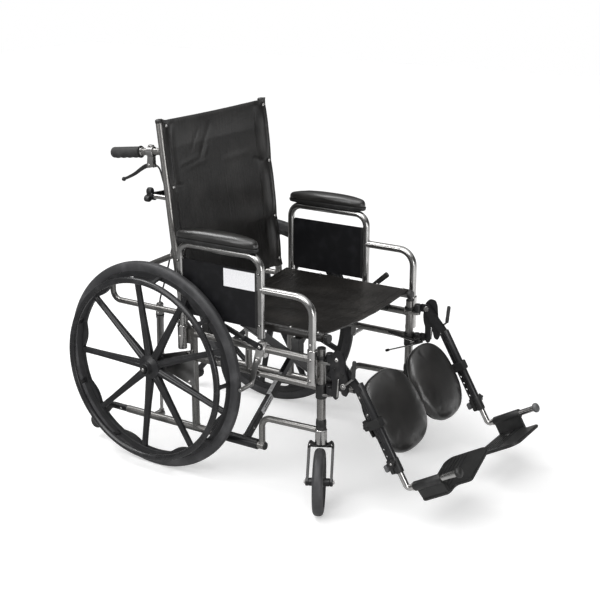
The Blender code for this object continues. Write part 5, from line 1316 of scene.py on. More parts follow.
# %% The back's cloth
BACK_LOW, BACK_HIGH, BACK_HALF = 0.484, 0.9960, 0.2462
CLOTH_BACK = 0.0108
SCREW_ZS = (0.982, 0.813, 0.641, 0.508)
CREASES = (
    ((-0.120, 0.890), (-0.075, 0.955), 0.0075, 0.0012),
    ((-0.075, 0.880), (-0.020, 0.965), 0.0095, 0.0016),
    ((-0.085, 0.862), (-0.060, 0.905), 0.0060, 0.0010),
    ((-0.060, 0.865), (-0.035, 0.900), 0.0060, -0.0009),
    ((-0.185, 0.862), (-0.075, 0.874), 0.0080, -0.0009),
    ((-0.160, 0.845), (-0.040, 0.860), 0.0070, -0.0007),
    ((0.020, 0.845), (0.160, 0.850), 0.0100, -0.0008),
    ((-0.215, 0.812), (-0.165, 0.806), 0.0060, 0.0016),
    ((0.215, 0.812), (0.170, 0.830), 0.0060, 0.0016),
    ((0.100, 0.640), (0.215, 0.641), 0.0070, 0.0014),
    ((-0.150, 0.640), (-0.215, 0.641), 0.0070, 0.0014),
)
UPRIGHT_RIPPLES = waves(11, 9, 90, 260)
DRIFT = waves(12, 4, 6, 18)


def pull(z):
    """How near this height is to a screw: 1 at one, 0 half way between two."""
    gaps = [abs(z - at) for at in SCREW_ZS]
    return max(0.0, 1.0 - min(gaps) / 0.062) ** 2


def back_point(across, z):
    """The cloth's rear face at a share of its width and a height."""
    slack = 1.0 - pull(z)
    x = BACK_HALF * across * (1.0 + 0.006 * slack - 0.010 * pull(z))
    hollow = 0.018 * (1 - across**4)
    edge = abs(across) ** 10
    dent, swell = (
        math.exp(-(((abs(across) - at) / wide) ** 2)) for at, wide in ((0.925, 0.042), (0.82, 0.040))
    )
    bulge = -0.0066 * slack * dent + 0.0040 * slack * swell
    drift = 0.02 * ripple(z, DRIFT)
    low_part = max(0.0, min(1.0, (0.86 - z) / 0.10))
    fine = 0.00055 * ripple(across + drift, UPRIGHT_RIPPLES) * (1 - edge) * (0.35 + 0.65 * low_part)
    crease = sum(-depth * ridge((x, z), start, end, width) for start, end, width, depth in CREASES)
    top = 0.004 * max(0.0, (z - 0.93) / 0.055) ** 2 * (1 - across**2)
    hollow *= 0.5 + 0.5 * min(1.0, (0.995 - z) / 0.08)
    return Vector((x, cane_y(z) - CLOTH_BACK + hollow + bulge + fine + crease + top, z))


def back_cloth():
    rows, columns = 150, 260
    front, rear = [], []
    for i in range(rows + 1):
        v = i / rows
        ahead, behind = [], []
        for k in range(columns + 1):
            across = math.sin(math.pi / 2 * (2 * k / columns - 1)) * 0.45 + (2 * k / columns - 1) * 0.55
            dip = 0.005 * v * (1 - across**2) - 0.005 * v * across**24
            z = BACK_LOW + (BACK_HIGH - BACK_LOW) * v - (dip if v > 0.5 else 0) * (
                2 * v - 1 if v > 0.5 else 0
            )
            point = back_point(across, z)
            hem = 0.0010 * max(0.0, 1 - (1 - v) / 0.012, 1 - v / 0.03)
            behind.append(point + Vector((0, 0.0003, 0)))
            ahead.append(point - Vector((0, CLOTH + hem, 0)))
        front.append(ahead)
        rear.append(behind)
    return two_skins(front, rear)


cloth = Piece("back_cloth", 0, "right_back", "vinyl")
cloth.add(BACK_VINYL, back_cloth())
line = [back_point(k / 40, BACK_LOW + 0.018) - Vector((0, CLOTH + 0.0003, 0)) for k in range(-38, 39)]
cloth.add(THREAD, seam(line, STITCH_PITCH, THREAD))
heads = [
    ((s * 0.2325, cane_y(z) - CLOTH_BACK - CLOTH - 0.0002, z), (0, -1, 0))
    for z in SCREW_ZS
    for s in (1, -1)
]
washer = [(1.0, -0.2), (1.0, 0.10), (0.8, 0.22), (0.02, 0.24)]
cloth.screw(0.0052, *heads, head=lambda: turned(washer, Matrix(), 20))
cloth.screw(0.0036, *((Vector(at) - Vector((0, 0.0008, 0)), aim) for at, aim in heads))
back = cloth.place("back_sling")
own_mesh(back)
wide = sum((back_point(k / 100 + 0.01, 0.7) - back_point(k / 100, 0.7)).length for k in range(-100, 100))
BACK_HIGH - BACK_LOW
print("back cloth:", len(back.data.polygons), "faces,", round(wide, 3), "m wide when flat")

# %% [markdown]
# The seat's cloth goes over both seat rails and a little way round them, where the screws hold it. It
# hangs between them in a shallow curve, so the front edge shows as a sagging hem, and fine creases run
# across it from rail to rail.

# %% The seat's cloth
SEAT_REAR, SEAT_FRONT, SEAT_SAG = -0.1025, -0.5315, 0.013
CROSS_RIPPLES = waves(21, 10, 110, 420)
SLANT = waves(22, 4, 2, 6)


def seat_point(share, y):
    """The cloth's under face: the share runs from -1 to 1, with the turns round the rails past 0.86."""
    wrap = 0.86
    radius = RAIL + 0.0003
    if abs(share) > wrap:
        turn = (abs(share) - wrap) / (1 - wrap) * math.radians(118)
        x = SEAT_X + radius * math.sin(turn)
        return Vector((math.copysign(x, share), y, SEAT_Z + radius * math.cos(turn)))
    across = share / wrap
    slack = 1 - across**2
    slant = 0.010 * ripple(across, SLANT)
    fine = 0.00075 * ripple(y + slant, CROSS_RIPPLES) * min(1.0, slack * 2.2)
    deep = 0.0005 * math.sin(19 * across + 9 * y) * slack
    end = max(0.0, (SEAT_FRONT + 0.03 - y) / 0.03, (y - SEAT_REAR + 0.03) / 0.03)
    return Vector(
        (SEAT_X * across, y, SEAT_Z + radius - SEAT_SAG * slack * (1 + 0.10 * end) + fine + deep)
    )


def seat_cloth():
    rows, columns = 150, 200
    upper, under = [], []
    for i in range(rows + 1):
        v = i / rows
        y = SEAT_REAR + (SEAT_FRONT - SEAT_REAR) * v
        hem = 0.0011 if (v > 0.955 or v < 0.04) else 0.0
        over, below = [], []
        for k in range(columns + 1):
            share = 2 * k / columns - 1
            point = seat_point(share, y)
            step = seat_point(min(1.0, share + 0.004), y) - seat_point(max(-1.0, share - 0.004), y)
            normal = Vector((-step.z, 0, step.x)).normalized()
            below.append(point)
            over.append(point + normal * (CLOTH + hem))
        upper.append(over)
        under.append(below)
    return two_skins(upper, under)


cloth = Piece("seat_cloth", 0, "seat", "vinyl")
cloth.add(SEAT_VINYL, seat_cloth())
for y in (SEAT_REAR - 0.019, SEAT_FRONT + 0.022):
    line = [seat_point(k / 60 * 0.84, y) + Vector((0, 0, CLOTH + 0.0002)) for k in range(-60, 61)]
    cloth.add(THREAD, seam(line, STITCH_PITCH, THREAD))
fixed = []
for s in (1, -1):
    for y in (-0.125, -0.225, -0.325, -0.425, -0.512):
        fixed.append(((s * (SEAT_X + 0.0045), y, SEAT_Z + RAIL + CLOTH - 0.0002), (s * 0.35, 0, 1)))
cloth.add(PLATED, screws(0.0038, PLATED, *fixed))
seat = cloth.place("seat_sling")
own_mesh(seat)
wide = sum(
    (seat_point(k / 100 + 0.01, -0.3) - seat_point(k / 100, -0.3)).length for k in range(-100, 100)
)
print("seat cloth:", len(seat.data.polygons), "faces,", round(wide, 3), "m wide when flat")

# %% [markdown]
# Pins turn in holes, and straps are pierced, so one helper cuts shells out of a shell with an exact
# Boolean. The result is taken as a plain mesh at once.


# %% Holes
def linked(name, shell):
    """A shell as a loose object, for a modifier to work on."""
    mesh = bpy.data.meshes.new(name)
    shell.to_mesh(mesh)
    shell.free()
    made = bpy.data.objects.new(name, mesh)
    bpy.context.scene.collection.objects.link(made)
    return made


def unlinked(made):
    """The object's evaluated mesh as a shell; the object and its mesh go."""
    graph = bpy.context.evaluated_depsgraph_get()
    result = bpy.data.meshes.new_from_object(made.evaluated_get(graph))
    shell = bmesh.new()
    shell.from_mesh(result)
    mesh = made.data
    bpy.data.objects.remove(made)
    for each in (result, mesh):
        bpy.data.meshes.remove(each)
    return shell


def drilled(shell, *tools):
    """The shell with these shells cut out of it."""
    base = linked("drilled", shell)
    cutters = [linked("drill", tool) for tool in tools]
    for number, cutter in enumerate(cutters):
        modifier = base.modifiers.new(f"cut {number}", "BOOLEAN")
        modifier.operation = "DIFFERENCE"
        modifier.solver = "EXACT"
        modifier.object = cutter
    made = unlinked(base)
    for cutter in cutters:
        mesh = cutter.data
        bpy.data.objects.remove(cutter)
        bpy.data.meshes.remove(mesh)
    return made


sample = drilled(box((-0.01, -0.01, 0), (0.01, 0.01, 0.004)), tube([(0, 0, -0.01), (0, 0, 0.01)], 0.003))
print("a drilled plate has", len(sample.faces), "faces")
sample.free()

# %% [markdown]
# Each back post carries its push handle, the loop that the gas spring drives and the spreader's stud. The
# rubber grip has finger rings on its underside only, so it is lofted with a radius that changes both
# along and around it. A cast clamp holds the hand lever, whose blade is one tapered sweep.

# %% Back posts
CANE_X, STUD_Z, SPREADER_Y, GAS_X = 0.243, 0.783, 0.025, 0.218
POST_TOP, POST_FOOT, LOOP_TOP, LOOP_LOW = 0.9935, 0.425, 0.626, 0.4555
GAS_TOP, GAS_LOW = (0.037, 0.4565), (0.045, 0.118)
LEVER_PIVOT = (0.033, 0.868)
POST_UP = Vector((0, math.sin(BACK_LEAN), math.cos(BACK_LEAN)))


def back_post(side):
    x = CANE_X
    top = Vector((x, cane_y(POST_TOP), POST_TOP))
    foot = Vector((x, cane_y(POST_FOOT), POST_FOOT))
    loop = [
        (x, cane_y(LOOP_TOP), LOOP_TOP), (x, 0.190, 0.514), (x, 0.190, LOOP_LOW),
        (x, cane_y(LOOP_LOW), LOOP_LOW),
    ]
    into_loop = (Vector(loop[1]) - Vector(loop[0])).normalized()
    post = Piece("back_post", side, "back", "frame_steel")
    bar = drilled(tube([foot, top], 0.0105, sides=32), pin(HINGE_AT, x - 0.03, x + 0.03, 0.0053))
    post.add(
        SILVER,
        bar,
        tube([handle(0.002), handle(0.172)], 0.0100, sides=28),
        tube(loop, 0.0085, 0.027, sides=24),
        weld(handle(0.0108), HANDLE_BACK, 0.0096),
        weld(Vector(loop[0]) + into_loop * 0.0125, into_loop, 0.0082),
        weld((x, cane_y(LOOP_LOW) + 0.0108, LOOP_LOW), (0, 1, 0), 0.0082),
    )
    post.add(
        PLATED,
        tube([(x, cane_y(STUD_Z), STUD_Z), (x, 0.0222, STUD_Z)], 0.0070, sides=28),
        tube([(x, 0.0200, STUD_Z), (x, 0.0425, STUD_Z)], 0.0040, sides=20),
        tube([handle(0.0705), handle(0.0775)], 0.0128, sides=28, chamfer=0.0012),
        pin(GAS_TOP, GAS_X - 0.0073, x, 0.0039),
        pin(GAS_TOP, GAS_X - 0.0098, GAS_X - 0.0066, 0.0065),
    )
    dome = [
        (0.0108, -0.005), (0.0114, -0.0035), (0.0114, 0.0015), (0.0104, 0.0040), (0.0075, 0.0058),
        (0.0004, 0.0066),
    ]
    post.add(BLACK_PLASTIC, turned(dome, aimed(top, POST_UP), 32), end_plug(foot, -POST_UP, 0.0105))
    return post.place("back_cane")


def hand_grip(side):
    start, length, turns = 0.078, 0.104, 4.0
    rings = []
    for i in range(105):
        s = i / 104
        flange = 0.0019 * max(0.0, 1.0 - (s / 0.045) ** 4)
        end = max(0.0, (s - 0.93) / 0.07)
        inset = 0.0155 - 0.0155 * math.sqrt(max(0.0, 1.0 - 0.35 * end**2)) + 0.0035 * end**3
        wave = 0.5 - 0.5 * math.cos(2 * math.pi * turns * min(1.0, max(0.0, (s - 0.08) / 0.84)))
        fine = 0.00025 * math.cos(2 * math.pi * 34 * s) if 0.08 < s < 0.92 else 0.0
        ring = []
        for a in ring_angles(40):
            under = max(0.0, -math.sin(a)) ** 0.8
            radius = 0.0150 + flange - inset + (0.0014 * wave * under + fine * (1 - under))
            ring.append(Vector((radius * math.cos(a), radius * math.sin(a), s * length)))
        rings.append(ring)
    grip = loft(rings, to=aimed(handle(start), HANDLE_BACK))
    grip = drilled(grip, tube([handle(start - 0.01), handle(0.1735)], 0.0103, sides=28))
    made = Piece("hand_grip", side, "back", "rubber")
    made.add(GRIP_RUBBER, grip)
    hole = turned(
        [(0.0050, -0.0006), (0.0050, 0.0004), (0.0034, 0.0004), (0.0030, -0.0006)],
        aimed(handle(0.182), HANDLE_BACK),
        24,
        True,
    )
    made.add(BLACK_PLASTIC, hole)
    return made.place("push_grip")


def lever_clamp(side):
    ring = handle(0.041)
    cheek = 0.0042
    outline = hull([(ring.y, ring.z, 0.009), (*LEVER_PIVOT, 0.0065), (0.021, 0.870, 0.005)])
    clamp = Piece("lever_clamp", side, "back", "zinc")
    collar = drilled(
        tube([handle(0.030), handle(0.052)], 0.0143, sides=36, chamfer=0.0014),
        tube([handle(0.02), handle(0.06)], 0.0102, sides=28),
    )
    clamp.add(
        ZINC,
        collar,
        plate(outline, CANE_X + cheek, CANE_X + cheek + 0.0026, soft=0.0008),
        plate(outline, CANE_X - cheek - 0.0026, CANE_X - cheek, soft=0.0008),
        box((CANE_X - 0.0050, 0.0165, 0.8640), (CANE_X + 0.0050, 0.0205, 0.8770)),
    )
    low, high = Vector((-0.0055, -0.008, 0.0110)), Vector((0.0055, 0.008, 0.0185))
    clamp.add(ZINC, box(ring + low, ring + high, soft=0.0016, segments=3))
    barrel = [
        (0.0042, 0.0), (0.0042, 0.0012), (0.0034, 0.0014), (0.0034, 0.0022), (0.0042, 0.0024),
        (0.0042, 0.0062), (0.0004, 0.0062),
    ]
    clamp.add(
        PLATED,
        pin(LEVER_PIVOT, CANE_X - 0.0078, CANE_X + 0.0078, 0.0024),
        turned(barrel, aimed((CANE_X, 0.0118, 0.869), (0, 1, 0)), 24),
    )
    clamp.screw(
        0.0042, *(((CANE_X + way * 0.0068, *LEVER_PIVOT), (way, 0, 0)) for way in (1, -1)), head=hex_head
    )
    clamp.screw(0.0034, ((CANE_X + 0.0055, ring.y, ring.z + 0.0148), (1, 0, 0)), head=hex_head)
    return clamp.place("lever_bracket")


def hand_lever(side):
    route = [
        (0.0275, 0.8700), (0.0330, 0.8680), (0.0475, 0.8645), (0.0660, 0.8540), (0.0880, 0.8390),
        (0.1100, 0.8275), (0.1270, 0.8200),
    ]
    sizes = [
        (0.0028, 0.0042), (0.0036, 0.0064), (0.0037, 0.0062), (0.0037, 0.0054), (0.0037, 0.0047),
        (0.0038, 0.0042), (0.0038, 0.0040),
    ]
    path = smooth_path([(CANE_X, y, z) for y, z in route], 6)
    rings = []
    for i, point in enumerate(path):
        before, after = path[max(0, i - 1)], path[min(len(path) - 1, i + 1)]
        along = (after - before).normalized()
        across = along.cross(LEFTWARD).normalized()
        share, whole = math.modf(min(i / 6, 5.999))
        (w0, h0), (w1, h1) = sizes[int(whole)], sizes[int(whole) + 1]
        wide, high = w0 + (w1 - w0) * share, h0 + (h1 - h0) * share
        ring = []
        for a in ring_angles(24):
            u, v = squarish(a, 0.7)
            ring.append(point + LEFTWARD * wide * u + across * high * v)
        rings.append(ring)
    angles = [math.pi * k / 12 for k in range(13)]
    ball = [(max(0.0002, 0.0062 * math.sin(a)), -0.0062 * math.cos(a)) for a in angles]
    lever = Piece("hand_lever", side, "recline_lever", "black_plastic")
    lever.add(BLACK_PLASTIC, loft(rings), turned(ball, aimed((CANE_X, 0.130, 0.819), (1, 0, 0)), 28))
    return lever.place("recline_lever")


both_sides(back_post, hand_grip, lever_clamp, hand_lever)

# %% [markdown]
# Behind the back a spreader bar keeps the posts apart. It comes in two halves that lap at a rivet, so
# that it can drop when the chair folds, and a three-pointed hand nut holds each end on its stud. Gas
# springs hold the recline: a zinc cylinder on the loop's pin, and a bright rod down to the lower rail.


# %% Spreader, its hand nuts, and the gas springs
def flat_round(stations, y, z, sides=28):
    """A bar along X whose section changes: (x, half depth, half height) at each station."""
    rings = []
    for x, deep, high in stations:
        angles = ring_angles(sides)
        rings.append([Vector((x, y + deep * math.cos(a), z + high * math.sin(a))) for a in angles])
    return loft(rings)


def spreader_half(side):
    middle = SPREADER_Y - side * 0.0024
    eye = hull([(STUD_Z, CANE_X, 0.011), (STUD_Z, 0.197, 0.0075)])
    lap = hull([(STUD_Z, 0.062, 0.0065), (STUD_Z, 0, 0.010)])
    hole = tube([(CANE_X, 0, STUD_Z), (CANE_X, 0.05, STUD_Z)], 0.0044)
    stations = [
        (0.051, 0.0020, 0.0050), (0.058, 0.0060, 0.0070), (0.066, 0.008, 0.008), (0.182, 0.008, 0.008),
        (0.196, 0.0058, 0.0084), (0.2085, 0.0025, 0.0070),
    ]
    bar = Piece("spreader_half", side, "spreader", "black_steel")
    bar.add(
        ENAMEL,
        flat_round(stations, SPREADER_Y, STUD_Z),
        drilled(plate(eye, SPREADER_Y - 0.0025, SPREADER_Y + 0.0025, ALONG_Y, 0.0008), hole),
        plate(lap, middle - 0.00225, middle + 0.00225, ALONG_Y, 0.0006),
    )
    outward = -side
    bar.screw(0.0055, ((0, middle + outward * 0.00215, STUD_Z), (0, outward, 0)))
    return bar.place("spreader_bar")


def wing_knob(side):
    """A hand nut with three rounded points, dished round its middle."""
    rings = []
    profile = (
        (0.0, 0.90), (0.0012, 0.97), (0.0040, 1.0), (0.0105, 1.0), (0.0150, 0.95), (0.0168, 0.86),
        (0.0170, 0.60), (0.0150, 0.45), (0.0146, 0.30),
    )
    for depth, share in profile:
        ring = []
        for a in ring_angles(72):
            radius = share * (0.0158 + 0.0082 * math.cos(3 * a) - 0.0006 * math.cos(6 * a))
            ring.append(Vector((radius * math.sin(a), radius * math.cos(a), depth)))
        rings.append(ring)
    at = Vector((CANE_X, SPREADER_Y + 0.0028, STUD_Z))
    turn = Matrix(((1, 0, 0, 0), (0, 0, 1, 0), (0, 1, 0, 0), (0, 0, 0, 1)))
    bore = tube([at - Vector((0, 0.01, 0)), at + Vector((0, 0.0149, 0))], 0.0043)
    body = drilled(loft(rings, to=Matrix.Translation(at) @ turn), bore)
    knob = Piece("wing_knob", side, "spreader_knob", "black_plastic")
    knob.add(BLACK_PLASTIC, body)
    nut = [
        (0.0066, -0.0006), (0.0066, 0.0016), (0.0060, 0.0024), (0.0044, 0.0025), (0.0040, 0.0012),
        (0.0004, 0.0010),
    ]
    knob.add(PLATED, turned(nut, aimed(at + Vector((0, 0.0147, 0)), (0, 1, 0)), 28))
    return knob.place("spreader_knob")


def gas_point(distance):
    top, bottom = Vector((GAS_X, *GAS_TOP)), Vector((GAS_X, *GAS_LOW))
    return top + (bottom - top).normalized() * distance


def gas_body(side):
    spring = Piece("gas_body", side, "gas_cylinder", "zinc")
    eye = drilled(
        pin(GAS_TOP, GAS_X - 0.00625, GAS_X + 0.00625, 0.009, 32), pin(GAS_TOP, 0.19, 0.25, 0.0042)
    )
    spring.add(ZINC, eye)
    down = gas_point(1) - gas_point(0)
    body = [
        (0.0053, 0.0525), (0.0057, 0.018), (0.0112, 0.0185), (0.0120, 0.0200), (0.0120, 0.0375),
        (0.0112, 0.0390), (0.0105, 0.0400), (0.0105, 0.2000), (0.0098, 0.2015), (0.0098, 0.2030),
        (0.0104, 0.2040), (0.0100, 0.2056), (0.0053, 0.2060),
    ]
    spring.add(ZINC, turned(body, aimed(gas_point(0), down), 40, closed=True))
    spring.add(ZINC, tube([gas_point(0.0065), gas_point(0.0195)], 0.0057, sides=24))
    ring = [
        (0.0123, 0.0265), (0.0126, 0.0275), (0.0126, 0.0300), (0.0123, 0.0310), (0.0116, 0.0310),
        (0.0116, 0.0265),
    ]
    spring.add(BLACK_PLASTIC, turned(ring, aimed(gas_point(0), down), 40, closed=True))
    return spring.place("gas_cylinder")


def gas_piston(side):
    length = (Vector((GAS_X, *GAS_LOW)) - gas_point(0)).length
    rod = Piece("gas_piston", side, "gas_rod", "chrome")
    rod.add(PLATED, tube([gas_point(0.186), gas_point(length - 0.006)], 0.0049, sides=28))
    eye = drilled(
        pin(GAS_LOW, GAS_X - 0.00625, GAS_X + 0.00625, 0.009, 32), pin(GAS_LOW, 0.19, 0.25, 0.0040)
    )
    nut = round_outline((0, 0), 0.0078, 6)
    rod.add(ZINC, eye, plate(
        nut, length - 0.0140, length - 0.0085, aimed(gas_point(0), gas_point(1) - gas_point(0))
    ))
    return rod.place("gas_rod")


both_sides(spreader_half, wing_knob, gas_body, gas_piston)

# %% [markdown]
# A padded piece swells against its seams. The same recipe makes the arm pads and the calf pads: a
# slightly small shell is remeshed into even faces, Blender's cloth is pumped up with pressure and no
# gravity, each point's travel is capped, and the result is smoothed once. The left pad is simulated, the
# right one mirrors it.


# %% Pads that swell
VOXEL = 0.0045


def smoothed(shell, rounds):
    for _ in range(rounds):
        bmesh.ops.smooth_vert(
            shell, verts=shell.verts, factor=0.5, use_axis_x=True, use_axis_y=True, use_axis_z=True
        )
    return shell


def inflated(shell, pressure, most, held):
    """The shell remeshed and blown up; points where held(point) is true stay where they are."""
    body = linked("pad to swell", shell)
    remesh = body.modifiers.new("even faces", "REMESH")
    remesh.mode = "VOXEL"
    remesh.voxel_size = VOXEL
    body = linked("pad to swell", smoothed(unlinked(body), 2))
    start = [vertex.co.copy() for vertex in body.data.vertices]
    fixed = body.vertex_groups.new(name="fixed")
    fixed.add([i for i, point in enumerate(start) if held(point)], 1.0, "ADD")
    cloth = body.modifiers.new("swell", "CLOTH")
    cloth.settings.quality = 6
    cloth.settings.use_pressure = True
    cloth.settings.uniform_pressure_force = pressure
    cloth.settings.effector_weights.gravity = 0.0
    cloth.settings.tension_stiffness = 18
    cloth.settings.compression_stiffness = 18
    cloth.settings.shear_stiffness = 8
    cloth.settings.bending_stiffness = 0.6
    cloth.settings.vertex_group_mass = "fixed"
    cloth.collision_settings.use_collision = False
    for number in range(1, 21):
        bpy.context.scene.frame_set(number)
    shell = unlinked(body)
    furthest = 0.0
    for vertex, before in zip(shell.verts, start):
        travel = vertex.co - before
        furthest = max(furthest, travel.length)
        if travel.length > most:
            vertex.co = before + travel.normalized() * most
    bpy.context.scene.frame_set(1)
    smoothed(shell, 2)
    finer = linked("pad", shell)
    finer.modifiers.new("finer", "SUBSURF").levels = 1
    print("  swelled by at most", round(1000 * furthest, 1), "mm, kept to", 1000 * most)
    return unlinked(finer)


def crowned(rings, points=48, power=0.75):
    """A cushion's shell from rings of (centre, half width, half length, crown(u, v)), rounded in plan."""
    made = []
    for centre, wide, long, lift in rings:
        ring = []
        for a in ring_angles(points, 0.5):
            u, v = squarish(a, power)
            ring.append(Vector((centre[0] + wide * u, centre[1] + long * v, centre[2] + lift(u, v))))
        made.append(ring)
    return loft(made)


# %% [markdown]
# The armrest is one bent tube that stands in two sockets, with a short branch to the front one. The pad
# above it is a foamed cushion on a moulded tray, and the clothing guard is a flat sheet between the
# uprights, with a moulded strip at its front and its screws into the tube.

# %% Armrests
SATIN = plated("satin_tube", (0.54, 0.535, 0.525), 0.20)
ARM_TOP_Z, ARM_REAR_Y, ARM_FRONT_Y = 0.673, -0.091, -0.360
ARM_TUBE = 0.0105


def arm_tube(side):
    x = ARM_X
    main = [
        (x, ARM_REAR_Y, 0.375), (x, ARM_REAR_Y, ARM_TOP_Z), (x, ARM_FRONT_Y, ARM_TOP_Z),
        (x, ARM_FRONT_Y, 0.448),
    ]
    branch = [(x, ARM_FRONT_Y, 0.584), (x, -0.521, 0.584), (x, -0.521, 0.356)]
    rest = Piece("arm_tube", side, "armrest", "chrome")
    rest.add(
        SATIN,
        tube(main, ARM_TUBE, 0.037, sides=28),
        tube(branch, ARM_TUBE, 0.046, sides=28),
        weld((x, ARM_FRONT_Y - ARM_TUBE - 0.0003, 0.584), (0, 1, 0), ARM_TUBE - 0.0005),
    )
    rest.add(BLACK_PLASTIC, end_plug((x, ARM_FRONT_Y, 0.4490), (0, 0, -1), ARM_TUBE))
    rest.screw(
        0.0032,
        ((x + ARM_TUBE - 0.0003, -0.521, 0.462), (1, 0, 0)),
        ((x + ARM_TUBE - 0.0003, ARM_REAR_Y, 0.452), (1, 0, 0)),
    )
    return rest.place("armrest_tube")


PAD_X, PAD_Y, PAD_BOTTOM, PAD_HALF = ARM_X + 0.003, -0.219, ARM_TOP_Z + 0.0110, 0.136


def pad_lift(height):
    """How high this share of the pad's height lies: full over the rear, low at both ends."""
    return lambda u, v: height * (0.0425 - 0.0120 * (abs(v + 0.10) / 1.10) ** 2.6)


def arm_shell(shrink):
    rings = []
    profile = (
        (0.20, 0.90), (0.30, 0.985), (0.45, 1.0), (0.62, 0.985), (0.78, 0.90), (0.90, 0.74), (0.98, 0.48),
        (1.0, 0.25),
    )
    for height, share in profile:
        wide = 0.0285 * share - shrink
        long = PAD_HALF * (1 - 0.13 * (1 - share)) - shrink
        rings.append(((PAD_X, PAD_Y, PAD_BOTTOM - shrink * height), wide, long, pad_lift(height)))
    return crowned(rings)


def arm_tray():
    rings = []
    for height, share in ((0.0, 0.80), (0.02, 0.86), (0.12, 0.90), (0.26, 0.945), (0.285, 0.93)):
        wide, long = 0.028 * share, PAD_HALF * (1 - 0.16 * (1 - share))
        rings.append(((PAD_X, PAD_Y, PAD_BOTTOM), wide, long, pad_lift(height)))
    return crowned(rings)


swelled_arm = inflated(arm_shell(0.0022), 4.0, 0.0042, lambda point: point.z < PAD_BOTTOM + 0.006)


def arm_cushion(side):
    pad = Piece("arm_cushion", side, "armrest", "vinyl")
    pad.add(PAD_VINYL, swelled_arm.copy())
    made = pad.place("arm_pad", smooth_below=80.0)
    tray = Piece("arm_tray", side, "armrest", "black_plastic")
    tray.add(BLACK_PLASTIC, arm_tray())
    under = [((PAD_X, y, PAD_BOTTOM + 0.0002), (0, 0, -1)) for y in (-0.150, -0.290)]
    tray.screw(0.0040, *under)
    tray.place()
    return made


PANEL_X, PANEL_BOTTOM, PANEL_TOP = ARM_X, 0.473, 0.632
PANEL_REAR, PANEL_FRONT = ARM_REAR_Y - ARM_TUBE - 0.0003, ARM_FRONT_Y + ARM_TUBE + 0.0003


def guard_panel(side):
    corner = 0.004
    outline = [
        (PANEL_FRONT + corner, PANEL_BOTTOM), (PANEL_REAR - corner, PANEL_BOTTOM),
        (PANEL_REAR, PANEL_BOTTOM + corner), (PANEL_REAR, PANEL_TOP - corner),
        (PANEL_REAR - corner, PANEL_TOP), (PANEL_FRONT + corner, PANEL_TOP),
        (PANEL_FRONT, PANEL_TOP - corner), (PANEL_FRONT, PANEL_BOTTOM + corner),
    ]
    panel = Piece("guard_panel", side, "armrest", "panel")
    panel.add(PANEL_SHEET, plate(outline, PANEL_X - 0.0013, PANEL_X + 0.0013, soft=0.0006))
    low = (PANEL_X - 0.0020, PANEL_FRONT - 0.0004, PANEL_BOTTOM - 0.0004)
    high = (PANEL_X + 0.0020, PANEL_FRONT + 0.0085, PANEL_TOP + 0.0004)
    panel.add(BLACK_PLASTIC, box(low, high, soft=0.0010))
    if side < 0:
        panel.add(STICKER, box(
            (PANEL_X + 0.0010, -0.3445, 0.5755), (PANEL_X + 0.00155, -0.2390, 0.6255), soft=0.0002
        ))
    heads = [(0.0098, -0.0916, 0.6266), (0.0098, -0.3600, 0.6282), (0.0098, -0.3615, 0.4859)]
    panel.screw(0.0042, *(((ARM_X + out, y, z), (1, 0, 0)) for out, y, z in heads), finish=BLACK_PLASTIC)
    panel.screw(0.0026, *(((ARM_X + out + 0.0016, y, z), (1, 0, 0)) for out, y, z in heads))
    return panel.place("side_panel")


both_sides(arm_tube, arm_cushion, guard_panel)
swelled_arm.free()

# %% [markdown]
# A caster is a cast fork on a stem, with two slotted legs, and a small wheel with a moulded hub of spokes
# and a rubber tread. Both are drawn straight, with the trail to the front, and turned together to the
# angle at which they stand. The fork's legs are plates with a slot cut through and their edges rounded.


# %% Casters
def caster_turn(side):
    """From a caster drawn about its stem at the left, trail towards -Y, to how it stands."""
    stem = Matrix.Translation((FRAME_X, FRONT_POST_Y, 0))
    return stem @ Matrix.Rotation(side * CASTER_YAW, 4, "Z")


def caster_leg(outward):
    """One leg: a strap from the crown to the axle, slotted, with a boss at its foot."""
    axle = (-CASTER_TRAIL, CASTER_R)
    strap = hull([(0.0, CROWN_TOP - 0.0145, 0.0140), (*axle, 0.0110)], 48)
    slot = hull([(-0.022, CROWN_Z - 0.024, 0.0050), (-0.052, CASTER_R + 0.022, 0.0040)], 32)
    inner, outer = FORK_HALF - FORK_WALL, FORK_HALF
    leg_shell = drilled(
        plate(strap, inner, outer, soft=0), plate(slot, inner - 0.01, outer + 0.01, soft=0)
    )
    softened(leg_shell, 0.0011, 3)
    boss = [
        (0.0108, outer - 0.001), (0.0102, outer + 0.0010), (0.0072, outer + 0.0016),
        (0.0006, outer + 0.0016),
    ]
    shells = [leg_shell, turned(boss, Matrix.Translation((0, *axle)) @ ALONG_X, 32)]
    if outward < 0:
        for each in shells:
            bmesh.ops.scale(each, verts=each.verts, vec=(-1, 1, 1))
            bmesh.ops.reverse_faces(each, faces=each.faces)
    return shells


def crown_shell():
    """The crown: a bridge over the wheel, thick and rounded at its ends and low in its middle."""
    rings = []
    for i in range(33):
        u = -1 + i / 16
        x = u * (FORK_HALF - 0.0004)
        end = abs(u) ** 3
        low = CROWN_Z + 0.0003 - 0.010 * max(0.0, (abs(u) - 0.86) / 0.14)
        hump = 0.0070 * math.exp(-(((abs(u) - 0.80) / 0.17) ** 2)) if abs(u) >= 0.5 else 0.0
        high = CROWN_TOP - 0.0008 + hump - 0.004 * max(0.0, (abs(u) - 0.93) / 0.07)
        deep = 0.0136 - 0.0016 * (1 - end)
        ring = []
        for a in ring_angles(24):
            c, s = squarish(a, 0.45)
            ring.append(Vector((x, deep * c, (low + high) / 2 + (high - low) / 2 * s)))
        rings.append(ring)
    return loft(rings)


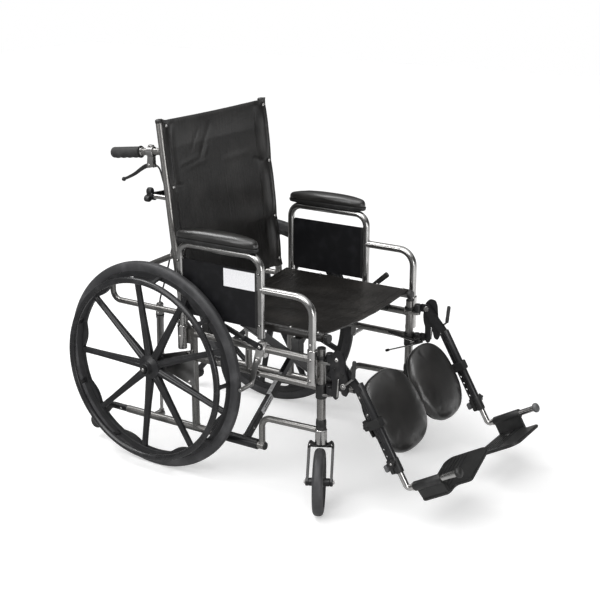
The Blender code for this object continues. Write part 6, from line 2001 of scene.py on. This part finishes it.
def fork(side):
    turn = caster_turn(side)
    axle = Vector((0, -CASTER_TRAIL, CASTER_R))
    made = Piece("fork", side, "caster_fork", "black_steel")
    made.add(ENAMEL, crown_shell(), *caster_leg(1), *caster_leg(-1), to=turn)
    made.add(
        PLATED,
        tube([(0, 0, CROWN_TOP - 0.002), (0, 0, CROWN_TOP + 0.034)], 0.0059, sides=24),
        pin((-CASTER_TRAIL, CASTER_R), -FORK_HALF - 0.0058, FORK_HALF + 0.0058, 0.0039),
        to=turn,
    )
    nuts = [(axle + Vector((way * (FORK_HALF + 0.0012), 0, 0)), (way, 0, 0)) for way in (1, -1)]
    caps = [
        ((way * (FORK_HALF - 0.006), -0.0122, CROWN_TOP + 0.001), (way * 0.3, -1, 0.3)) for way in (1, -1)
    ]
    made.screw(0.0060, *nuts, head=hex_head, to=turn)
    made.screw(0.0024, *caps, to=turn)
    return made.place("caster_fork")


def caster_spoke():
    """A flat spoke of the small wheel up +Z, dished on both faces."""
    rings = []
    for distance, wide, thick in (
        (0.012, 0.0072, 0.0066), (0.024, 0.0052, 0.0058), (0.044, 0.0054, 0.0052), (0.062, 0.0078, 0.0058)
    ):
        corners = ((-1, -0.7), (-0.6, -1), (0.6, -1), (1, -0.7), (1, 0.7), (0.6, 1), (-0.6, 1), (-1, 0.7))
        rings.append([Vector((v * thick, u * wide, distance)) for u, v in corners])
    return loft(rings)


def small_wheel(side):
    turn = caster_turn(side)
    to = turn @ Matrix.Translation((0, -CASTER_TRAIL, CASTER_R)) @ ALONG_X
    tread_half = [
        (0.0665, 0.0112), (0.0685, 0.0138), (0.0740, 0.0147), (0.0800, 0.0142), (0.0850, 0.0122),
        (0.0885, 0.0085), (0.0896, 0.0050),
    ]
    rim_half = [(0.0592, 0.0062), (0.0600, 0.0085), (0.0640, 0.0108), (0.0672, 0.0116), (0.0680, 0.0080)]
    hub_half = [(0.0043, 0.0286), (0.0095, 0.0286), (0.0108, 0.0274), (0.0112, 0.0120), (0.0165, 0.0075)]
    wheel = Piece("small_wheel", side, "caster_wheel", "tyre")
    wheel.add(TYRE, turned(both_halves(tread_half, (CASTER_R, 0.0)), to, 96, closed=True))
    spokes = round_axle(caster_spoke(), 7, 0.35, WHEEL_PLASTIC, (0, 0, 0))
    wheel.add(
        WHEEL_PLASTIC,
        turned(both_halves(rim_half), to, 96, closed=True),
        turned(both_halves(hub_half), to, 48, closed=True),
    )
    wheel.add(WHEEL_PLASTIC, spokes, to=turn @ Matrix.Translation((0, -CASTER_TRAIL, CASTER_R)))
    return wheel.place("caster_wheel")


both_sides(fork, small_wheel)

# %% [markdown]
# A wheel lock clamps on the upper rail. Its bright clamp has ribs and two bolts, its hand lever is a
# strap with a moulded grip, and a plated arm swings a short knurled bar against the tyre. The two locks
# stand differently, as the photograph shows, so each side has its own lever angle.

# %% Wheel locks
LOCK_Y, LOCK_Z = LOCK_PIN = (-0.343, 0.415)
SHOE_PIN = (-0.333, 0.374)
LOCK_INNER = FRAME_X + RAIL + 0.0003
LOCK_BLADE = LOCK_INNER + 0.0034
SHOE_AT = (-math.sqrt(HUB_Z**2 - 0.005**2) - 0.0082, 0.300)
LOCK_TURN = {-1: math.radians(18.0), 1: math.radians(138.0)}
SHOE_TURN = {-1: 0.0, 1: math.radians(-12.0)}


def lock_base(side):
    base = Piece("lock_base", side, "frame", "black_steel")
    outline = hull([(*LOCK_PIN, 0.0120), (*SHOE_PIN, 0.0120)], 48)
    strap = plate(outline, LOCK_INNER, LOCK_INNER + 0.003, soft=0.0008)
    half = [
        (0.0116, -0.0140), (0.0140, -0.0140), (0.0148, -0.0130), (0.0148, -0.0065), (0.0138, -0.0058),
        (0.0138, -0.0042), (0.0148, -0.0035),
    ]
    clamp = turned(both_halves(half), aimed((FRAME_X, LOCK_Y, UPPER_Z), (0, 1, 0)), 40, closed=True)
    ears = box(
        (FRAME_X - 0.0075, LOCK_Y - 0.0125, UPPER_Z - 0.0235),
        (FRAME_X + 0.0075, LOCK_Y + 0.0125, UPPER_Z - 0.0125),
        soft=0.0016,
        segments=3,
    )
    top = box(
        (FRAME_X - 0.0060, LOCK_Y - 0.0115, UPPER_Z + 0.0128),
        (FRAME_X + 0.0105, LOCK_Y + 0.0115, UPPER_Z + 0.0185),
        soft=0.0016,
        segments=3,
    )
    cap = LOCK_BLADE + 0.0038
    base.add(CAST, strap, clamp, ears, top)
    base.add(
        PLATED,
        *(pin(at, LOCK_INNER + 0.002, cap + 0.001, 0.0029) for at in (LOCK_PIN, SHOE_PIN)),
    )
    base.screw(0.0052, *(((cap, *at), (1, 0, 0)) for at in (LOCK_PIN, SHOE_PIN)))
    for radius, reach, z, way in (
        (0.0040, 0.006, UPPER_Z - 0.0235, -1), (0.0034, 0.0055, UPPER_Z + 0.0185, 1)
    ):
        ends = (LOCK_Y - reach, LOCK_Y + reach)
        base.screw(radius, *(((FRAME_X, y, z), (0, 0, way)) for y in ends), head=hex_head)
    return base.place("brake_base")


def about(at, angle):
    """A turn about X through the point (y, z)."""
    place = Matrix.Translation((0, *at))
    return place @ Matrix.Rotation(angle, 4, "X") @ place.inverted()


def lock_handle(side):
    outline = hull([(*LOCK_PIN, 0.0095), (LOCK_Y + 0.118, LOCK_Z, 0.0050)], 48)
    blade = plate(outline, LOCK_BLADE, LOCK_BLADE + 0.003, soft=0.0007)
    blade = drilled(blade, pin(LOCK_PIN, LOCK_BLADE - 0.01, LOCK_BLADE + 0.01, 0.0032))
    middle = LOCK_BLADE + 0.0015
    rings = []
    for i in range(49):
        s = i / 48
        y = LOCK_Y + 0.052 + s * 0.086
        end = min(
            1.0, math.sqrt(max(0.0, 1 - ((s - 0.94) / 0.06) ** 2))
        ) if s > 0.94 else min(1.0, 0.8 + s * 4)
        rib = 0.00045 * math.cos(2 * math.pi * 12 * s) if 0.2 < s < 0.9 else 0.0
        wide, high = 0.0040 * (0.35 + 0.65 * end) + rib, 0.0085 * (0.30 + 0.70 * end) * (0.84 + 0.16 * s)
        ring = []
        for a in ring_angles(24):
            u, v = squarish(a, 0.6)
            ring.append(Vector((middle + wide * u, y, LOCK_Z + high * v)))
        rings.append(ring)
    lever = Piece("lock_handle", side, "brake_lever", "black_steel")
    turn = about(LOCK_PIN, LOCK_TURN[side])
    lever.add(ENAMEL, blade, to=turn)
    lever.add(BLACK_PLASTIC, loft(rings), to=turn)
    return lever.place("brake_lever")


def lock_arm(side):
    turn = about(SHOE_PIN, SHOE_TURN[side])
    outline = hull([(*SHOE_PIN, 0.0095), (*SHOE_AT, 0.0080)], 48)
    strap = plate(outline, LOCK_BLADE, LOCK_BLADE + 0.003, soft=0.0007)
    strap = drilled(strap, pin(SHOE_PIN, LOCK_BLADE - 0.01, LOCK_BLADE + 0.01, 0.0032))
    knurl = round_outline(SHOE_AT, 0.0060, 24, 0.0005)
    arm = Piece("lock_arm", side, "brake_shoe", "zinc")
    arm.add(ZINC, strap, plate(knurl, LOCK_BLADE + 0.004, WHEEL_X + 0.0125, soft=0), to=turn)
    arm.add(PLATED, pin(SHOE_AT, LOCK_BLADE - 0.0005, WHEEL_X + 0.0130, 0.0044), to=turn)
    arm.screw(0.0046, ((LOCK_BLADE + 0.0030, *SHOE_AT), (1, 0, 0)), head=hex_head, to=turn)
    return arm.place("brake_shoe")


def tip_guard(side):
    foot = (0.272, 0.052)
    route = [(FRAME_X, 0.1503, LOWER_Z), (FRAME_X, 0.215, LOWER_Z), (FRAME_X, *foot)]
    guard = Piece("tip_guard", side, "frame", "black_plastic")
    guard.add(ENAMEL, tube(route, 0.0099, 0.03, sides=28))
    guard.screw(0.0036, ((FRAME_X + 0.0096, 0.170, LOWER_Z), (1, 0, 0)))
    half = [
        (0.0040, -0.0125), (0.0180, -0.0125), (0.0208, -0.0112), (0.0219, -0.0080), (0.0205, -0.0050),
        (0.0219, -0.0020),
    ]
    guard.add(GRIP_RUBBER, turned(both_halves(half), aimed((FRAME_X, *foot), (1, 0, 0)), 48, closed=True))
    guard.add(PLATED, pin(foot, FRAME_X - 0.0129, FRAME_X + 0.0129, 0.0042))
    return guard.place("anti_tipper")


both_sides(lock_base, lock_handle, lock_arm, tip_guard)

# %% [markdown]
# A leg rest hangs on two pins of the front post. A pair of pressed plates carries the elevating bar,
# which is a round sleeve with a perforated strip behind it. The bright foot rod slides in the sleeve and
# turns forward as the footplate's hinge, and a hand nut and a square knob lock its length and the calf
# pad's height.

# %% Leg rest: hanger, bar and rod
ELEVATION = (-0.583, 0.425)
RELEASE = (-0.611, 0.360)
PLATE_IN, PLATE_OUT = FRAME_X + 0.015, FRAME_X + 0.020
BAR_X, FOOT_AT, SLEEVE_FORWARD = LEG_START.x + 0.0005, 0.385, 0.008


def round_corners(outline, radius, steps=5):
    """A closed outline with its corners rounded, each by no more than its shorter edge allows."""
    points = [Vector((u, v, 0)) for u, v in outline]
    made = []
    for before, corner, after in zip(points[-1:] + points[:-1], points, points[1:] + points[:1]):
        reach = min(radius, 0.45 * (before - corner).length, 0.45 * (after - corner).length)
        start = corner + (before - corner).normalized() * reach
        end = corner + (after - corner).normalized() * reach
        for k in range(steps + 1):
            t = k / steps
            point = start * (1 - t) ** 2 + corner * 2 * t * (1 - t) + end * t**2
            made.append((point.x, point.y))
    return made


HANDLE_RODS = (
    (((0.2285, -0.470, 0.3395), (0.2285, -0.5560, 0.3290)), 0.0030, BLACK_PLASTIC),
    (((0.2285, -0.478, 0.3350), (0.2285, -0.5560, 0.3250)), 0.0018, PLATED),
    (((0.2285, -0.465, 0.2790), (0.2285, -0.5560, 0.3160)), 0.0022, PLATED),
    (((0.2285, -0.463, 0.2782), (0.2285, -0.4735, 0.2825)), 0.0042, BLACK_PLASTIC),
    (((0.2275, -0.5560, 0.3330), (0.2600, -0.5680, 0.3330)), 0.0045, BLACK_PLASTIC),
    (((0.2275, -0.5560, 0.3180), (0.2600, -0.5680, 0.3180)), 0.0045, BLACK_PLASTIC),
)


def hanger(side):
    outline = [
        (-0.5690, 0.378), (-0.5665, 0.398), (-0.5690, 0.418), (-0.575, 0.441), (-0.588, 0.4535),
        (-0.606, 0.4520), (-0.613, 0.436), (-0.616, 0.402), (-0.6235, 0.380), (-0.6240, 0.345),
        (-0.617, 0.3300), (-0.606, 0.3330), (-0.6005, 0.352), (-0.5940, 0.372), (-0.5930, 0.322),
        (-0.584, 0.3140), (-0.5750, 0.322), (-0.5740, 0.366),
    ]
    made = Piece("hanger", side, "leg_hanger", "black_steel")
    made.add(ENAMEL, plate(round_corners(outline, 0.006), PLATE_IN, PLATE_IN + 0.0022, soft=0.0006))
    inset = [
        (u + (0.0016 if u < -0.59 else -0.0012), v + (0.0016 if v < 0.4 else -0.0016)) for u, v in outline
    ]
    made.add(ENAMEL, plate(round_corners(inset, 0.006), PLATE_IN + 0.001, PLATE_OUT, soft=0.0008))
    for z in HOOK_ZS:
        low = z + 0.0073
        bottom = Vector((FRAME_X, HANGER_Y, low))
        ends, bore = [
            [bottom + Vector((0, 0, up)) for up in ups] for ups in ((0, 0.025), (-0.01, 0.0198))
        ]
        sleeve = drilled(tube(ends, 0.0099, sides=32, chamfer=0.0012), tube(bore, 0.0044))
        made.add(ENAMEL, sleeve, box(
            (FRAME_X + 0.004, HANGER_Y - 0.0225, low + 0.0022),
            (PLATE_OUT - 0.001, HANGER_Y - 0.0032, low + 0.0228),
            soft=0.0014,
        ))
    made.add(
        PLATED,
        pin(ELEVATION, BAR_X - 0.0018, PLATE_IN + 0.001, 0.0049),
        pin(ELEVATION, BAR_X - 0.0038, BAR_X - 0.0009, 0.0088, 6),
        pin(RELEASE, PLATE_OUT - 0.001, PLATE_OUT + 0.0078, 0.0029),
    )
    made.screw(0.0062, ((PLATE_OUT, -0.588, 0.428), (1, 0, 0)))
    made.screw(
        0.0040, ((PLATE_OUT, -0.606, 0.389), (1, 0, 0)), ((PLATE_OUT, -0.580, 0.400), (1, 0, 0)),
        head=hex_head, finish=BLACK_PLASTIC,
    )
    x = PLATE_OUT + 0.0022
    made.add(PLATED, tube([(x, -0.5956, 0.377), (x, -0.5920, 0.326)], 0.0020, sides=14))
    if side > 0:
        for route, radius, finish in HANDLE_RODS:
            made.add(finish, tube(route, radius, sides=16))
    return made.place("leg_hanger")


def lifting_bar(side):
    knee = leg(0, 0.003, 0.100)
    to = leg_frame()
    elbow = (RELEASE[0] + 0.006, RELEASE[1] + 0.034, 0.011)
    crank = hull([(*ELEVATION, 0.012), elbow, (knee.y, knee.z, 0.010)], 48)
    crank = drilled(
        plate(crank, BAR_X, BAR_X + 0.010, soft=0.0012),
        pin(ELEVATION, BAR_X - 0.01, BAR_X + 0.02, 0.0053),
    )
    strip = box((-0.0020, -0.0140, 0.089), (0.0020, 0.0, 0.339), to, soft=0.0006)
    downs = [0.329 - 0.020 * i for i in range(6)]
    holes = [
        tube([leg(-0.01, -0.0090, down), leg(0.01, -0.0090, down)], 0.0027, sides=16) for down in downs
    ]
    sleeve = [
        (0.0004, 0.0850), (0.0092, 0.0855), (0.0100, 0.087), (0.0100, 0.3330), (0.0096, 0.3345),
        (0.0086, 0.3345), (0.0086, 0.125), (0.0004, 0.124),
    ]
    wrap = [
        (0.0088, 0.2990), (0.0112, 0.2995), (0.0118, 0.3010), (0.0118, 0.3370), (0.0110, 0.3390),
        (0.0088, 0.3390),
    ]
    bar = Piece("lifting_bar", side, "leg_bar", "black_steel")
    bar.add(ENAMEL, crank, drilled(strip, *holes))
    about_sleeve = to @ Matrix.Translation((0, SLEEVE_FORWARD, 0))
    bar.add(ENAMEL, turned(sleeve, about_sleeve, 36))
    bar.add(BLACK_PLASTIC, turned(wrap, about_sleeve, 36, closed=True))
    clamp = box((-0.0062, -0.0165, 0.300), (0.0062, -0.0030, 0.338), to, soft=0.0014)
    bar.add(BLACK_PLASTIC, clamp)
    square = box((-0.0095, -0.0290, 0.309), (0.0095, -0.0180, 0.328), to, soft=0.0022, segments=3)
    bar.add(
        GREY_PLASTIC, square, tube([leg(0, -0.0150, 0.3185), leg(0, -0.0195, 0.3185)], 0.0052, sides=24)
    )
    at = leg(0.0105, SLEEVE_FORWARD, 0.307)
    stations = ((0.0, 0.0105), (0.002, 0.0112), (0.0110, 0.0112), (0.0130, 0.0100))
    bar.add(BLACK_PLASTIC, star_knob(at, LEFTWARD, (LEG_FORWARD, LEG_DOWN), stations, 5, 0.14, 48))
    bar.screw(0.0034, (at + Vector((0.0130, 0, 0)), (1, 0, 0)))
    bar.screw(0.0058, ((BAR_X - 0.0002, *ELEVATION), (-1, 0, 0)))
    bar.screw(0.0040, *((leg(0.0020, -0.0090, down), (1, 0, 0)) for down in (0.120, 0.170)), finish=ZINC)
    return bar.place("leg_bar")


def foot_rod(side):
    corner = leg(0, SLEEVE_FORWARD, FOOT_AT)
    end = leg(0, 0.166, FOOT_AT)
    rod = Piece("foot_rod", side, "foot_tube", "chrome")
    rod.add(PLATED, tube(
        [leg(0, SLEEVE_FORWARD, 0.175), corner, end + LEG_FORWARD * 0.002], 0.0083, 0.010, sides=32
    ))
    knob = [
        (0.0082, 0.0), (0.0112, 0.0008), (0.0132, 0.0030), (0.0140, 0.0062), (0.0134, 0.0098),
        (0.0110, 0.0128), (0.0070, 0.0144), (0.0004, 0.0150),
    ]
    rod.add(BLACK_PLASTIC if side < 0 else GREY_PLASTIC, turned(knob, aimed(end, LEG_FORWARD), 40))
    rod.add(PLATED, tube([leg(0, 0.0300, FOOT_AT), leg(0, 0.0245, FOOT_AT)], 0.0098, sides=28))
    return rod.place("foot_tube")


both_sides(hanger, lifting_bar, foot_rod)

# %% [markdown]
# The footplate is one moulding: a tread with raised ribs and rounded corners, and a long barrel that
# turns on the foot rod. A bright clip with a rivet stops it when it is down. It is drawn flat, then
# turned to the angle at which each side's plate stands.


# %% Footplates
PLATE_TURN = {-1: math.radians(13.6), 1: 0.0}


def foot_turn(side):
    """The turn of a plate about its barrel, written for the left."""
    place = Matrix.Translation(leg(0, 0, FOOT_AT))
    return place @ Matrix.Rotation(-PLATE_TURN[side], 4, LEG_FORWARD) @ place.inverted()


def foot_board(side):
    to = foot_turn(side) @ leg_frame()
    low, high, inner = 0.423, 0.433, -0.184
    outline = [
        (0.006, 0.030), (0.006, 0.118), (-0.027, 0.124), (-0.027, 0.175), (inner + 0.018, 0.175),
        (inner, 0.157), (inner, 0.048), (inner + 0.018, 0.030),
    ]
    board = Piece("foot_board", side, "footplate", "black_plastic")
    board.add(
        BLACK_PLASTIC, plate(round_corners(outline, 0.012), low + 0.0012, high - 0.0004, to, soft=0.0022)
    )
    ribs = [
        box((inner + 0.014, v, low - 0.0002), (-0.012, v + 0.0028, low + 0.0022), to, soft=0.0005)
        for v in (0.044, 0.056, 0.068, 0.080, 0.092, 0.104)
    ]
    board.add(BLACK_PLASTIC, *ribs)
    barrel = [
        (0.0090, 0.0), (0.0121, 0.0), (0.0128, 0.0010), (0.0128, 0.0845), (0.0121, 0.0860),
        (0.0090, 0.0860),
    ]
    start = leg(0, 0.032, FOOT_AT)
    board.add(BLACK_PLASTIC, turned(barrel, foot_turn(side) @ aimed(start, LEG_FORWARD), 40, closed=True))
    board.add(BLACK_PLASTIC, box((-0.0108, 0.033, 0.389), (0.0030, 0.117, low + 0.004), to, soft=0.0016))
    board.add(PLATED, box((-0.050, 0.082, low - 0.0022), (-0.014, 0.090, low + 0.0018), to, soft=0.0008))
    button = [(0.0085, 0.003), (0.0085, -0.0006), (0.0070, -0.0032), (0.0035, -0.0042), (0.0003, -0.0044)]
    board.add(BLACK_PLASTIC, turned(button, to @ Matrix.Translation((-0.058, 0.086, low)), 32))
    return board.place("footplate")


# %% [markdown]
# The calf pad is a plump cushion with round corners on a back plate, which slides on the leg bar by a
# square clamp with a star knob behind. The plate's rim shows as a thin line round the vinyl. Each pad
# stands turned about its bar and tilted in its own plane, by angles taken from the photograph.


# %% Calf pads
CALF_X, CALF_BACK, CALF_AT = -0.115, -0.018, 0.199
CALF_WIDE, CALF_LONG, CALF_DEEP = 0.1065, 0.1165, 0.024
CALF_TURN = {-1: math.radians(-9.0), 1: math.radians(2.0)}
CALF_TILT = {-1: math.radians(-6.0), 1: math.radians(4.0)}


def calf_frame(side):
    """The leg's frame turned about its bar, by how far this side's pad stands swung."""
    pivot = Matrix.Translation((0, CALF_BACK, 0))
    middle = Matrix.Translation((CALF_X, 0, CALF_AT))
    tilted = middle @ Matrix.Rotation(CALF_TILT[side], 4, "Y") @ middle.inverted()
    return leg_frame() @ pivot @ Matrix.Rotation(CALF_TURN[side], 4, "Z") @ pivot.inverted() @ tilted


def calf_shell(shrink, depths):
    rings = []
    for depth, share in depths:
        ring = []
        for a in ring_angles(56, 0.5):
            u, v = squarish(a, 0.80)
            x, z = CALF_X + (CALF_WIDE * share - shrink) * u, CALF_AT + (CALF_LONG * share - shrink) * v
            ring.append(Vector((x, CALF_BACK + CALF_DEEP * depth, z)))
        rings.append(ring)
    return loft(rings)


calf_profile = (
    (-0.84, 0.90), (-0.62, 0.97), (-0.2, 0.99), (0.3, 0.97), (0.66, 0.87), (0.88, 0.70), (0.98, 0.45),
    (1.0, 0.2),
)
swelled_calf = inflated(
    calf_shell(0.003, calf_profile), 4.5, 0.0085, lambda point: point.y < CALF_BACK - 0.0185
)


def calf_cushion(side):
    pad = Piece("calf_cushion", side, "calf_pad", "vinyl")
    pad.add(PAD_VINYL, swelled_calf.copy(), to=calf_frame(side))
    made = pad.place("calf_pad", smooth_below=80.0)
    return made


def calf_clamp(side):
    to = leg_frame()
    back = CALF_BACK - CALF_DEEP
    clamp = Piece("calf_clamp", side, "calf_pad", "black_plastic")
    rim = calf_shell(0.0, ((-0.98, 0.86), (-0.94, 0.90), (-0.84, 0.905), (-0.80, 0.88)))
    clamp.add(BLACK_PLASTIC, rim, to=calf_frame(side))
    wall = box(
        (-0.0132, -0.0170, CALF_AT - 0.014), (0.0132, 0.0205, CALF_AT + 0.012), to, soft=0.0016,
        segments=3,
    )
    bore = box((-0.0106, -0.0144, CALF_AT - 0.03), (0.0106, 0.0184, CALF_AT + 0.03), to, soft=0)
    clamp.add(BLACK_PLASTIC, drilled(wall, bore))
    slab = box(
        (CALF_X - 0.030, back - 0.005, CALF_AT - 0.025),
        (-0.015, back + 0.004, CALF_AT + 0.025),
        soft=0.0012,
    )
    clamp.add(BLACK_PLASTIC, slab, to=calf_frame(side))
    neck = box(
        (-0.028, back - 0.004, CALF_AT - 0.015), (-0.0125, -0.0070, CALF_AT + 0.009), to, soft=0.0012
    )
    clamp.add(BLACK_PLASTIC, neck)
    stations = ((0.0, 0.0100), (0.0015, 0.0118), (0.0120, 0.0120), (0.0150, 0.0108), (0.0155, 0.0060))
    knob = star_knob(leg(0, -0.0190, CALF_AT), -LEG_FORWARD, (LEFTWARD, LEG_DOWN), stations, 6, 0.12, 60)
    clamp.add(BLACK_PLASTIC, knob)
    clamp.add(PLATED, tube([leg(0, -0.0160, CALF_AT), leg(0, -0.0200, CALF_AT)], 0.0050, sides=20))
    spots = [calf_frame(side) @ Vector((CALF_X, back - 0.005, CALF_AT + up)) for up in (-0.012, 0.012)]
    clamp.screw(0.0042, *((at, -LEG_FORWARD) for at in spots))
    return clamp.place()


def release_lever(side):
    start = PLATE_OUT + 0.0004
    x = start + 0.003
    grip = Vector((x, RELEASE[0] - 0.030, RELEASE[1] + 0.028))
    end = Vector((x + 0.002, RELEASE[0] - 0.034, RELEASE[1] + 0.079))
    lever = Piece("release_lever", side, "leg_release", "black_plastic")
    hub = drilled(
        pin(RELEASE, start, start + 0.0060, 0.0080, 32), pin(RELEASE, start - 0.01, start + 0.02, 0.0031)
    )
    lever.add(ZINC, hub, tube([(x, *RELEASE), grip], 0.0028, sides=16))
    profile = [
        (0.0034, 0.0), (0.0048, 0.0012), (0.0055, 0.006), (0.0052, 0.020), (0.0055, 0.036),
        (0.0054, 0.0475), (0.0040, 0.0508), (0.0004, 0.0515),
    ]
    lever.add(GRIP_RUBBER, turned(profile, aimed(grip - (end - grip) * 0.02, end - grip), 28))
    return lever.place("leg_release")


both_sides(foot_board, calf_cushion, calf_clamp, release_lever)
swelled_calf.free()

# %% [markdown]
# The photograph is a catalogue picture on pure white with a soft key light from the left. The floor is a
# plain pale plane that keeps the shadow. In reflections alone its colour is a painted slope of light,
# brighter from the chair's right rear to its left front, and this painted light gives the tubes a dark and
# a bright flank. The world is white where the camera or a reflection looks at it, and a quieter grey as a
# light, so that blacks stay black and the silver still has something to mirror.


# %% Floor, world and lamps
PAINTED_LIGHT_SLOPE, FLOOR_GLOW = (0.8, -0.6, 0), 0.36


def floor_finish():
    """Pale and matt, with a little glow to the camera and a painted slope of light that only reflections
    see.
    """
    material = bpy.data.materials.new("pale_floor")
    material.use_nodes = True
    tree = material.node_tree
    shader, output = tree.nodes["Principled BSDF"], tree.nodes["Material Output"]
    shader.inputs["Base Color"].default_value = (0.80, 0.80, 0.80, 1)
    shader.inputs["Roughness"].default_value = 0.9
    shader.inputs["Specular IOR Level"].default_value = 0.1
    where = tree_node(tree, "ShaderNodeTexCoord", {})
    # Painted light: what reflections see of the floor is its colour painted brighter towards the chair's
    # left front.
    slope = tree_node(
        tree,
        "ShaderNodeVectorMath",
        {0: where.outputs["Object"], 1: PAINTED_LIGHT_SLOPE},
        operation="DOT_PRODUCT",
    )
    limits = {"From Min": -0.9, "From Max": 1.1, "To Min": 0.20, "To Max": 1.0}
    ramp = tree_node(tree, "ShaderNodeMapRange", {"Value": slope.outputs["Value"], **limits})
    mirrored = tree_node(tree, "ShaderNodeBsdfDiffuse", {"Color": ramp.outputs["Result"]})
    path = tree_node(tree, "ShaderNodeLightPath", {})
    glow = tree_node(tree, "ShaderNodeEmission", {"Strength": FLOOR_GLOW})
    nothing = tree_node(tree, "ShaderNodeEmission", {"Strength": 0.0})
    seen = mixed_shaders(tree, path.outputs["Is Glossy Ray"], shader, mirrored)
    shining = mixed_shaders(tree, path.outputs["Is Camera Ray"], nothing, glow)
    both = tree_node(tree, "ShaderNodeAddShader", {0: seen.outputs[0], 1: shining.outputs[0]})
    tree.links.new(both.outputs[0], output.inputs["Surface"])
    return material


floor_shell = bmesh.new()
bmesh.ops.create_grid(floor_shell, x_segments=2, y_segments=2, size=9.0)
floor = linked("pale floor", floor_shell)
floor.data.materials.append(floor_finish())

GLOSSY_LEVELS = ((0.0, 0.25), (0.44, 0.34), (0.50, 0.26), (0.56, 0.10), (0.72, 0.045), (1.0, 0.03))


def studio_world(ambient):
    """White to the camera, a bright studio in reflections, and a quiet grey light."""
    world = bpy.data.worlds.new("studio")
    world.use_nodes = True
    tree = world.node_tree
    output, quiet = tree.nodes["World Output"], tree.nodes["Background"]
    quiet.inputs["Color"].default_value = (1, 1, 1, 1)
    quiet.inputs["Strength"].default_value = ambient
    where = tree_node(tree, "ShaderNodeTexCoord", {})
    split = tree_node(tree, "ShaderNodeSeparateXYZ", {0: where.outputs["Generated"]})
    half = tree_node(
        tree, "ShaderNodeMath", {0: split.outputs["Z"], 1: 0.5, 2: 0.5}, operation="MULTIPLY_ADD"
    )
    ramp = tree_node(tree, "ShaderNodeValToRGB", {0: half.outputs[0]})
    for place, level in GLOSSY_LEVELS:
        stop = ramp.color_ramp.elements.new(place)
        stop.color = (level, level, level, 1)
    for extra in (0, -1):
        ramp.color_ramp.elements.remove(ramp.color_ramp.elements[extra])
    mirrored = tree_node(tree, "ShaderNodeBackground", {"Color": ramp.outputs[0]})
    white = tree_node(tree, "ShaderNodeBackground", {"Color": (1, 1, 1, 1)})
    path = tree_node(tree, "ShaderNodeLightPath", {})
    first = mixed_shaders(tree, path.outputs["Is Glossy Ray"], quiet, mirrored)
    second = mixed_shaders(tree, path.outputs["Is Camera Ray"], first, white)
    tree.links.new(second.outputs[0], output.inputs["Surface"])
    bpy.context.scene.world = world


def softbox(name, at, aim, size, power):
    """A square area lamp at a place, turned towards another."""
    data = bpy.data.lights.new(name, "AREA")
    data.shape = "SQUARE"
    data.size = size
    data.energy = power
    lamp = bpy.data.objects.new(name, data)
    lamp.location = HUB + Vector(at)
    lamp.rotation_euler = (Vector(aim) - Vector(at)).to_track_quat("-Z", "Y").to_euler()
    bpy.context.scene.collection.objects.link(lamp)


def sunlight(towards, strength, spread):
    """An even key light with soft shadows, shining along a direction."""
    data = bpy.data.lights.new("key", "SUN")
    data.energy = strength
    data.angle = math.radians(spread)
    lamp = bpy.data.objects.new("key", data)
    lamp.rotation_euler = Vector(towards).to_track_quat("-Z", "Y").to_euler()
    bpy.context.scene.collection.objects.link(lamp)


studio_world(0.40)
sunlight((0.78, 0.12, -1.0), 1.7, 50)
softbox("overhead", (-0.5, 1.3, 2.9), (0, -0.2, 0.5), 1.2, 34)
softbox("left", (-3.2, 0.8, 1.6), (0, -0.2, 0.5), 1.3, 26)
softbox("front", (-1.6, -3.0, 0.7), (0, -0.5, 0.4), 1.0, 16)
bpy.context.scene.view_settings.view_transform = "Standard"
